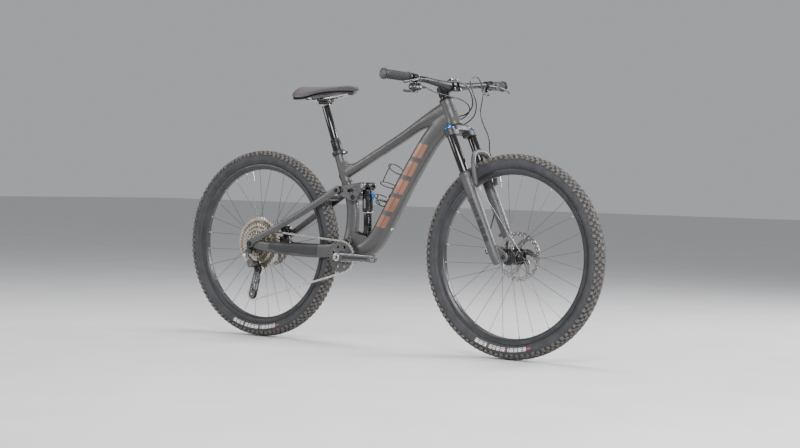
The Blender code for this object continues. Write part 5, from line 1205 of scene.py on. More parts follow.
def chainstays():
    skin = []
    for hand in (-1, 1):
        skin.append(loft(lower_stay(hand), 24, 3.0))
        skin.append(rod(REAR_AXLE + Y_AXIS * hand * (REAR_HUB_HALF + 0.0006),
                        REAR_AXLE + Y_AXIS * hand * 0.0804, 0.017, 32))
        skin.append(rod(side(MAIN_PIVOT, hand * 0.0345), side(MAIN_PIVOT, hand * 0.0425), 0.015, 32))
    skin.append(block((0.016, 0.08, 0.034), (-0.1975, 0, 0.364), 0, 0.004))
    skin.append(block((0.036, 0.008, 0.011), (-0.52, 0.07, 0.383), 0, 0.002))
    bores = [crosswise(REAR_AXLE, 0.12, 0.0063, 24, 0)]
    piece = Piece("chainstays")
    piece.add(melted(skin, 0.0017, 5, bores), FRAME_PAINT)
    piece.add(plate([HANGER], 0.0032, -0.0774, 0.0006), BLACK_ALLOY)
    for hand in (-1, 1):
        piece.add(pivot_cap(MAIN_PIVOT, 0.042, hand, 0.0088), BLACK_ALLOY)
    guard = [(side((x, z), -y - 0.0004), depth, width) for x, z, y, depth, width in (
        (-0.5, 0.364, 0.0715, 0.018, 0.0066), (-0.44, 0.359, 0.063, 0.0215, 0.0085),
        (-0.35, 0.357, 0.0505, 0.0236, 0.0078), (-0.28, 0.358, 0.0435, 0.0236, 0.006))]
    piece.add(loft(guard, 20, 3.4), PLASTIC)
    piece.build("swingarm", ["chainstays"], "frame_paint", 50)


def rear_axle():
    half, head = 0.0884, 0.01
    profile = [(0, -0.0915), (0.0088, -0.0915), (head, -0.0906), (head, -half), (0.006, -half), (0.006, half),
               (head, half), (head, 0.0906), (0.0088, 0.0915), (0, 0.0915)]
    piece = Piece("rear_axle")
    piece.add(lathe(profile, REAR_AXLE, Y_AXIS, 32, 0.0003), BLACK_ALLOY)
    # A flat dark hexagon on the axle's end: painted shade for its hex socket.
    piece.add(lathe(ring(0, 0.0042, 0, 0.0006), REAR_AXLE - Y_AXIS * 0.0921, Y_AXIS, 6, 0), DARK_PRINT_AND_SHADE)
    piece.build("swingarm", ["rear_axle"], "black_alloy")


SHOCK_DOWN = (side(SHOCK_FOOT) - side(SHOCK_TOP)).normalized()
SHOCK_LENGTH = (side(SHOCK_FOOT) - side(SHOCK_TOP)).length
CAN_RADIUS = 0.02


def shock_body():
    """The shock's can, with its upper eyelet, grooves, prints and air valve."""
    top = side(SHOCK_TOP)
    profile = [(0.0162, 0.014), (0.0168, 0.014), (0.0185, 0.0165), (0.0195, 0.02), (0.0195, 0.036),
               (0.0182, 0.0372),
               (0.0182, 0.039), (CAN_RADIUS, 0.0402), (CAN_RADIUS, 0.096), (0.019, 0.0985), (0.0196, 0.0995),
               (0.018, 0.106), (0.0162, 0.106)]
    piece = Piece("shock_body")
    piece.add(lathe(profile, top, SHOCK_DOWN, 48, 0.0005), BLACK_ALLOY)
    for height in (0.0425, 0.0452, 0.0905, 0.0932):
        piece.add(lathe(ring(0.0195, 0.02035, height, height + 0.001), top, SHOCK_DOWN, 48, 0.0002),
                  SATIN_BLACK_AND_SHADE)
    piece.add(lathe(ring(0.018, 0.0228, 0.101, 0.1045), top, SHOCK_DOWN, 48, 0.0005), BRIGHT_ALLOY_AND_HIGHLIGHT)
    for first, last in ((1.35, 1.75), (-1.75, -1.35)):
        piece.add(wrapped(top, SHOCK_DOWN, CAN_RADIUS, 0.05, 0.086, first, last, 0.00015), GREY_PRINT)
    piece.add(lathe(ring(0.0048, 0.013, -0.012, 0.012), top, Y_AXIS, 40), BLACK_ALLOY)
    for hand in (-1, 1):
        piece.add(lathe(ring(0.0048, 0.0085, 0.012, 0.015), top, Y_AXIS * hand, 32), BRIGHT_ALLOY_AND_HIGHLIGHT)
    valve = top + SHOCK_DOWN * 0.028 + Vector((-0.0185, 0, 0))
    piece.add(lathe([(0, 0), (0.0045, 0), (0.0045, 0.008), (0.0035, 0.0095), (0, 0.0095)], valve, -X_AXIS,
                    20), SILVER)
    piece.build("shock_body", ["shock_body"], "black_alloy")


def shock_shaft():
    """The shock's lower part, with its bearing cup, travel ring and lower eyelet."""
    top, foot, length = side(SHOCK_TOP), side(SHOCK_FOOT), SHOCK_LENGTH
    cup = [(0.015, length - 0.03), (0.0168, length - 0.03), (0.018, length - 0.026), (0.018, length - 0.018),
           (0.012, length - 0.012), (0, length - 0.012)]
    piece = Piece("shock_shaft")
    piece.add(rod(top + SHOCK_DOWN * 0.1, foot - SHOCK_DOWN * 0.014, 0.0156, 44), STANCHION)
    piece.add(lathe(ring(0.0075, 0.0125, -0.012, 0.012), foot, Y_AXIS, 40), BLACK_ALLOY)
    piece.add(lathe(cup, top, SHOCK_DOWN, 40), BLACK_ALLOY)
    piece.add(lathe(ring(0.0154, 0.0166, length - 0.048, length - 0.045), top, SHOCK_DOWN, 32), SEAL)
    piece.build("shock_shaft", ["shock_shaft"], "stanchion_black")


def shock_lever():
    pivot = side(SHOCK_TOP) + SHOCK_DOWN * 0.028 + Vector((0.0203, 0, 0))
    piece = Piece("shock_lever")
    piece.add(lathe([(0, 0), (0.008, 0), (0.008, 0.0045), (0.007, 0.0065), (0, 0.007)], pivot, X_AXIS, 28),
              BLUE)
    piece.add(block((0.0048, 0.0078, 0.028), pivot + Vector((0.0045, 0, -0.014)), 0, 0.0014, 3), BLUE)
    piece.build("shock_lever", ["shock_lever"], "blue_anodised")


def caliper(name, centre, hub_centre, disc_y, body):
    """A two-piston brake caliper over the disc's edge, with its bolts, pads and banjo."""
    outwards = Vector((centre.x - hub_centre.x, 0, centre.z - hub_centre.z)).normalized()
    along = outwards.cross(Y_AXIS)
    turn = Matrix((along, Y_AXIS, outwards)).transposed().to_4x4()
    middle = Vector((centre.x, disc_y, centre.z))
    piece = Piece(name)
    for hand in (-1, 1):
        half = middle + Y_AXIS * hand * 0.0078
        piece.add(block((0.046, 0.012, 0.033), half, bevel=0.0035, segments=3, turn=turn), BLACK_ALLOY)
        piece.add(rod(half, half + Y_AXIS * hand * 0.0062, 0.0115, 28), BLACK_ALLOY)
        piece.add(bolt(half + Y_AXIS * hand * 0.0062, Y_AXIS * hand, 0.006, 0.001), GREY_ALLOY)
        piece.add(block((0.024, 0.0016, 0.014), middle + Y_AXIS * hand * 0.0026 - outwards * 0.01,
                        bevel=0.0003, segments=1, turn=turn), SILVER)
    piece.add(block((0.05, 0.02, 0.007), middle + outwards * 0.013, bevel=0.003, segments=3, turn=turn),
              BLACK_ALLOY)
    for end in (-1, 1):
        piece.add(bolt(middle + along * end * 0.019 + outwards * 0.016, outwards, 0.0042, 0.0034), SILVER)
    piece.add(rod(middle + outwards * 0.014, middle + outwards * 0.023, 0.0055, 24), GREY_ALLOY)
    piece.add(bolt(middle + outwards * 0.0228, outwards, 0.0048, 0.0022), SILVER)
    for rib in range(4):
        piece.add(block((0.002, 0.018, 0.006), middle + along * (rib - 1.5) * 0.0055 + outwards * 0.0168,
                        bevel=0.0005, segments=1, turn=turn), BLACK_ALLOY)
    piece.build(body, [name], "black_alloy")


# ---- drivetrain ----
COG_Y = SMALLEST_COG_Y + COG_PITCH * CHAIN_COG
SOLID_COGS = 4
GUIDE_PULLEY = Vector((-0.578, COG_Y, 0.268))
TENSION_PULLEY = Vector((-0.604, COG_Y, 0.168))
B_PIVOT = Vector((-0.5965, 0, 0.34))
P_PIVOT = Vector((-0.586, 0, 0.29))


def toothed(centre, teeth, pitch_radius, height=0.0028, start=0.0):
    """The outline of a sprocket in the side plane."""
    outline = []
    for tooth in range(teeth):
        for share, rise in ((0.0, 1.0), (0.12, 0.95), (0.26, 0.1), (0.42, -0.65), (0.58, -0.65),
                            (0.74, 0.1), (0.88, 0.95)):
            outline.append(polar(centre, pitch_radius + height * rise,
                                 start + 2 * pi * (tooth + share) / teeth))
    return outline


def cog(centre, index, teeth):
    """The outlines of one cog: its teeth, its bore and, in a large one, a ring of holes."""
    radius = CHAIN_LINK * teeth / (2 * pi)
    outlines = [toothed(centre, teeth, radius - 0.0008, 0.0042), circle(centre, 0.0176, 40)]
    if index > SOLID_COGS:
        count = teeth // 2
        reach = (cog_inner(index) + radius - 0.006) / 2
        for angle in around(count, 0.3 * index):
            outlines.append(circle(polar(centre, reach, angle), min(0.0056, reach * pi / count * 0.7), 12))
    return outlines


def cog_inner(index):
    """The radius where the web of a large cog begins, outside the teeth of a smaller one."""
    return max(0.0215, CHAIN_LINK * COG_TEETH[index - 3] / (2 * pi) - 0.004)


def cassette():
    piece = Piece("cassette")
    for index, teeth in enumerate(COG_TEETH):
        y = SMALLEST_COG_Y + COG_PITCH * index
        shape = plate(cog((REAR_AXLE.x, REAR_AXLE.z), index, teeth), 0.0009, y, 0.00025)
        piece.add(shape, NICKEL if index % 2 else DARK_NICKEL)
        # A dark ring in front of each larger cog's web: painted shade between the cogs.
        if SOLID_COGS < index < len(COG_TEETH) - 1:
            shade = ring(max(0.0178, cog_inner(index) - 0.006), CHAIN_LINK * teeth / (2 * pi) - 0.0036, 0,
                         0.0008)
            piece.add(lathe(shade, REAR_AXLE + Y_AXIS * (y + 0.0011), Y_AXIS, 64, 0), DARK_PRINT_AND_SHADE)
        if index < len(COG_TEETH) - 1:
            spacer = REAR_AXLE + Y_AXIS * (SMALLEST_COG_Y + COG_PITCH * (index + 0.5))
            piece.add(lathe(ring(0.0176, 0.0208, -0.003, 0.003), spacer, Y_AXIS, 40), BLACK_ALLOY)
    lock_ring = [(0.0115, -0.0022), (0.016, -0.0022), (0.0172, -0.0008), (0.0172, 0.0), (0.0115, 0.0)]
    piece.add(lathe(lock_ring, REAR_AXLE + Y_AXIS * (SMALLEST_COG_Y - 0.0008), Y_AXIS, 40), BLACK_ALLOY)
    piece.build("cassette", ["cassette"], "nickel")


def tangent(centre_a, radius_a, centre_b, radius_b, hand):
    """The touching points of a straight run from circle a to circle b; a negative radius_b crosses over."""
    gap = centre_b - centre_a
    lean = asin((radius_b - radius_a) / gap.length) * hand
    angle = atan2(gap.z, gap.x) - hand * pi / 2 - lean
    normal = Vector((cos(angle), 0, sin(angle)))
    return centre_a + normal * radius_a, centre_b + normal * radius_b


def chain_path():
    """The chain's centre line: round the chainring, the cog and the guide and tension pulleys."""
    ring_centre = Vector((BOTTOM_BRACKET.x, CHAINLINE, BOTTOM_BRACKET.z))
    cog = Vector((REAR_AXLE.x, COG_Y, REAR_AXLE.z))
    wheels = [(ring_centre, CHAINRING_RADIUS, 1), (cog, CHAIN_LINK * COG_TEETH[CHAIN_COG] / (2 * pi), 1),
              (GUIDE_PULLEY, PULLEY_RADIUS, -1), (TENSION_PULLEY, PULLEY_RADIUS, 1)]
    runs = []
    for (ca, ra, ha), (cb, rb, hb) in zip(wheels, wheels[1:] + wheels[:1]):
        start, end = tangent(Vector((ca.x, 0, ca.z)), ra, Vector((cb.x, 0, cb.z)), rb if ha == hb else -rb,
                             ha)
        runs.append((Vector((start.x, ca.y, start.z)), Vector((end.x, cb.y, end.z))))
    path = []
    for index, (centre, radius, hand) in enumerate(wheels):
        enter, leave = runs[index - 1][1] - centre, runs[index][0] - centre
        first, last = atan2(enter.z, enter.x), atan2(leave.z, leave.x)
        sweep = (last - first) * hand % (2 * pi)
        count = max(2, round(sweep / radians(5)))
        for step in range(count + 1):
            angle = first + hand * sweep * step / count
            path.append(centre + Vector((radius * cos(angle), 0, radius * sin(angle))))
    return path


def evenly(path, spacing):
    """Points along a closed path, the nearest whole number of spacings apart."""
    spans = [(b - a).length for a, b in zip(path, path[1:] + path[:1])]
    total = sum(spans)
    count = round(total / spacing / 2) * 2
    step, places = total / count, []
    travelled, index = 0.0, 0
    for k in range(count):
        want = k * step
        while travelled + spans[index] < want:
            travelled += spans[index]
            index += 1
        a, b = path[index], path[(index + 1) % len(path)]
        places.append(a.lerp(b, (want - travelled) / spans[index]))
    return places


def link_outline():
    """One chain plate, waisted between its two rivets, with the pitch along X."""
    outline = []
    for k in range(24):
        angle = 2 * pi * k / 24
        centre = CHAIN_LINK / 2 * (1 if cos(angle) >= 0 else -1)
        outline.append((centre + 0.004 * cos(angle),
                        0.004 * sin(angle) * (0.78 if abs(cos(angle)) < 0.2 else 1)))
    return outline


def chain():
    pins = evenly(chain_path(), CHAIN_LINK)
    outer = [plate([link_outline()], 0.00045, y, 0.00015) for y in (-0.0023, 0.0023)]
    inner = [plate([link_outline()], 0.00045, y, 0.00015) for y in (-0.0013, 0.0013)]
    roller = merged(crosswise(Vector(), 0.0028, 0.0017, 10, 0), crosswise(Vector(), 0.001, 0.0038, 14, 0))
    piece = Piece("chain")
    for k, (a, b) in enumerate(zip(pins, pins[1:] + pins[:1])):
        turn = Matrix.Rotation(-atan2(b.z - a.z, b.x - a.x), 4, "Y")
        place = Matrix.Translation((a + b) / 2) @ turn
        for shape in (outer if k % 2 else inner):
            piece.add(shape, CHAIN_STEEL, place)
        piece.add(roller, CHAIN_STEEL, Matrix.Translation(a))
    piece.build("swingarm", ["chain"], "nickel", 60)


def chainring():
    centre = (BOTTOM_BRACKET.x, BOTTOM_BRACKET.z)
    outlines = [toothed(centre, CHAINRING_TEETH, CHAINRING_RADIUS - 0.0012, 0.0042), circle(centre, 0.02, 40)]
    middle = 0.0405
    for k, angle in enumerate(around(8, 0.5)):
        far = 0.0084 if k % 2 else 0.0058
        corners = ((middle - far, angle), (middle, angle + 0.15), (middle + far, angle),
                   (middle, angle - 0.15))
        outlines.append([polar(centre, r, a) for r, a in corners])
    piece = Piece("chainring")
    piece.add(plate(outlines, 0.0016, CHAINLINE, 0.0004), GREY_ALLOY)
    for angle in around(8, 0.5):
        spot = wheel_point(BOTTOM_BRACKET, 0.0243, CHAINLINE - 0.0018, angle)
        piece.add(bolt(spot, -Y_AXIS, 0.0022, 0.0012), GREY_ALLOY)
    for angle in around(CHAINRING_TEETH // 2, 0.25):
        spot = wheel_point(BOTTOM_BRACKET, 0.053, CHAINLINE, angle)
        piece.add(crosswise(spot, 0.002, 0.0016, 10), GREY_ALLOY)
    piece.build("crank", ["chainring"], "black_alloy")


def crank_arm(name, hand, ahead):
    """A crank arm with a dark strip along its face as painted shade for a shallow channel, and bright strips
    along its edges as painted highlights.
    """
    def spot(reach, y, up=0.001):
        return BOTTOM_BRACKET + Vector((reach * ahead, hand * y, up))

    face = 0.087
    stations = [(spot(-0.018, 0.07, 0), 0.009, 0.0055), (spot(-0.012, 0.0705, 0), 0.0165, 0.008),
                (spot(0, 0.0715, 0), 0.019, 0.0088), (spot(0.04, 0.074), 0.0165, 0.0085),
                (spot(0.12, 0.079), 0.0145, 0.007), (spot(CRANK_LENGTH, face - 0.0065), 0.015, 0.0065),
                (spot(CRANK_LENGTH + 0.01, face - 0.0065), 0.0125, 0.0062),
                (spot(CRANK_LENGTH + 0.014, face - 0.0065), 0.008, 0.005)]
    seat = rod(spot(CRANK_LENGTH, face - 0.012), spot(CRANK_LENGTH, face), 0.0135, 36)
    boss = rod(spot(0, 0.0446, 0), spot(0, 0.07, 0), 0.0185, 36)
    hole = rod(spot(CRANK_LENGTH, 0.05), spot(CRANK_LENGTH, 0.12), 0.007, 32, 0)
    piece = Piece(name)
    piece.add(melted([loft(stations, 28, 4.2), seat, boss], 0.0013, 3, [hole]), GREY_ALLOY)
    # A dark strip on the crank's face: painted shade for a shallow channel.
    channel = [(spot(0.026, 0.0818), 0.006, 0.0006), (spot(0.06, 0.0836), 0.005, 0.0006),
               (spot(0.12, 0.086), 0.0042, 0.0006), (spot(0.15, 0.0867), 0.003, 0.0006)]
    piece.add(loft(channel, 16, 4), SATIN_BLACK_AND_SHADE)
    # Thin bright strips along the crank's edges: painted highlights.
    for up in (-1, 1):
        edge = [spot(0.02, 0.0795, up * 0.015), spot(0.06, 0.0815, up * 0.014),
                spot(0.12, 0.0845, up * 0.0122), spot(0.158, 0.0862, up * 0.012)]
        piece.add(tube(smooth_route(edge, 5), 0.0009, 8), BRIGHT_ALLOY_AND_HIGHLIGHT)
    piece.add(lathe(ring(0.0071, 0.0098, 0, 0.0006), spot(CRANK_LENGTH, face), Y_AXIS * hand, 32, 0.0001),
              BRIGHT_ALLOY_AND_HIGHLIGHT)
    for turn in range(3):
        low = 0.0035 * turn
        piece.add(lathe(ring(0.0064, 0.0072, low, low + 0.0012), spot(CRANK_LENGTH, face - 0.011),
                        Y_AXIS * hand, 28, 0),
                  GREY_ALLOY)
    return piece


def cranks():
    right = crank_arm("crank_right", -1, 1)
    right.add(rod(BOTTOM_BRACKET - Y_AXIS * 0.08, BOTTOM_BRACKET + Y_AXIS * 0.078, 0.0119, 36), SILVER)
    cap_start = BOTTOM_BRACKET - Y_AXIS * 0.0795
    right.add(lathe([(0.0074, 0), (0.0152, 0), (0.0156, 0.0012), (0.015, 0.0056), (0.0138, 0.0062),
                     (0.0082, 0.0062),
                     (0.0074, 0.0054)], cap_start, -Y_AXIS, 44, 0.0004), SILVER)
    right.add(block((0.0105, 0.001, 0.007), BOTTOM_BRACKET - Y_AXIS * 0.0806, bevel=0.0004), DARK_PRINT_AND_SHADE)
    right.build("crank", ["crank_right"], "grey_alloy", 45)
    left = crank_arm("crank_left", 1, -1)
    left.add(lathe([(0, 0.078), (0.012, 0.078), (0.0135, 0.0795), (0.0135, 0.0815), (0.01, 0.083),
                    (0, 0.083)],
                   BOTTOM_BRACKET, Y_AXIS, 36), BLACK_ALLOY)
    for k in (-1, 1):
        left.add(bolt(BOTTOM_BRACKET + Vector((0.016, 0.07, k * 0.004 - 0.012)), X_AXIS, 0.0026, 0.002),
                 SILVER)
    left.build("crank", ["crank_left"], "grey_alloy", 45)


def pulley(name, centre):
    flat = (centre.x, centre.z)
    outlines = [toothed(flat, 12, PULLEY_RADIUS - 0.0036, 0.0019), circle(flat, 0.008, 24)]
    outlines += [circle(polar(flat, 0.013, angle), 0.003, 12) for angle in around(6)]
    piece = Piece(name)
    piece.add(plate(outlines, 0.0012, centre.y, 0.0003), PLASTIC)
    piece.add(lathe(ring(0.0038, 0.0084, -0.0016, 0.0016), centre, Y_AXIS, 32), SILVER)
    piece.build(name, [name], "black_plastic")


def derailleur_body():
    """The derailleur's parallelogram, between its two knuckles."""
    link = [(B_PIVOT + Vector((-0.004, -0.09, -0.004)), 0.01, 0.006),
            (B_PIVOT + Vector((-0.006, -0.09, -0.024)), 0.013, 0.008),
            (P_PIVOT + Vector((-0.004, -0.085, 0.01)), 0.013, 0.0085),
            (P_PIVOT + Vector((0, -0.08, 0.000)), 0.011, 0.008)]
    face = [(B_PIVOT + Vector((-0.008, -0.0968, -0.01)), 0.006, 0.0012),
            (B_PIVOT + Vector((-0.009, -0.0985, -0.026)), 0.0085, 0.0014),
            (P_PIVOT + Vector((-0.006, -0.094, 0.012)), 0.008, 0.0014)]
    knuckle = rod(B_PIVOT - Y_AXIS * 0.092, B_PIVOT - Y_AXIS * 0.0811, 0.0125, 36)
    housing = rod(P_PIVOT - Y_AXIS * 0.0845, P_PIVOT - Y_AXIS * 0.0605, 0.015, 36)
    piece = Piece("derailleur_body")
    piece.add(melted([knuckle, loft(link, 20, 3.2), housing], 0.001, 3), GREY_ALLOY)
    # A bright plate on the outer link: painted highlight.
    piece.add(loft(face, 16, 4), BRIGHT_ALLOY_AND_HIGHLIGHT)
    piece.add(bolt(B_PIVOT - Y_AXIS * 0.092, -Y_AXIS, 0.0085, 0.0022), GREY_ALLOY)
    piece.add(lathe(ring(0.0118, 0.0153, -0.001, 0.0008), P_PIVOT - Y_AXIS * 0.0838, -Y_AXIS, 36), GREY_ALLOY)
    piece.add(bolt(P_PIVOT - Y_AXIS * 0.0845, -Y_AXIS, 0.006, 0.0014), SILVER)
    for spot in ((-0.011, -0.089, -0.012), (-0.013, -0.089, -0.018)):
        piece.add(bolt(B_PIVOT + Vector(spot), -X_AXIS, 0.0022, 0.0026), SILVER)
    piece.build("derailleur_body", ["derailleur_body"], "black_alloy", 45)


def derailleur_cage():
    """The cage's two windowed plates, the pulleys' bolts, and the arm to its pivot."""
    guide, tension = (GUIDE_PULLEY.x, GUIDE_PULLEY.z), (TENSION_PULLEY.x, TENSION_PULLEY.z)

    def between(share):
        return guide[0] + (tension[0] - guide[0]) * share, guide[1] + (tension[1] - guide[1]) * share

    outlines = [hull_outline([(guide, 0.0135), (tension, 0.016)], 20),
                hull_outline([(between(0.24), 0.0066), (between(0.46), 0.0074)], 12),
                hull_outline([(between(0.58), 0.0076), (between(0.78), 0.0078)], 12)]
    piece = Piece("derailleur_cage")
    for hand in (-1, 1):
        y = COG_Y + hand * 0.0068
        piece.add(plate(outlines, 0.0011, y, 0.0004), GREY_ALLOY)
        for centre in (GUIDE_PULLEY, TENSION_PULLEY):
            spot = Vector((centre.x, y + hand * 0.0011, centre.z))
            piece.add(bolt(spot, Y_AXIS * hand, 0.0042, 0.001), SILVER)
    for centre in (GUIDE_PULLEY, TENSION_PULLEY):
        piece.add(crosswise(centre, 0.007, 0.0034, 20), SILVER)
    arm = hull_outline([((P_PIVOT.x, P_PIVOT.z), 0.012), (guide, 0.011)], 18)
    piece.add(plate([arm], 0.002, COG_Y - 0.0085, 0.0005), BLACK_ALLOY)
    piece.add(rod(P_PIVOT - Y_AXIS * 0.0602, P_PIVOT + Y_AXIS * (COG_Y - 0.008), 0.01, 32), GREY_ALLOY)
    piece.build("derailleur_cage", ["derailleur_cage"], "grey_alloy")


# ---- fork ----
LOWER_TOP = 0.3454
LEG_BOTTOM = -0.014
CROWN_LEG_TOP = 0.517


def tilted(size, centre, bevel=0.003):
    """A block squared to the steering axis."""
    return block(size, centre, radians(65) - pi / 2, bevel, 3)


def fork_crown():
    """The crown with its leg sockets, and the steerer up to the stem's cap."""
    ahead = -FORK_OFFSET
    base = fork(AXLE_TO_CROWN, ahead)
    top = STEM_BOTTOM + STEM_HEIGHT - AXLE_TO_CROWN - 0.004
    skin = [tilted((0.05, 0.088, 0.026), fork(0.519, ahead + 0.006), 0.006),
            lathe(ring(0, 0.0265, -0.01, -0.0008), base, STEER_UP, 40)]
    for y in LEG_SIDES:
        skin.append(tilted((0.04, 0.028, 0.025), fork(0.503, LEG_AHEAD - 0.001, y * 0.742), 0.005))
        skin.append(rod(on_leg(0.49, y), on_leg(CROWN_LEG_TOP, y), 0.0208, 40))
    bores = [rod(on_leg(0.45, y), on_leg(0.56, y), STANCHION_RADIUS + 0.0001, 40, 0) for y in LEG_SIDES]
    steerer = [(0, -0.001), (0.019, 0.0), (0.0186, 0.01), (0.0143, 0.06), (0.0143, top), (0, top)]
    piece = Piece("fork_crown")
    piece.add(melted(skin, 0.0016, 6, bores), PLASTIC)
    piece.add(lathe(steerer, base, STEER_UP, 36), BLACK_ALLOY)
    piece.build("steering", ["fork_crown"], "black_alloy", 50)


def stanchion(name, y):
    """A fork leg's upper tube with its scale, and on the left the air valve's cap."""
    piece = Piece(name)
    piece.add(rod(on_leg(0.2, y), on_leg(CROWN_LEG_TOP - 0.002, y), STANCHION_RADIUS, 48), STANCHION)
    for step in range(5):
        piece.add(wrapped(on_leg(0, y), STEER_UP, STANCHION_RADIUS, 0.366 + step * 0.02, 0.3672 + step * 0.02,
                          pi - 0.3, pi + 0.3, 0.00008), GREY_PRINT)
    if y > 0:
        cap = [(0, 0), (0.0205, 0), (0.0205, 0.0042), (0.019, 0.005), (0.0128, 0.0058), (0.0118, 0.0092),
               (0, 0.0095)]
        piece.add(lathe(cap, on_leg(CROWN_LEG_TOP + 0.0003, y), STEER_UP, 48), BLUE)
        # A dark hexagon in the cap: painted shade for its recess.
        recess = ring(0, 0.008, 0.009, 0.0093)
        piece.add(lathe(recess, on_leg(CROWN_LEG_TOP + 0.0006, y), STEER_UP, 6, 0), SATIN_BLACK_AND_SHADE)
    piece.build("steering", [name], "stanchion_black")


def damper_knob():
    base = on_leg(CROWN_LEG_TOP + 0.0003, -FORK_LEG_Y)
    dial = [(0, 0), (0.0205, 0), (0.0205, 0.004), (0.014, 0.006), (0.0118, 0.0125), (0, 0.013)]
    piece = Piece("damper_knob")
    piece.add(lathe(dial, base, STEER_UP, 48), BLUE)
    for angle in around(12):
        low = facing(STEER_UP) @ Vector((0.0122 * cos(angle), 0.0122 * sin(angle), 0))
        piece.add(rod(base + low + STEER_UP * 0.006, base + low + STEER_UP * 0.0122, 0.0012, 8), BLUE)
    piece.build("damper_knob", ["damper_knob"], "blue_anodised")


# The lower and upper ends of the dark bars on each leg, and half the angle that they go round it.
LEG_MARKS = ((0.076, 0.098, 0.5), (0.104, 0.128, 0.5), (0.134, 0.158, 0.5), (0.172, 0.182, 0.26),
             (0.187, 0.197, 0.26), (0.202, 0.212, 0.26), (0.217, 0.227, 0.26), (0.232, 0.242, 0.26))


def lowers_skin():
    """The shapes of the legs, the arch, the dropouts and the caliper's two mounts."""
    height = LOWER_TOP - LEG_BOTTOM
    leg = [(0, 0), (0.014, 0), (0.0165, 0.012), (0.0185, 0.035), (0.019, 0.12), (0.021, 0.215),
           (0.0215, 0.25),
           (0.0215, height - 0.024), (0.0235, height - 0.018), (0.0235, height - 0.004), (0, height - 0.004)]
    skin = [lathe(leg, on_leg(LEG_BOTTOM, y), STEER_UP, 48) for y in LEG_SIDES]
    route = [fork(0.285, -0.006, -0.066), fork(0.33, 0.006, -0.066), fork(0.368, 0.013, -0.058),
             fork(0.395, 0.015, -0.04), fork(0.404, 0.016, -0.02), fork(0.406, 0.016, 0)]
    route += [Vector((p.x, -p.y, p.z)) for p in reversed(route[:-1])]
    skin.append(tube(smooth_route(route, 6), 0.011, 24, flat=0.82))
    corners = [fork(-0.014, -0.04), fork(-0.016, 0.006), fork(-0.008, 0.014), fork(0.01, 0.014),
               fork(0.06, -0.018), fork(0.06, -0.044)]
    for hand in (-1, 1):
        skin.append(plate([[(p.x, p.z) for p in corners]], 0.006, hand * 0.0613, 0.0006))
    for up in (0.052, 0.108):
        skin.append(tilted((0.022, 0.012, 0.014), fork(up, LEG_AHEAD - 0.022, 0.066), 0.002))
    return skin


def fork_lowers():
    """The cast lower legs with their seals, foot bolts and dark bars."""
    bores = [rod(on_leg(0.05, y), on_leg(0.4, y), STANCHION_RADIUS + 0.0004, 40, 0) for y in LEG_SIDES]
    bores.append(crosswise(FRONT_AXLE, 0.1, 0.0077, 28, 0))
    bores.append(lathe(ring(0, ROTOR_RADIUS + 0.004, 0.036, 0.043), FRONT_AXLE, Y_AXIS, 64, 0))
    piece = Piece("fork_lowers")
    piece.add(melted(lowers_skin(), 0.002, 6, bores), LOWERS)
    for y in LEG_SIDES:
        base = on_leg(0, y)
        piece.add(lathe(ring(0.0172, 0.0232, LOWER_TOP - 0.006, LOWER_TOP - 0.0012), base, STEER_UP, 48),
                  SEAL)
        piece.add(lathe(ring(0.0171, 0.0196, LOWER_TOP - 0.0015, LOWER_TOP + 0.0016), base, STEER_UP, 48),
                  SEAL)
        foot_bolt = bolt(on_leg(LEG_BOTTOM + 0.0006, y), -STEER_UP, 0.0062, 0.0022)
        piece.add(foot_bolt, BLUE if y < 0 else BLACK_ALLOY)
        facing_out = -pi / 2 if y < 0 else pi / 2
        for low, high, wide in LEG_MARKS:
            radius = 0.0192 + max(0.0, high - 0.09) * 0.021
            mark = wrapped(base, STEER_UP, radius, low, high, facing_out - wide, facing_out + wide, 0.0003)
            piece.add(mark, DARK_PRINT_AND_SHADE)
    piece.add(tilted((0.005, 0.012, 0.014), fork(0.058, LEG_AHEAD - 0.0195, -FORK_LEG_Y), 0.001), SILVER)
    piece.build("fork_lowers", ["fork_lowers"], "lowers_paint", 50)


def front_axle():
    half = 0.07
    profile = [(0, -half), (0.005, -half), (0.0075, -0.068), (0.0075, 0.068), (0.005, half), (0, half)]
    piece = Piece("front_axle")
    piece.add(lathe(profile, FRONT_AXLE, Y_AXIS, 32), BLACK_ALLOY)
    for hand in (-1, 1):
        # Flat dark hexagons on the axle's ends: painted shade for its hex sockets.
        piece.add(lathe(ring(0, 0.0034, 0, 0.0004), FRONT_AXLE + Y_AXIS * hand * half, Y_AXIS * hand, 6, 0),
                  DARK_PRINT_AND_SHADE)
    piece.build("fork_lowers", ["front_axle"], "black_alloy")


# ---- cockpit ----
CLAMP_CENTRE = fork(STEM_BOTTOM + 0.021, STEM_REACH - FORK_OFFSET)
BAR_ROUTE = ((0.0, CLAMP_CENTRE.x, CLAMP_CENTRE.z), (0.04, CLAMP_CENTRE.x, CLAMP_CENTRE.z),
             (0.09, 0.309, 0.992), (0.15, 0.306, 0.9985), (0.19, 0.304, 1.0015), (0.26, 0.299, 1.0045),
             (0.3865, 0.278, 1.01))
MASTER_Y = 0.246
BLADE_PIVOT_Y = 0.258
MASTER_INNER_Y = 0.196
SHIFTER_Y = -0.231
REMOTE_Y = 0.231


def bar_point(y, ahead=0.0, up=0.0):
    """A point of the bar's centre line at lateral position y, offset ahead and up."""
    reach = abs(y)
    for (y0, x0, z0), (y1, x1, z1) in zip(BAR_ROUTE, BAR_ROUTE[1:]):
        if reach <= y1 or y1 == BAR_ROUTE[-1][0]:
            t = (reach - y0) / (y1 - y0)
            return Vector((x0 + (x1 - x0) * t + ahead, y, z0 + (z1 - z0) * t + up))


SHIFT_PIVOT = bar_point(SHIFTER_Y, 0.002, -0.03)
DROPPER_PIVOT = bar_point(REMOTE_Y, 0.002, -0.027)


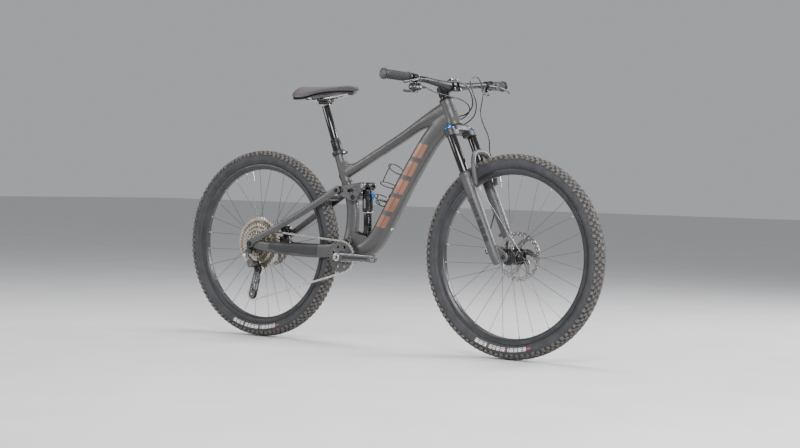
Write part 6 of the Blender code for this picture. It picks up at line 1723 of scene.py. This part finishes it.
def stem():
    base = fork(STEM_BOTTOM, -FORK_OFFSET)
    collar = [(0, 0), (0.0195, 0), (0.02, 0.003), (0.02, STEM_HEIGHT - 0.004), (0.0185, STEM_HEIGHT - 0.001),
              (0, STEM_HEIGHT - 0.001)]
    neck = [(fork(STEM_BOTTOM + 0.02, -FORK_OFFSET + 0.008), 0.0165, 0.017),
            (fork(STEM_BOTTOM + 0.021, -FORK_OFFSET + 0.028), 0.015, 0.017),
            (CLAMP_CENTRE - STEER_AHEAD * 0.01, 0.0165, 0.022)]
    skin = [lathe(collar, base, STEER_UP, 40), loft(neck, 24, 3.4),
            crosswise(CLAMP_CENTRE, 0.025, 0.0215, 40)]
    bores = [rod(base - STEER_UP * 0.02, base + STEER_UP * (STEM_HEIGHT - 0.0035), 0.0146, 36, 0),
             crosswise(CLAMP_CENTRE, 0.05, BAR_RADIUS + 0.0002, 40, 0),
             tilted((0.06, 0.08, 0.08), CLAMP_CENTRE + STEER_AHEAD * 0.0305, 0)]
    piece = Piece("stem")
    piece.add(melted(skin, 0.0014, 4, bores), BLACK_ALLOY)
    top = fork(STEM_BOTTOM + STEM_HEIGHT - 0.0008, -FORK_OFFSET)
    cap = [(0, 0), (0.018, 0), (0.018, 0.0006), (0.0165, 0.0012), (0, 0.0012)]
    piece.add(lathe(cap, top, STEER_UP, 40, 0.0003), SATIN_BLACK_AND_SHADE)
    piece.add(bolt(top + STEER_UP * 0.0008, STEER_UP, 0.0044, 0.001), SILVER)
    for up in (0.01, 0.029):
        start = fork(STEM_BOTTOM + up, -FORK_OFFSET - 0.018, 0.006)
        piece.add(rod(start, start + Y_AXIS * 0.01, 0.004, 20), BLACK_ALLOY)
        piece.add(bolt(start + Y_AXIS * 0.0095, Y_AXIS, 0.0032, 0.0012), SILVER)
    piece.build("steering", ["stem"], "black_alloy", 50)


def stem_faceplate():
    """The stem's front half of the bar clamp, with its four bolts and a window."""
    skin = [crosswise(CLAMP_CENTRE, 0.0245, 0.0215, 48)]
    bolts = []
    for y in (-0.019, 0.019):
        for up in (-0.0192, 0.0192):
            centre = CLAMP_CENTRE + STEER_UP * up + Y_AXIS * y
            skin.append(rod(centre + STEER_AHEAD * 0.003, centre + STEER_AHEAD * 0.014, 0.0052, 24))
            bolts.append(bolt(centre + STEER_AHEAD * 0.0136, STEER_AHEAD, 0.0036, 0.0022))
    bores = [crosswise(CLAMP_CENTRE, 0.05, BAR_RADIUS + 0.0002, 40, 0),
             tilted((0.06, 0.08, 0.08), CLAMP_CENTRE - STEER_AHEAD * 0.0285, 0),
             tilted((0.016, 0.02, 0.022), CLAMP_CENTRE + STEER_AHEAD * 0.023, 0)]
    piece = Piece("stem_faceplate")
    piece.add(melted(skin, 0.0011, 3, bores), BLACK_ALLOY)
    for shape in bolts:
        piece.add(shape, SILVER)
    piece.build("steering", ["stem_faceplate"], "black_alloy", 50)


def handlebar():
    half = [Vector((x, y, z)) for y, x, z in BAR_ROUTE]
    radii = [BAR_RADIUS if y < 0.05 else (0.013 if y < 0.1 else BAR_END_RADIUS) for y, _, _ in BAR_ROUTE]
    route = [Vector((p.x, -p.y, p.z)) for p in reversed(half[1:])] + half
    widths = list(reversed(radii[1:])) + radii
    piece = Piece("handlebar")
    piece.add(tube(smooth_route(route, 10), smooth_numbers(widths, 10), 32), SATIN_BLACK_AND_SHADE)
    for hand in (-1, 1):
        for y in (0.06, 0.066):
            direction = bar_point(hand * (y + 0.004)) - bar_point(hand * (y - 0.004))
            mark = ring(0.012, 0.0153 - (y - 0.06) * 0.1, 0, 0.0008)
            piece.add(lathe(mark, bar_point(hand * y), direction, 36, 0), GREY_PRINT)
    piece.build("steering", ["handlebar"], "black_alloy")


def grip(name, hand):
    inner, outer = bar_point(hand * 0.2635), bar_point(hand * 0.3925)
    direction = outer - inner
    length = direction.length
    piece = Piece(name)
    piece.add(lathe([(0.0112, 0.011), (0.0158, 0.011), (0.0158, length - 0.01), (0.0112, length - 0.01)],
                    inner, direction, 40), GRIP)
    ribs = 26
    for k in range(ribs):
        low = 0.0135 + k * (length - 0.027) / ribs
        radius = 0.0164 + 0.0006 * sin(pi * k / ribs)
        piece.add(lathe([(0.015, low), (radius, low + 0.0006), (radius, low + 0.0026),
                         (0.015, low + 0.0033)], inner,
                        direction, 32, 0.0004), GRIP)
    for low, high in ((0.0, 0.011), (length - 0.0095, length - 0.002)):
        piece.add(lathe(ring(0.0113, 0.0184 if low == 0 else 0.0202, low, high), inner, direction, 44,
                        0.0008),
                  SATIN_BLACK_AND_SHADE)
    piece.add(lathe([(0, length - 0.004), (0.0175, length - 0.004), (0.0178, length - 0.0014),
                     (0.016, length),
                     (0, length)], inner, direction, 40), PLASTIC)
    clamp_bolt = inner + direction.normalized() * 0.0055 + Vector((0.004, 0, -0.0172))
    piece.add(bolt(clamp_bolt, -Z_AXIS, 0.0026, 0.002), SILVER)
    piece.build("steering", [name], "grip_rubber")


def clamp_band(y, width, outer):
    hand = 1 if y > 0 else -1
    direction = bar_point(y + hand * 0.01) - bar_point(y - hand * 0.01)
    return lathe(ring(BAR_END_RADIUS + 0.0004, outer, -width / 2, width / 2), bar_point(y), direction, 40,
                 0.0008)


def brake_master(label, hand):
    """A brake's master cylinder with its lid, clamp band, hose socket and blade mount."""
    piece = Piece(f"brake_master_{label}")
    piece.add(clamp_band(hand * MASTER_Y, 0.013, 0.0162), BLACK_ALLOY)
    ends = [bar_point(hand * MASTER_INNER_Y, 0.0285, -0.004),
            bar_point(hand * (MASTER_INNER_Y + 0.012), 0.029, -0.004),
            bar_point(hand * (MASTER_Y + 0.006), 0.031, -0.006)]
    body = [tube(smooth_route(ends, 6), 0.0093, 28),
            block((0.013, 0.012, 0.01), bar_point(hand * MASTER_Y, 0.02, -0.003), bevel=0.002)]
    for up in (-0.0125, 0.0035):
        body.append(block((0.018, 0.022, 0.003), bar_point(hand * (BLADE_PIVOT_Y - 0.003), 0.034, up),
                          bevel=0.0012))
    piece.add(melted(body, 0.001, 4), BLACK_ALLOY)
    lid = block((0.015, 0.033, 0.002), bar_point(hand * 0.222, 0.0298, 0.0044), bevel=0.0012, segments=3)
    piece.add(lid, SATIN_BLACK_AND_SHADE)
    for y in (0.209, 0.235):
        piece.add(bolt(bar_point(hand * y, 0.0298, 0.005), Z_AXIS, 0.002, 0.001), SILVER)
    socket = bar_point(hand * (MASTER_INNER_Y - 0.0006), 0.0285, -0.004)
    piece.add(lathe(ring(0.0045, 0.0078, 0, 0.006), socket, Y_AXIS * hand, 28), GREY_ALLOY)
    for way in (1, -1):
        piece.add(bolt(blade_pivot(hand) + Z_AXIS * (way * 0.0095 - way * 0.0002), Z_AXIS * way, 0.004,
                       0.001), SILVER)
    piece.add(bolt(bar_point(hand * MASTER_Y, 0.02, -0.0085), -Z_AXIS, 0.003, 0.002), SILVER)
    piece.build("steering", [f"brake_master_{label}"], "black_alloy", 50)


def blade_pivot(hand):
    return bar_point(hand * BLADE_PIVOT_Y, 0.036, -0.0045)


def brake_blade(label, hand):
    """A brake's finger lever, with three dark discs near its end as painted shade for its dimples."""
    name = f"brake_blade_{label}"
    pivot = blade_pivot(hand)
    route = smooth_route([pivot, bar_point(hand * 0.276, 0.047, -0.009),
                          bar_point(hand * 0.31, 0.053, -0.018),
                          bar_point(hand * 0.345, 0.051, -0.027)], 8)
    widths = [0.0052 if k < 6 else (0.0042 if k < len(route) - 5 else 0.005) for k in range(len(route))]
    piece = Piece(name)
    piece.add(tube(route, widths, 20, flat=0.78), GREY_ALLOY)
    piece.add(lathe(ring(0.0022, 0.0052, -0.006, 0.006), pivot, Z_AXIS, 24), GREY_ALLOY)
    # Dark discs near the blade's end: painted shade for its dimples.
    for k in range(3):
        spot = route[-8 + k * 2] + Vector((0.0036, 0, 0))
        piece.add(lathe(ring(0, 0.0014, 0, 0.0008), spot, X_AXIS, 10, 0), SATIN_BLACK_AND_SHADE)
    piece.build(name, [name], "grey_alloy", 50)


def paddle(pivot, drop, points, name, body, disc):
    """A thumb lever: a disc round its pivot and a ribbed paddle."""
    piece = Piece(name)
    piece.add(lathe(disc, pivot, Z_AXIS, 36), GREY_ALLOY)
    route = smooth_route([pivot + Vector(p) for p in points], 8)
    widths = [0.003 + 0.0016 * k / (len(route) - 1) for k in range(len(route))]
    piece.add(tube(route, widths, 18, flat=1.1), GREY_ALLOY)
    for k in range(4):
        spot = route[-2 - 2 * k]
        piece.add(block((0.0085, 0.001, 0.001), spot + Z_AXIS * drop, bevel=0.0003, segments=1), SATIN_BLACK_AND_SHADE)
    piece.build(body, [name], "grey_alloy", 50)


def shifter():
    piece = Piece("shifter_body")
    piece.add(clamp_band(SHIFTER_Y, 0.012, 0.0158), BLACK_ALLOY)
    pod = lathe([(0, -0.013), (0.019, -0.013), (0.0235, -0.0085), (0.024, -0.006), (0.024, 0.005),
                 (0.019, 0.0112),
                 (0, 0.012)], SHIFT_PIVOT, Z_AXIS, 44, 0.001)
    neck = block((0.016, 0.01, 0.01), bar_point(SHIFTER_Y, 0.002, -0.0185), bevel=0.002)
    barrel = rod(SHIFT_PIVOT + Vector((0.01, 0.015, 0)), SHIFT_PIVOT + Vector((0.016, 0.036, -0.002)),
                 0.005, 24)
    piece.add(melted([pod, neck, barrel], 0.0011, 3), PLASTIC)
    piece.add(lathe(ring(0.01, 0.0185, 0.0, 0.0008), SHIFT_PIVOT + Z_AXIS * 0.0112, Z_AXIS, 40), BRIGHT_ALLOY_AND_HIGHLIGHT)
    piece.add(lathe(ring(0.0236, 0.0248, -0.0045, -0.0015), SHIFT_PIVOT, Z_AXIS, 48, 0.0002), BRIGHT_ALLOY_AND_HIGHLIGHT)
    piece.add(bolt(SHIFT_PIVOT + Vector((0.0155, 0, 0.01)), Z_AXIS, 0.0024, 0.0012), SILVER)
    piece.build("steering", ["shifter_body"], "black_alloy", 50)
    paddle(SHIFT_PIVOT, -0.004, ((0, 0, -0.0185), (-0.012, -0.022, -0.0185), (-0.02, -0.044, -0.0165)),
           "shift_lever",
           "shift_lever", ring(0, 0.011, -0.0215, -0.0134))


def dropper_control():
    piece = Piece("dropper_remote")
    piece.add(clamp_band(REMOTE_Y, 0.012, 0.0158), BLACK_ALLOY)
    neck = block((0.014, 0.011, 0.013), bar_point(REMOTE_Y, 0.002, -0.0195), bevel=0.002)
    barrel = rod(bar_point(REMOTE_Y - 0.004, 0.002, -0.021), bar_point(REMOTE_Y - 0.03, 0.006, -0.0215),
                 0.005, 24)
    piece.add(melted([neck, barrel], 0.001, 3), BLACK_ALLOY)
    piece.add(bolt(bar_point(REMOTE_Y, 0.0088, -0.018), X_AXIS, 0.0024, 0.0014), SILVER)
    piece.build("steering", ["dropper_remote"], "black_alloy", 50)
    paddle(DROPPER_PIVOT, -0.004, ((0, 0, -0.0063), (-0.01, 0.022, -0.007), (-0.018, 0.046, -0.005)),
           "dropper_lever",
           "dropper_lever", ring(0, 0.01, -0.009, -0.0034))


# ---- seat post and saddle ----
STANCHION_TOP = 0.175
RAIL_RADIUS = 0.0035
RAIL_Y = 0.022
RAIL_LINE = (Vector((-0.345, 0, 0.9395)), Vector((-0.245, 0, 0.9505)))
# The cushion's stations from back to front: centre, half depth and half width.
CUSHION = [((-0.413, 0, 0.98), 0.007, 0.044), ((-0.4085, 0, 0.9795), 0.0115, 0.06),
           ((-0.4, 0, 0.979), 0.0148, 0.067), ((-0.375, 0, 0.9785), 0.0158, 0.07),
           ((-0.335, 0, 0.9785), 0.0145, 0.064), ((-0.285, 0, 0.9805), 0.0122, 0.043),
           ((-0.225, 0, 0.9835), 0.0115, 0.0255), ((-0.165, 0, 0.9845), 0.0118, 0.019),
           ((-0.142, 0, 0.983), 0.01, 0.0145), ((-0.1345, 0, 0.9805), 0.0055, 0.0085)]


def seat_clamp():
    ears = post(-0.022) + Vector((0.03, 0, 0.0045))
    piece = Piece("seat_clamp")
    piece.add(lathe(ring(0.0215, 0.0254, -0.03, -0.0145), POST_FOOT, POST_UP, 48, 0.0008), SATIN_BLACK_AND_SHADE)
    for y in (-0.005, 0.005):
        piece.add(block((0.016, 0.007, 0.011), ears + Y_AXIS * y, bevel=0.0016, segments=3), SATIN_BLACK_AND_SHADE)
    piece.add(rod(ears + Vector((0.003, -0.0112, 0)), ears + Vector((0.003, 0.0112, 0)), 0.003, 20), SILVER)
    piece.add(bolt(ears + Vector((0.003, -0.0085, 0)), -Y_AXIS, 0.004, 0.003), SILVER)
    piece.build("frame", ["seat_clamp"], "black_alloy")


def dropper_lower_tube():
    """The dropper post's lower tube, with its ribbed collar and wiper."""
    outside = [(0, -0.178), (0.0175, -0.178), (0.0175, -0.011), (0.0187, -0.011), (0.0187, 0.024),
               (0.018, 0.0246),
               (0.018, 0.0258), (0.0187, 0.0264), (0.0187, 0.033), (0.0165, 0.036)]
    inside = [(0.0151, 0.036), (0.0151, -0.168), (0, -0.168)]
    piece = Piece("dropper_lower_tube")
    piece.add(lathe(outside + inside, POST_FOOT, POST_UP, 48, 0.0004), BLACK_ALLOY)
    piece.add(lathe(ring(0.0151, 0.016, 0.0355, 0.0372), POST_FOOT, POST_UP, 44), SEAL)
    for angle in around(24):
        rib = facing(POST_UP) @ Vector((0.0186 * cos(angle), 0.0186 * sin(angle), 0))
        piece.add(rod(post(0.0275) + rib, post(0.0325) + rib, 0.0006, 6, 0), BLACK_ALLOY)
    piece.build("frame", ["dropper_lower_tube"], "black_alloy")


def dropper_stanchion():
    piece = Piece("dropper_stanchion")
    piece.add(rod(post(-0.012), post(STANCHION_TOP - 0.002), 0.015, 48), STANCHION)
    collar = [(0, 0), (0.0148, 0), (0.0148, 0.004), (0, 0.005)]
    piece.add(lathe(collar, post(STANCHION_TOP - 0.005), POST_UP, 40), BLACK_ALLOY)
    piece.build("saddle", ["dropper_stanchion"], "stanchion_black")


def saddle_clamp():
    """The two halves that hold the rails, with their bolts and cross pins."""
    head = post(STANCHION_TOP)
    low, high = head + Vector((-0.001, 0, 0.0125)), head + Vector((-0.001, 0, 0.0225))
    halves = [block((0.046, 0.034, 0.013), low, bevel=0.003, segments=3),
              block((0.04, 0.06, 0.012), high, bevel=0.003, segments=3)]
    grooves = [rod(RAIL_LINE[0] + Y_AXIS * y, RAIL_LINE[1] + Y_AXIS * y, RAIL_RADIUS + 0.0004, 24, 0)
               for y in (-RAIL_Y, RAIL_Y)]
    piece = Piece("saddle_clamp")
    piece.add(melted(halves, 0.0011, 3, grooves), BLACK_ALLOY)
    for x in (-0.0185, 0.0175):
        piece.add(rod(head + Vector((x, 0, 0.006)), head + Vector((x, 0, 0.027)), 0.0026, 16), SILVER)
        piece.add(bolt(head + Vector((x, 0, 0.0076)), -Z_AXIS, 0.0042, 0.0036), SILVER)
        piece.add(crosswise(head + Vector((x, 0, 0.0288)), 0.01, 0.004, 20), GREY_ALLOY)
    piece.build("saddle", ["saddle_clamp"], "black_alloy", 50)


def draped(shape):
    """The saddle's outer edges bent down, most of all at the back."""
    points, faces = shape
    bent = []
    for p in points:
        p = Vector(p)
        back = min(1.0, max(0.0, (-0.235 - p.x) / 0.11))
        p.z -= (0.008 + 0.018 * back) * (p.y / 0.07) ** 2
        bent.append(p)
    return bent, faces


def saddle_rails():
    half = [Vector((-0.395, 0, 0.9595)), Vector((-0.378, 0, 0.948)), *RAIL_LINE,
            Vector((-0.215, -0.004, 0.957)), Vector((-0.18, -0.01, 0.963))]
    left = [p + Y_AXIS * RAIL_Y for p in half]
    right = [Vector((p.x, -p.y, p.z)) for p in left]
    nose = [Vector((-0.168, 0.006, 0.9635)), Vector((-0.168, -0.006, 0.9635))]
    route = smooth_route(left, 6) + nose + list(reversed(smooth_route(right, 6)))
    piece = Piece("saddle_rails")
    piece.add(tube(route, RAIL_RADIUS, 20), SILVER)
    piece.build("saddle", ["saddle_rails"], "steel")


def saddle_shell():
    """The stiff base under the cushion, with its rail sockets and ribs."""
    base = [((-0.412, 0, 0.966), 0.0025, 0.046), ((-0.404, 0, 0.965), 0.0035, 0.062),
            ((-0.385, 0, 0.9635), 0.0035, 0.066), ((-0.34, 0, 0.9635), 0.0035, 0.06),
            ((-0.285, 0, 0.966), 0.0035, 0.038), ((-0.22, 0, 0.969), 0.0035, 0.022),
            ((-0.165, 0, 0.969), 0.0035, 0.016), ((-0.145, 0, 0.968), 0.003, 0.01)]
    piece = Piece("saddle_shell")
    piece.add(draped(loft(base, 32, 4)), PLASTIC)
    for hand in (-1, 1):
        piece.add(block((0.02, 0.013, 0.01), (-0.39, hand * RAIL_Y, 0.96), bevel=0.002, segments=3), PLASTIC)
    piece.add(block((0.024, 0.024, 0.009), (-0.172, 0, 0.964), bevel=0.003, segments=3), PLASTIC)
    for x in (-0.345, -0.3):
        for hand in (-1, 1):
            piece.add(block((0.016, 0.003, 0.003), (x, hand * 0.022, 0.964), bevel=0.001), PLASTIC)
    piece.build("saddle", ["saddle_shell"], "black_plastic")


def hollowed(shape):
    """The saddle's top, with a shallow channel along its middle."""
    points, faces = shape
    shaped = []
    for p in points:
        p = Vector(p)
        middle = max(0.0, 1 - abs(p.x + 0.285) / 0.095)
        if p.z > 0.984 and middle > 0:
            p.z -= 0.0035 * middle ** 0.5 * max(0.0, 1 - (p.y / 0.009) ** 2)
        shaped.append(p)
    return shaped, faces


def saddle_cover():
    piece = Piece("saddle_cover")
    piece.add(draped(hollowed(loft(CUSHION, 56, 2.5, 6))), LEATHER)
    cushion = piece.build("saddle", ["saddle_cover"], "saddle_cover", 60)


def saddle_trim():
    """The seam round the cushion's edge, and a small flash at each rear corner."""
    seam = [Vector((place[0], width * 0.93, place[2] + depth * 0.3)) for place, depth, width in CUSHION[1:-1]]
    corner = ((-0.402, 0.058, 0.978), (-0.385, 0.0695, 0.979), (-0.35, 0.0672, 0.979))
    piece = Piece("saddle_trim")
    for hand in (-1, 1):
        line = smooth_route([Vector((p.x, hand * p.y, p.z)) for p in seam], 5)
        piece.add(draped(tube(line, 0.0009, 8)), DARK_PRINT_AND_SHADE)
        flash = smooth_route([Vector((x, hand * y, z)) for x, y, z in corner], 5)
        piece.add(draped(tube(flash, 0.0012, 8)), GREY_PRINT)
    piece.build("saddle", slot="saddle_cover")


# ---- hoses ----
HOSE_RADIUS = 0.0026
HOUSING_RADIUS = 0.0023
FRONT_CALIPER = fork(0.045, -0.08)
REAR_CALIPER = Vector((-0.518, 0, 0.42))
FRONT_CALIPER_OUT = (FRONT_CALIPER - FRONT_AXLE).normalized()
FRONT_BANJO = FRONT_CALIPER + FRONT_CALIPER_OUT * 0.023 + Y_AXIS * 0.0395
LEFT_MASTER_END = bar_point(MASTER_INNER_Y, 0.0285, -0.004) - Y_AXIS * 0.001
RIGHT_MASTER_END = bar_point(-MASTER_INNER_Y, 0.0285, -0.004) + Y_AXIS * 0.001
REMOTE_END = bar_point(REMOTE_Y - 0.03, 0.006, -0.0215) - Y_AXIS * 0.0012


def hose(name, points, radius, bodies, start, end):
    """One hose or housing along a smooth curve, built in place and riding on no body."""
    path = smooth_route([Vector(p) for p in points], 3)
    piece = Piece(name)
    piece.add(tube(path, radius, 14), HOSE)
    obj = piece.build(bodies[0], [name], "hose_black", 60, ride=False)
    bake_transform(obj)


def hoses():
    first, second, third = (side(place, PORT_Y + 0.0012) for place in PORT_PLACES)
    crossing = dict(bodies=("frame", "steering"), start=(0.3, 0.058, 0.872), end=(0.356, 0.045, 0.935))
    hose("rear_brake_hose", [
        RIGHT_MASTER_END, RIGHT_MASTER_END + Vector((0.001, 0.012, 0)), (0.333, -0.15, 0.996),
        (0.342, -0.09, 0.997), (0.348, -0.03, 1.002), (0.352, 0.022, 0.99), (0.358, 0.052, 0.955),
        (0.352, 0.066, 0.915), (0.325, 0.068, 0.888), (0.296, 0.056, 0.879),
        first + Y_AXIS * 0.007, first], HOSE_RADIUS, **crossing)
    hose("shift_housing", [
        SHIFT_PIVOT + Vector((0.0163, 0.0372, -0.0021)), SHIFT_PIVOT + Vector((0.0185, 0.045, -0.003)),
        (0.327, -0.15, 0.959), (0.338, -0.08, 0.948), (0.35, -0.01, 0.938), (0.358, 0.03, 0.92),
        (0.348, 0.054, 0.897), (0.32, 0.062, 0.875), (0.29, 0.058, 0.863), second + Y_AXIS * 0.007, second],
        HOUSING_RADIUS, **crossing)
    hose("dropper_housing", [
        REMOTE_END, REMOTE_END + Vector((0.003, -0.01, 0.001)), (0.334, 0.15, 1.005),
        (0.344, 0.11, 1.026), (0.35, 0.07, 1.022), (0.358, 0.04, 1.005), (0.372, 0.04, 0.965),
        (0.374, 0.06, 0.925), (0.35, 0.082, 0.88), (0.305, 0.08, 0.848), (0.272, 0.064, 0.842),
        third + Y_AXIS * 0.007, third], HOUSING_RADIUS, **crossing)
    hose("front_brake_hose", [
        LEFT_MASTER_END, LEFT_MASTER_END + Vector((0.002, -0.014, -0.002)), (0.35, 0.146, 0.98),
        (0.364, 0.116, 0.94), (0.37, 0.096, 0.895), (0.386, 0.094, 0.85), (0.412, 0.094, 0.8),
        fork(0.42, 0.004, 0.094), fork(0.35, -0.004, 0.095), fork(0.28, -0.03, 0.0955),
        fork(0.2, -0.064, 0.088), fork(0.15, -0.09, 0.07), FRONT_BANJO + FRONT_CALIPER_OUT * 0.03,
        FRONT_BANJO + FRONT_CALIPER_OUT * 0.01, FRONT_BANJO + FRONT_CALIPER_OUT * 0.0003], HOSE_RADIUS,
        bodies=("steering", "fork_lowers"), start=tuple(fork(0.44, 0.0, 0.09)),
        end=tuple(fork(0.25, 0.0, 0.09)))


# ---- everything, in order ----
add_camera()
hoses()
add_studio()
add_floor()
front_wheel()
rear_wheel()
main_frame()
headset()
bottom_bracket()
bottle_cage()
seat_clamp()
rocker()
seatstays()
chainstays()
rear_axle()
shock_body()
shock_shaft()
shock_lever()
caliper("front_caliper", FRONT_CALIPER, FRONT_AXLE, 0.0395, "fork_lowers")
caliper("rear_caliper", REAR_CALIPER, REAR_AXLE, 0.0575, "swingarm")
cassette()
chain()
chainring()
cranks()
derailleur_body()
derailleur_cage()
pulley("guide_pulley", GUIDE_PULLEY)
pulley("tension_pulley", TENSION_PULLEY)
fork_crown()
stanchion("stanchion_right", -FORK_LEG_Y)
stanchion("stanchion_left", FORK_LEG_Y)
damper_knob()
fork_lowers()
front_axle()
stem()
stem_faceplate()
handlebar()
grip("grip_right", -1)
grip("grip_left", 1)
for label, hand in (("right", -1), ("left", 1)):
    brake_master(label, hand)
    brake_blade(label, hand)
shifter()
dropper_control()
dropper_lower_tube()
dropper_stanchion()
saddle_clamp()
saddle_rails()
saddle_shell()
saddle_cover()
saddle_trim()
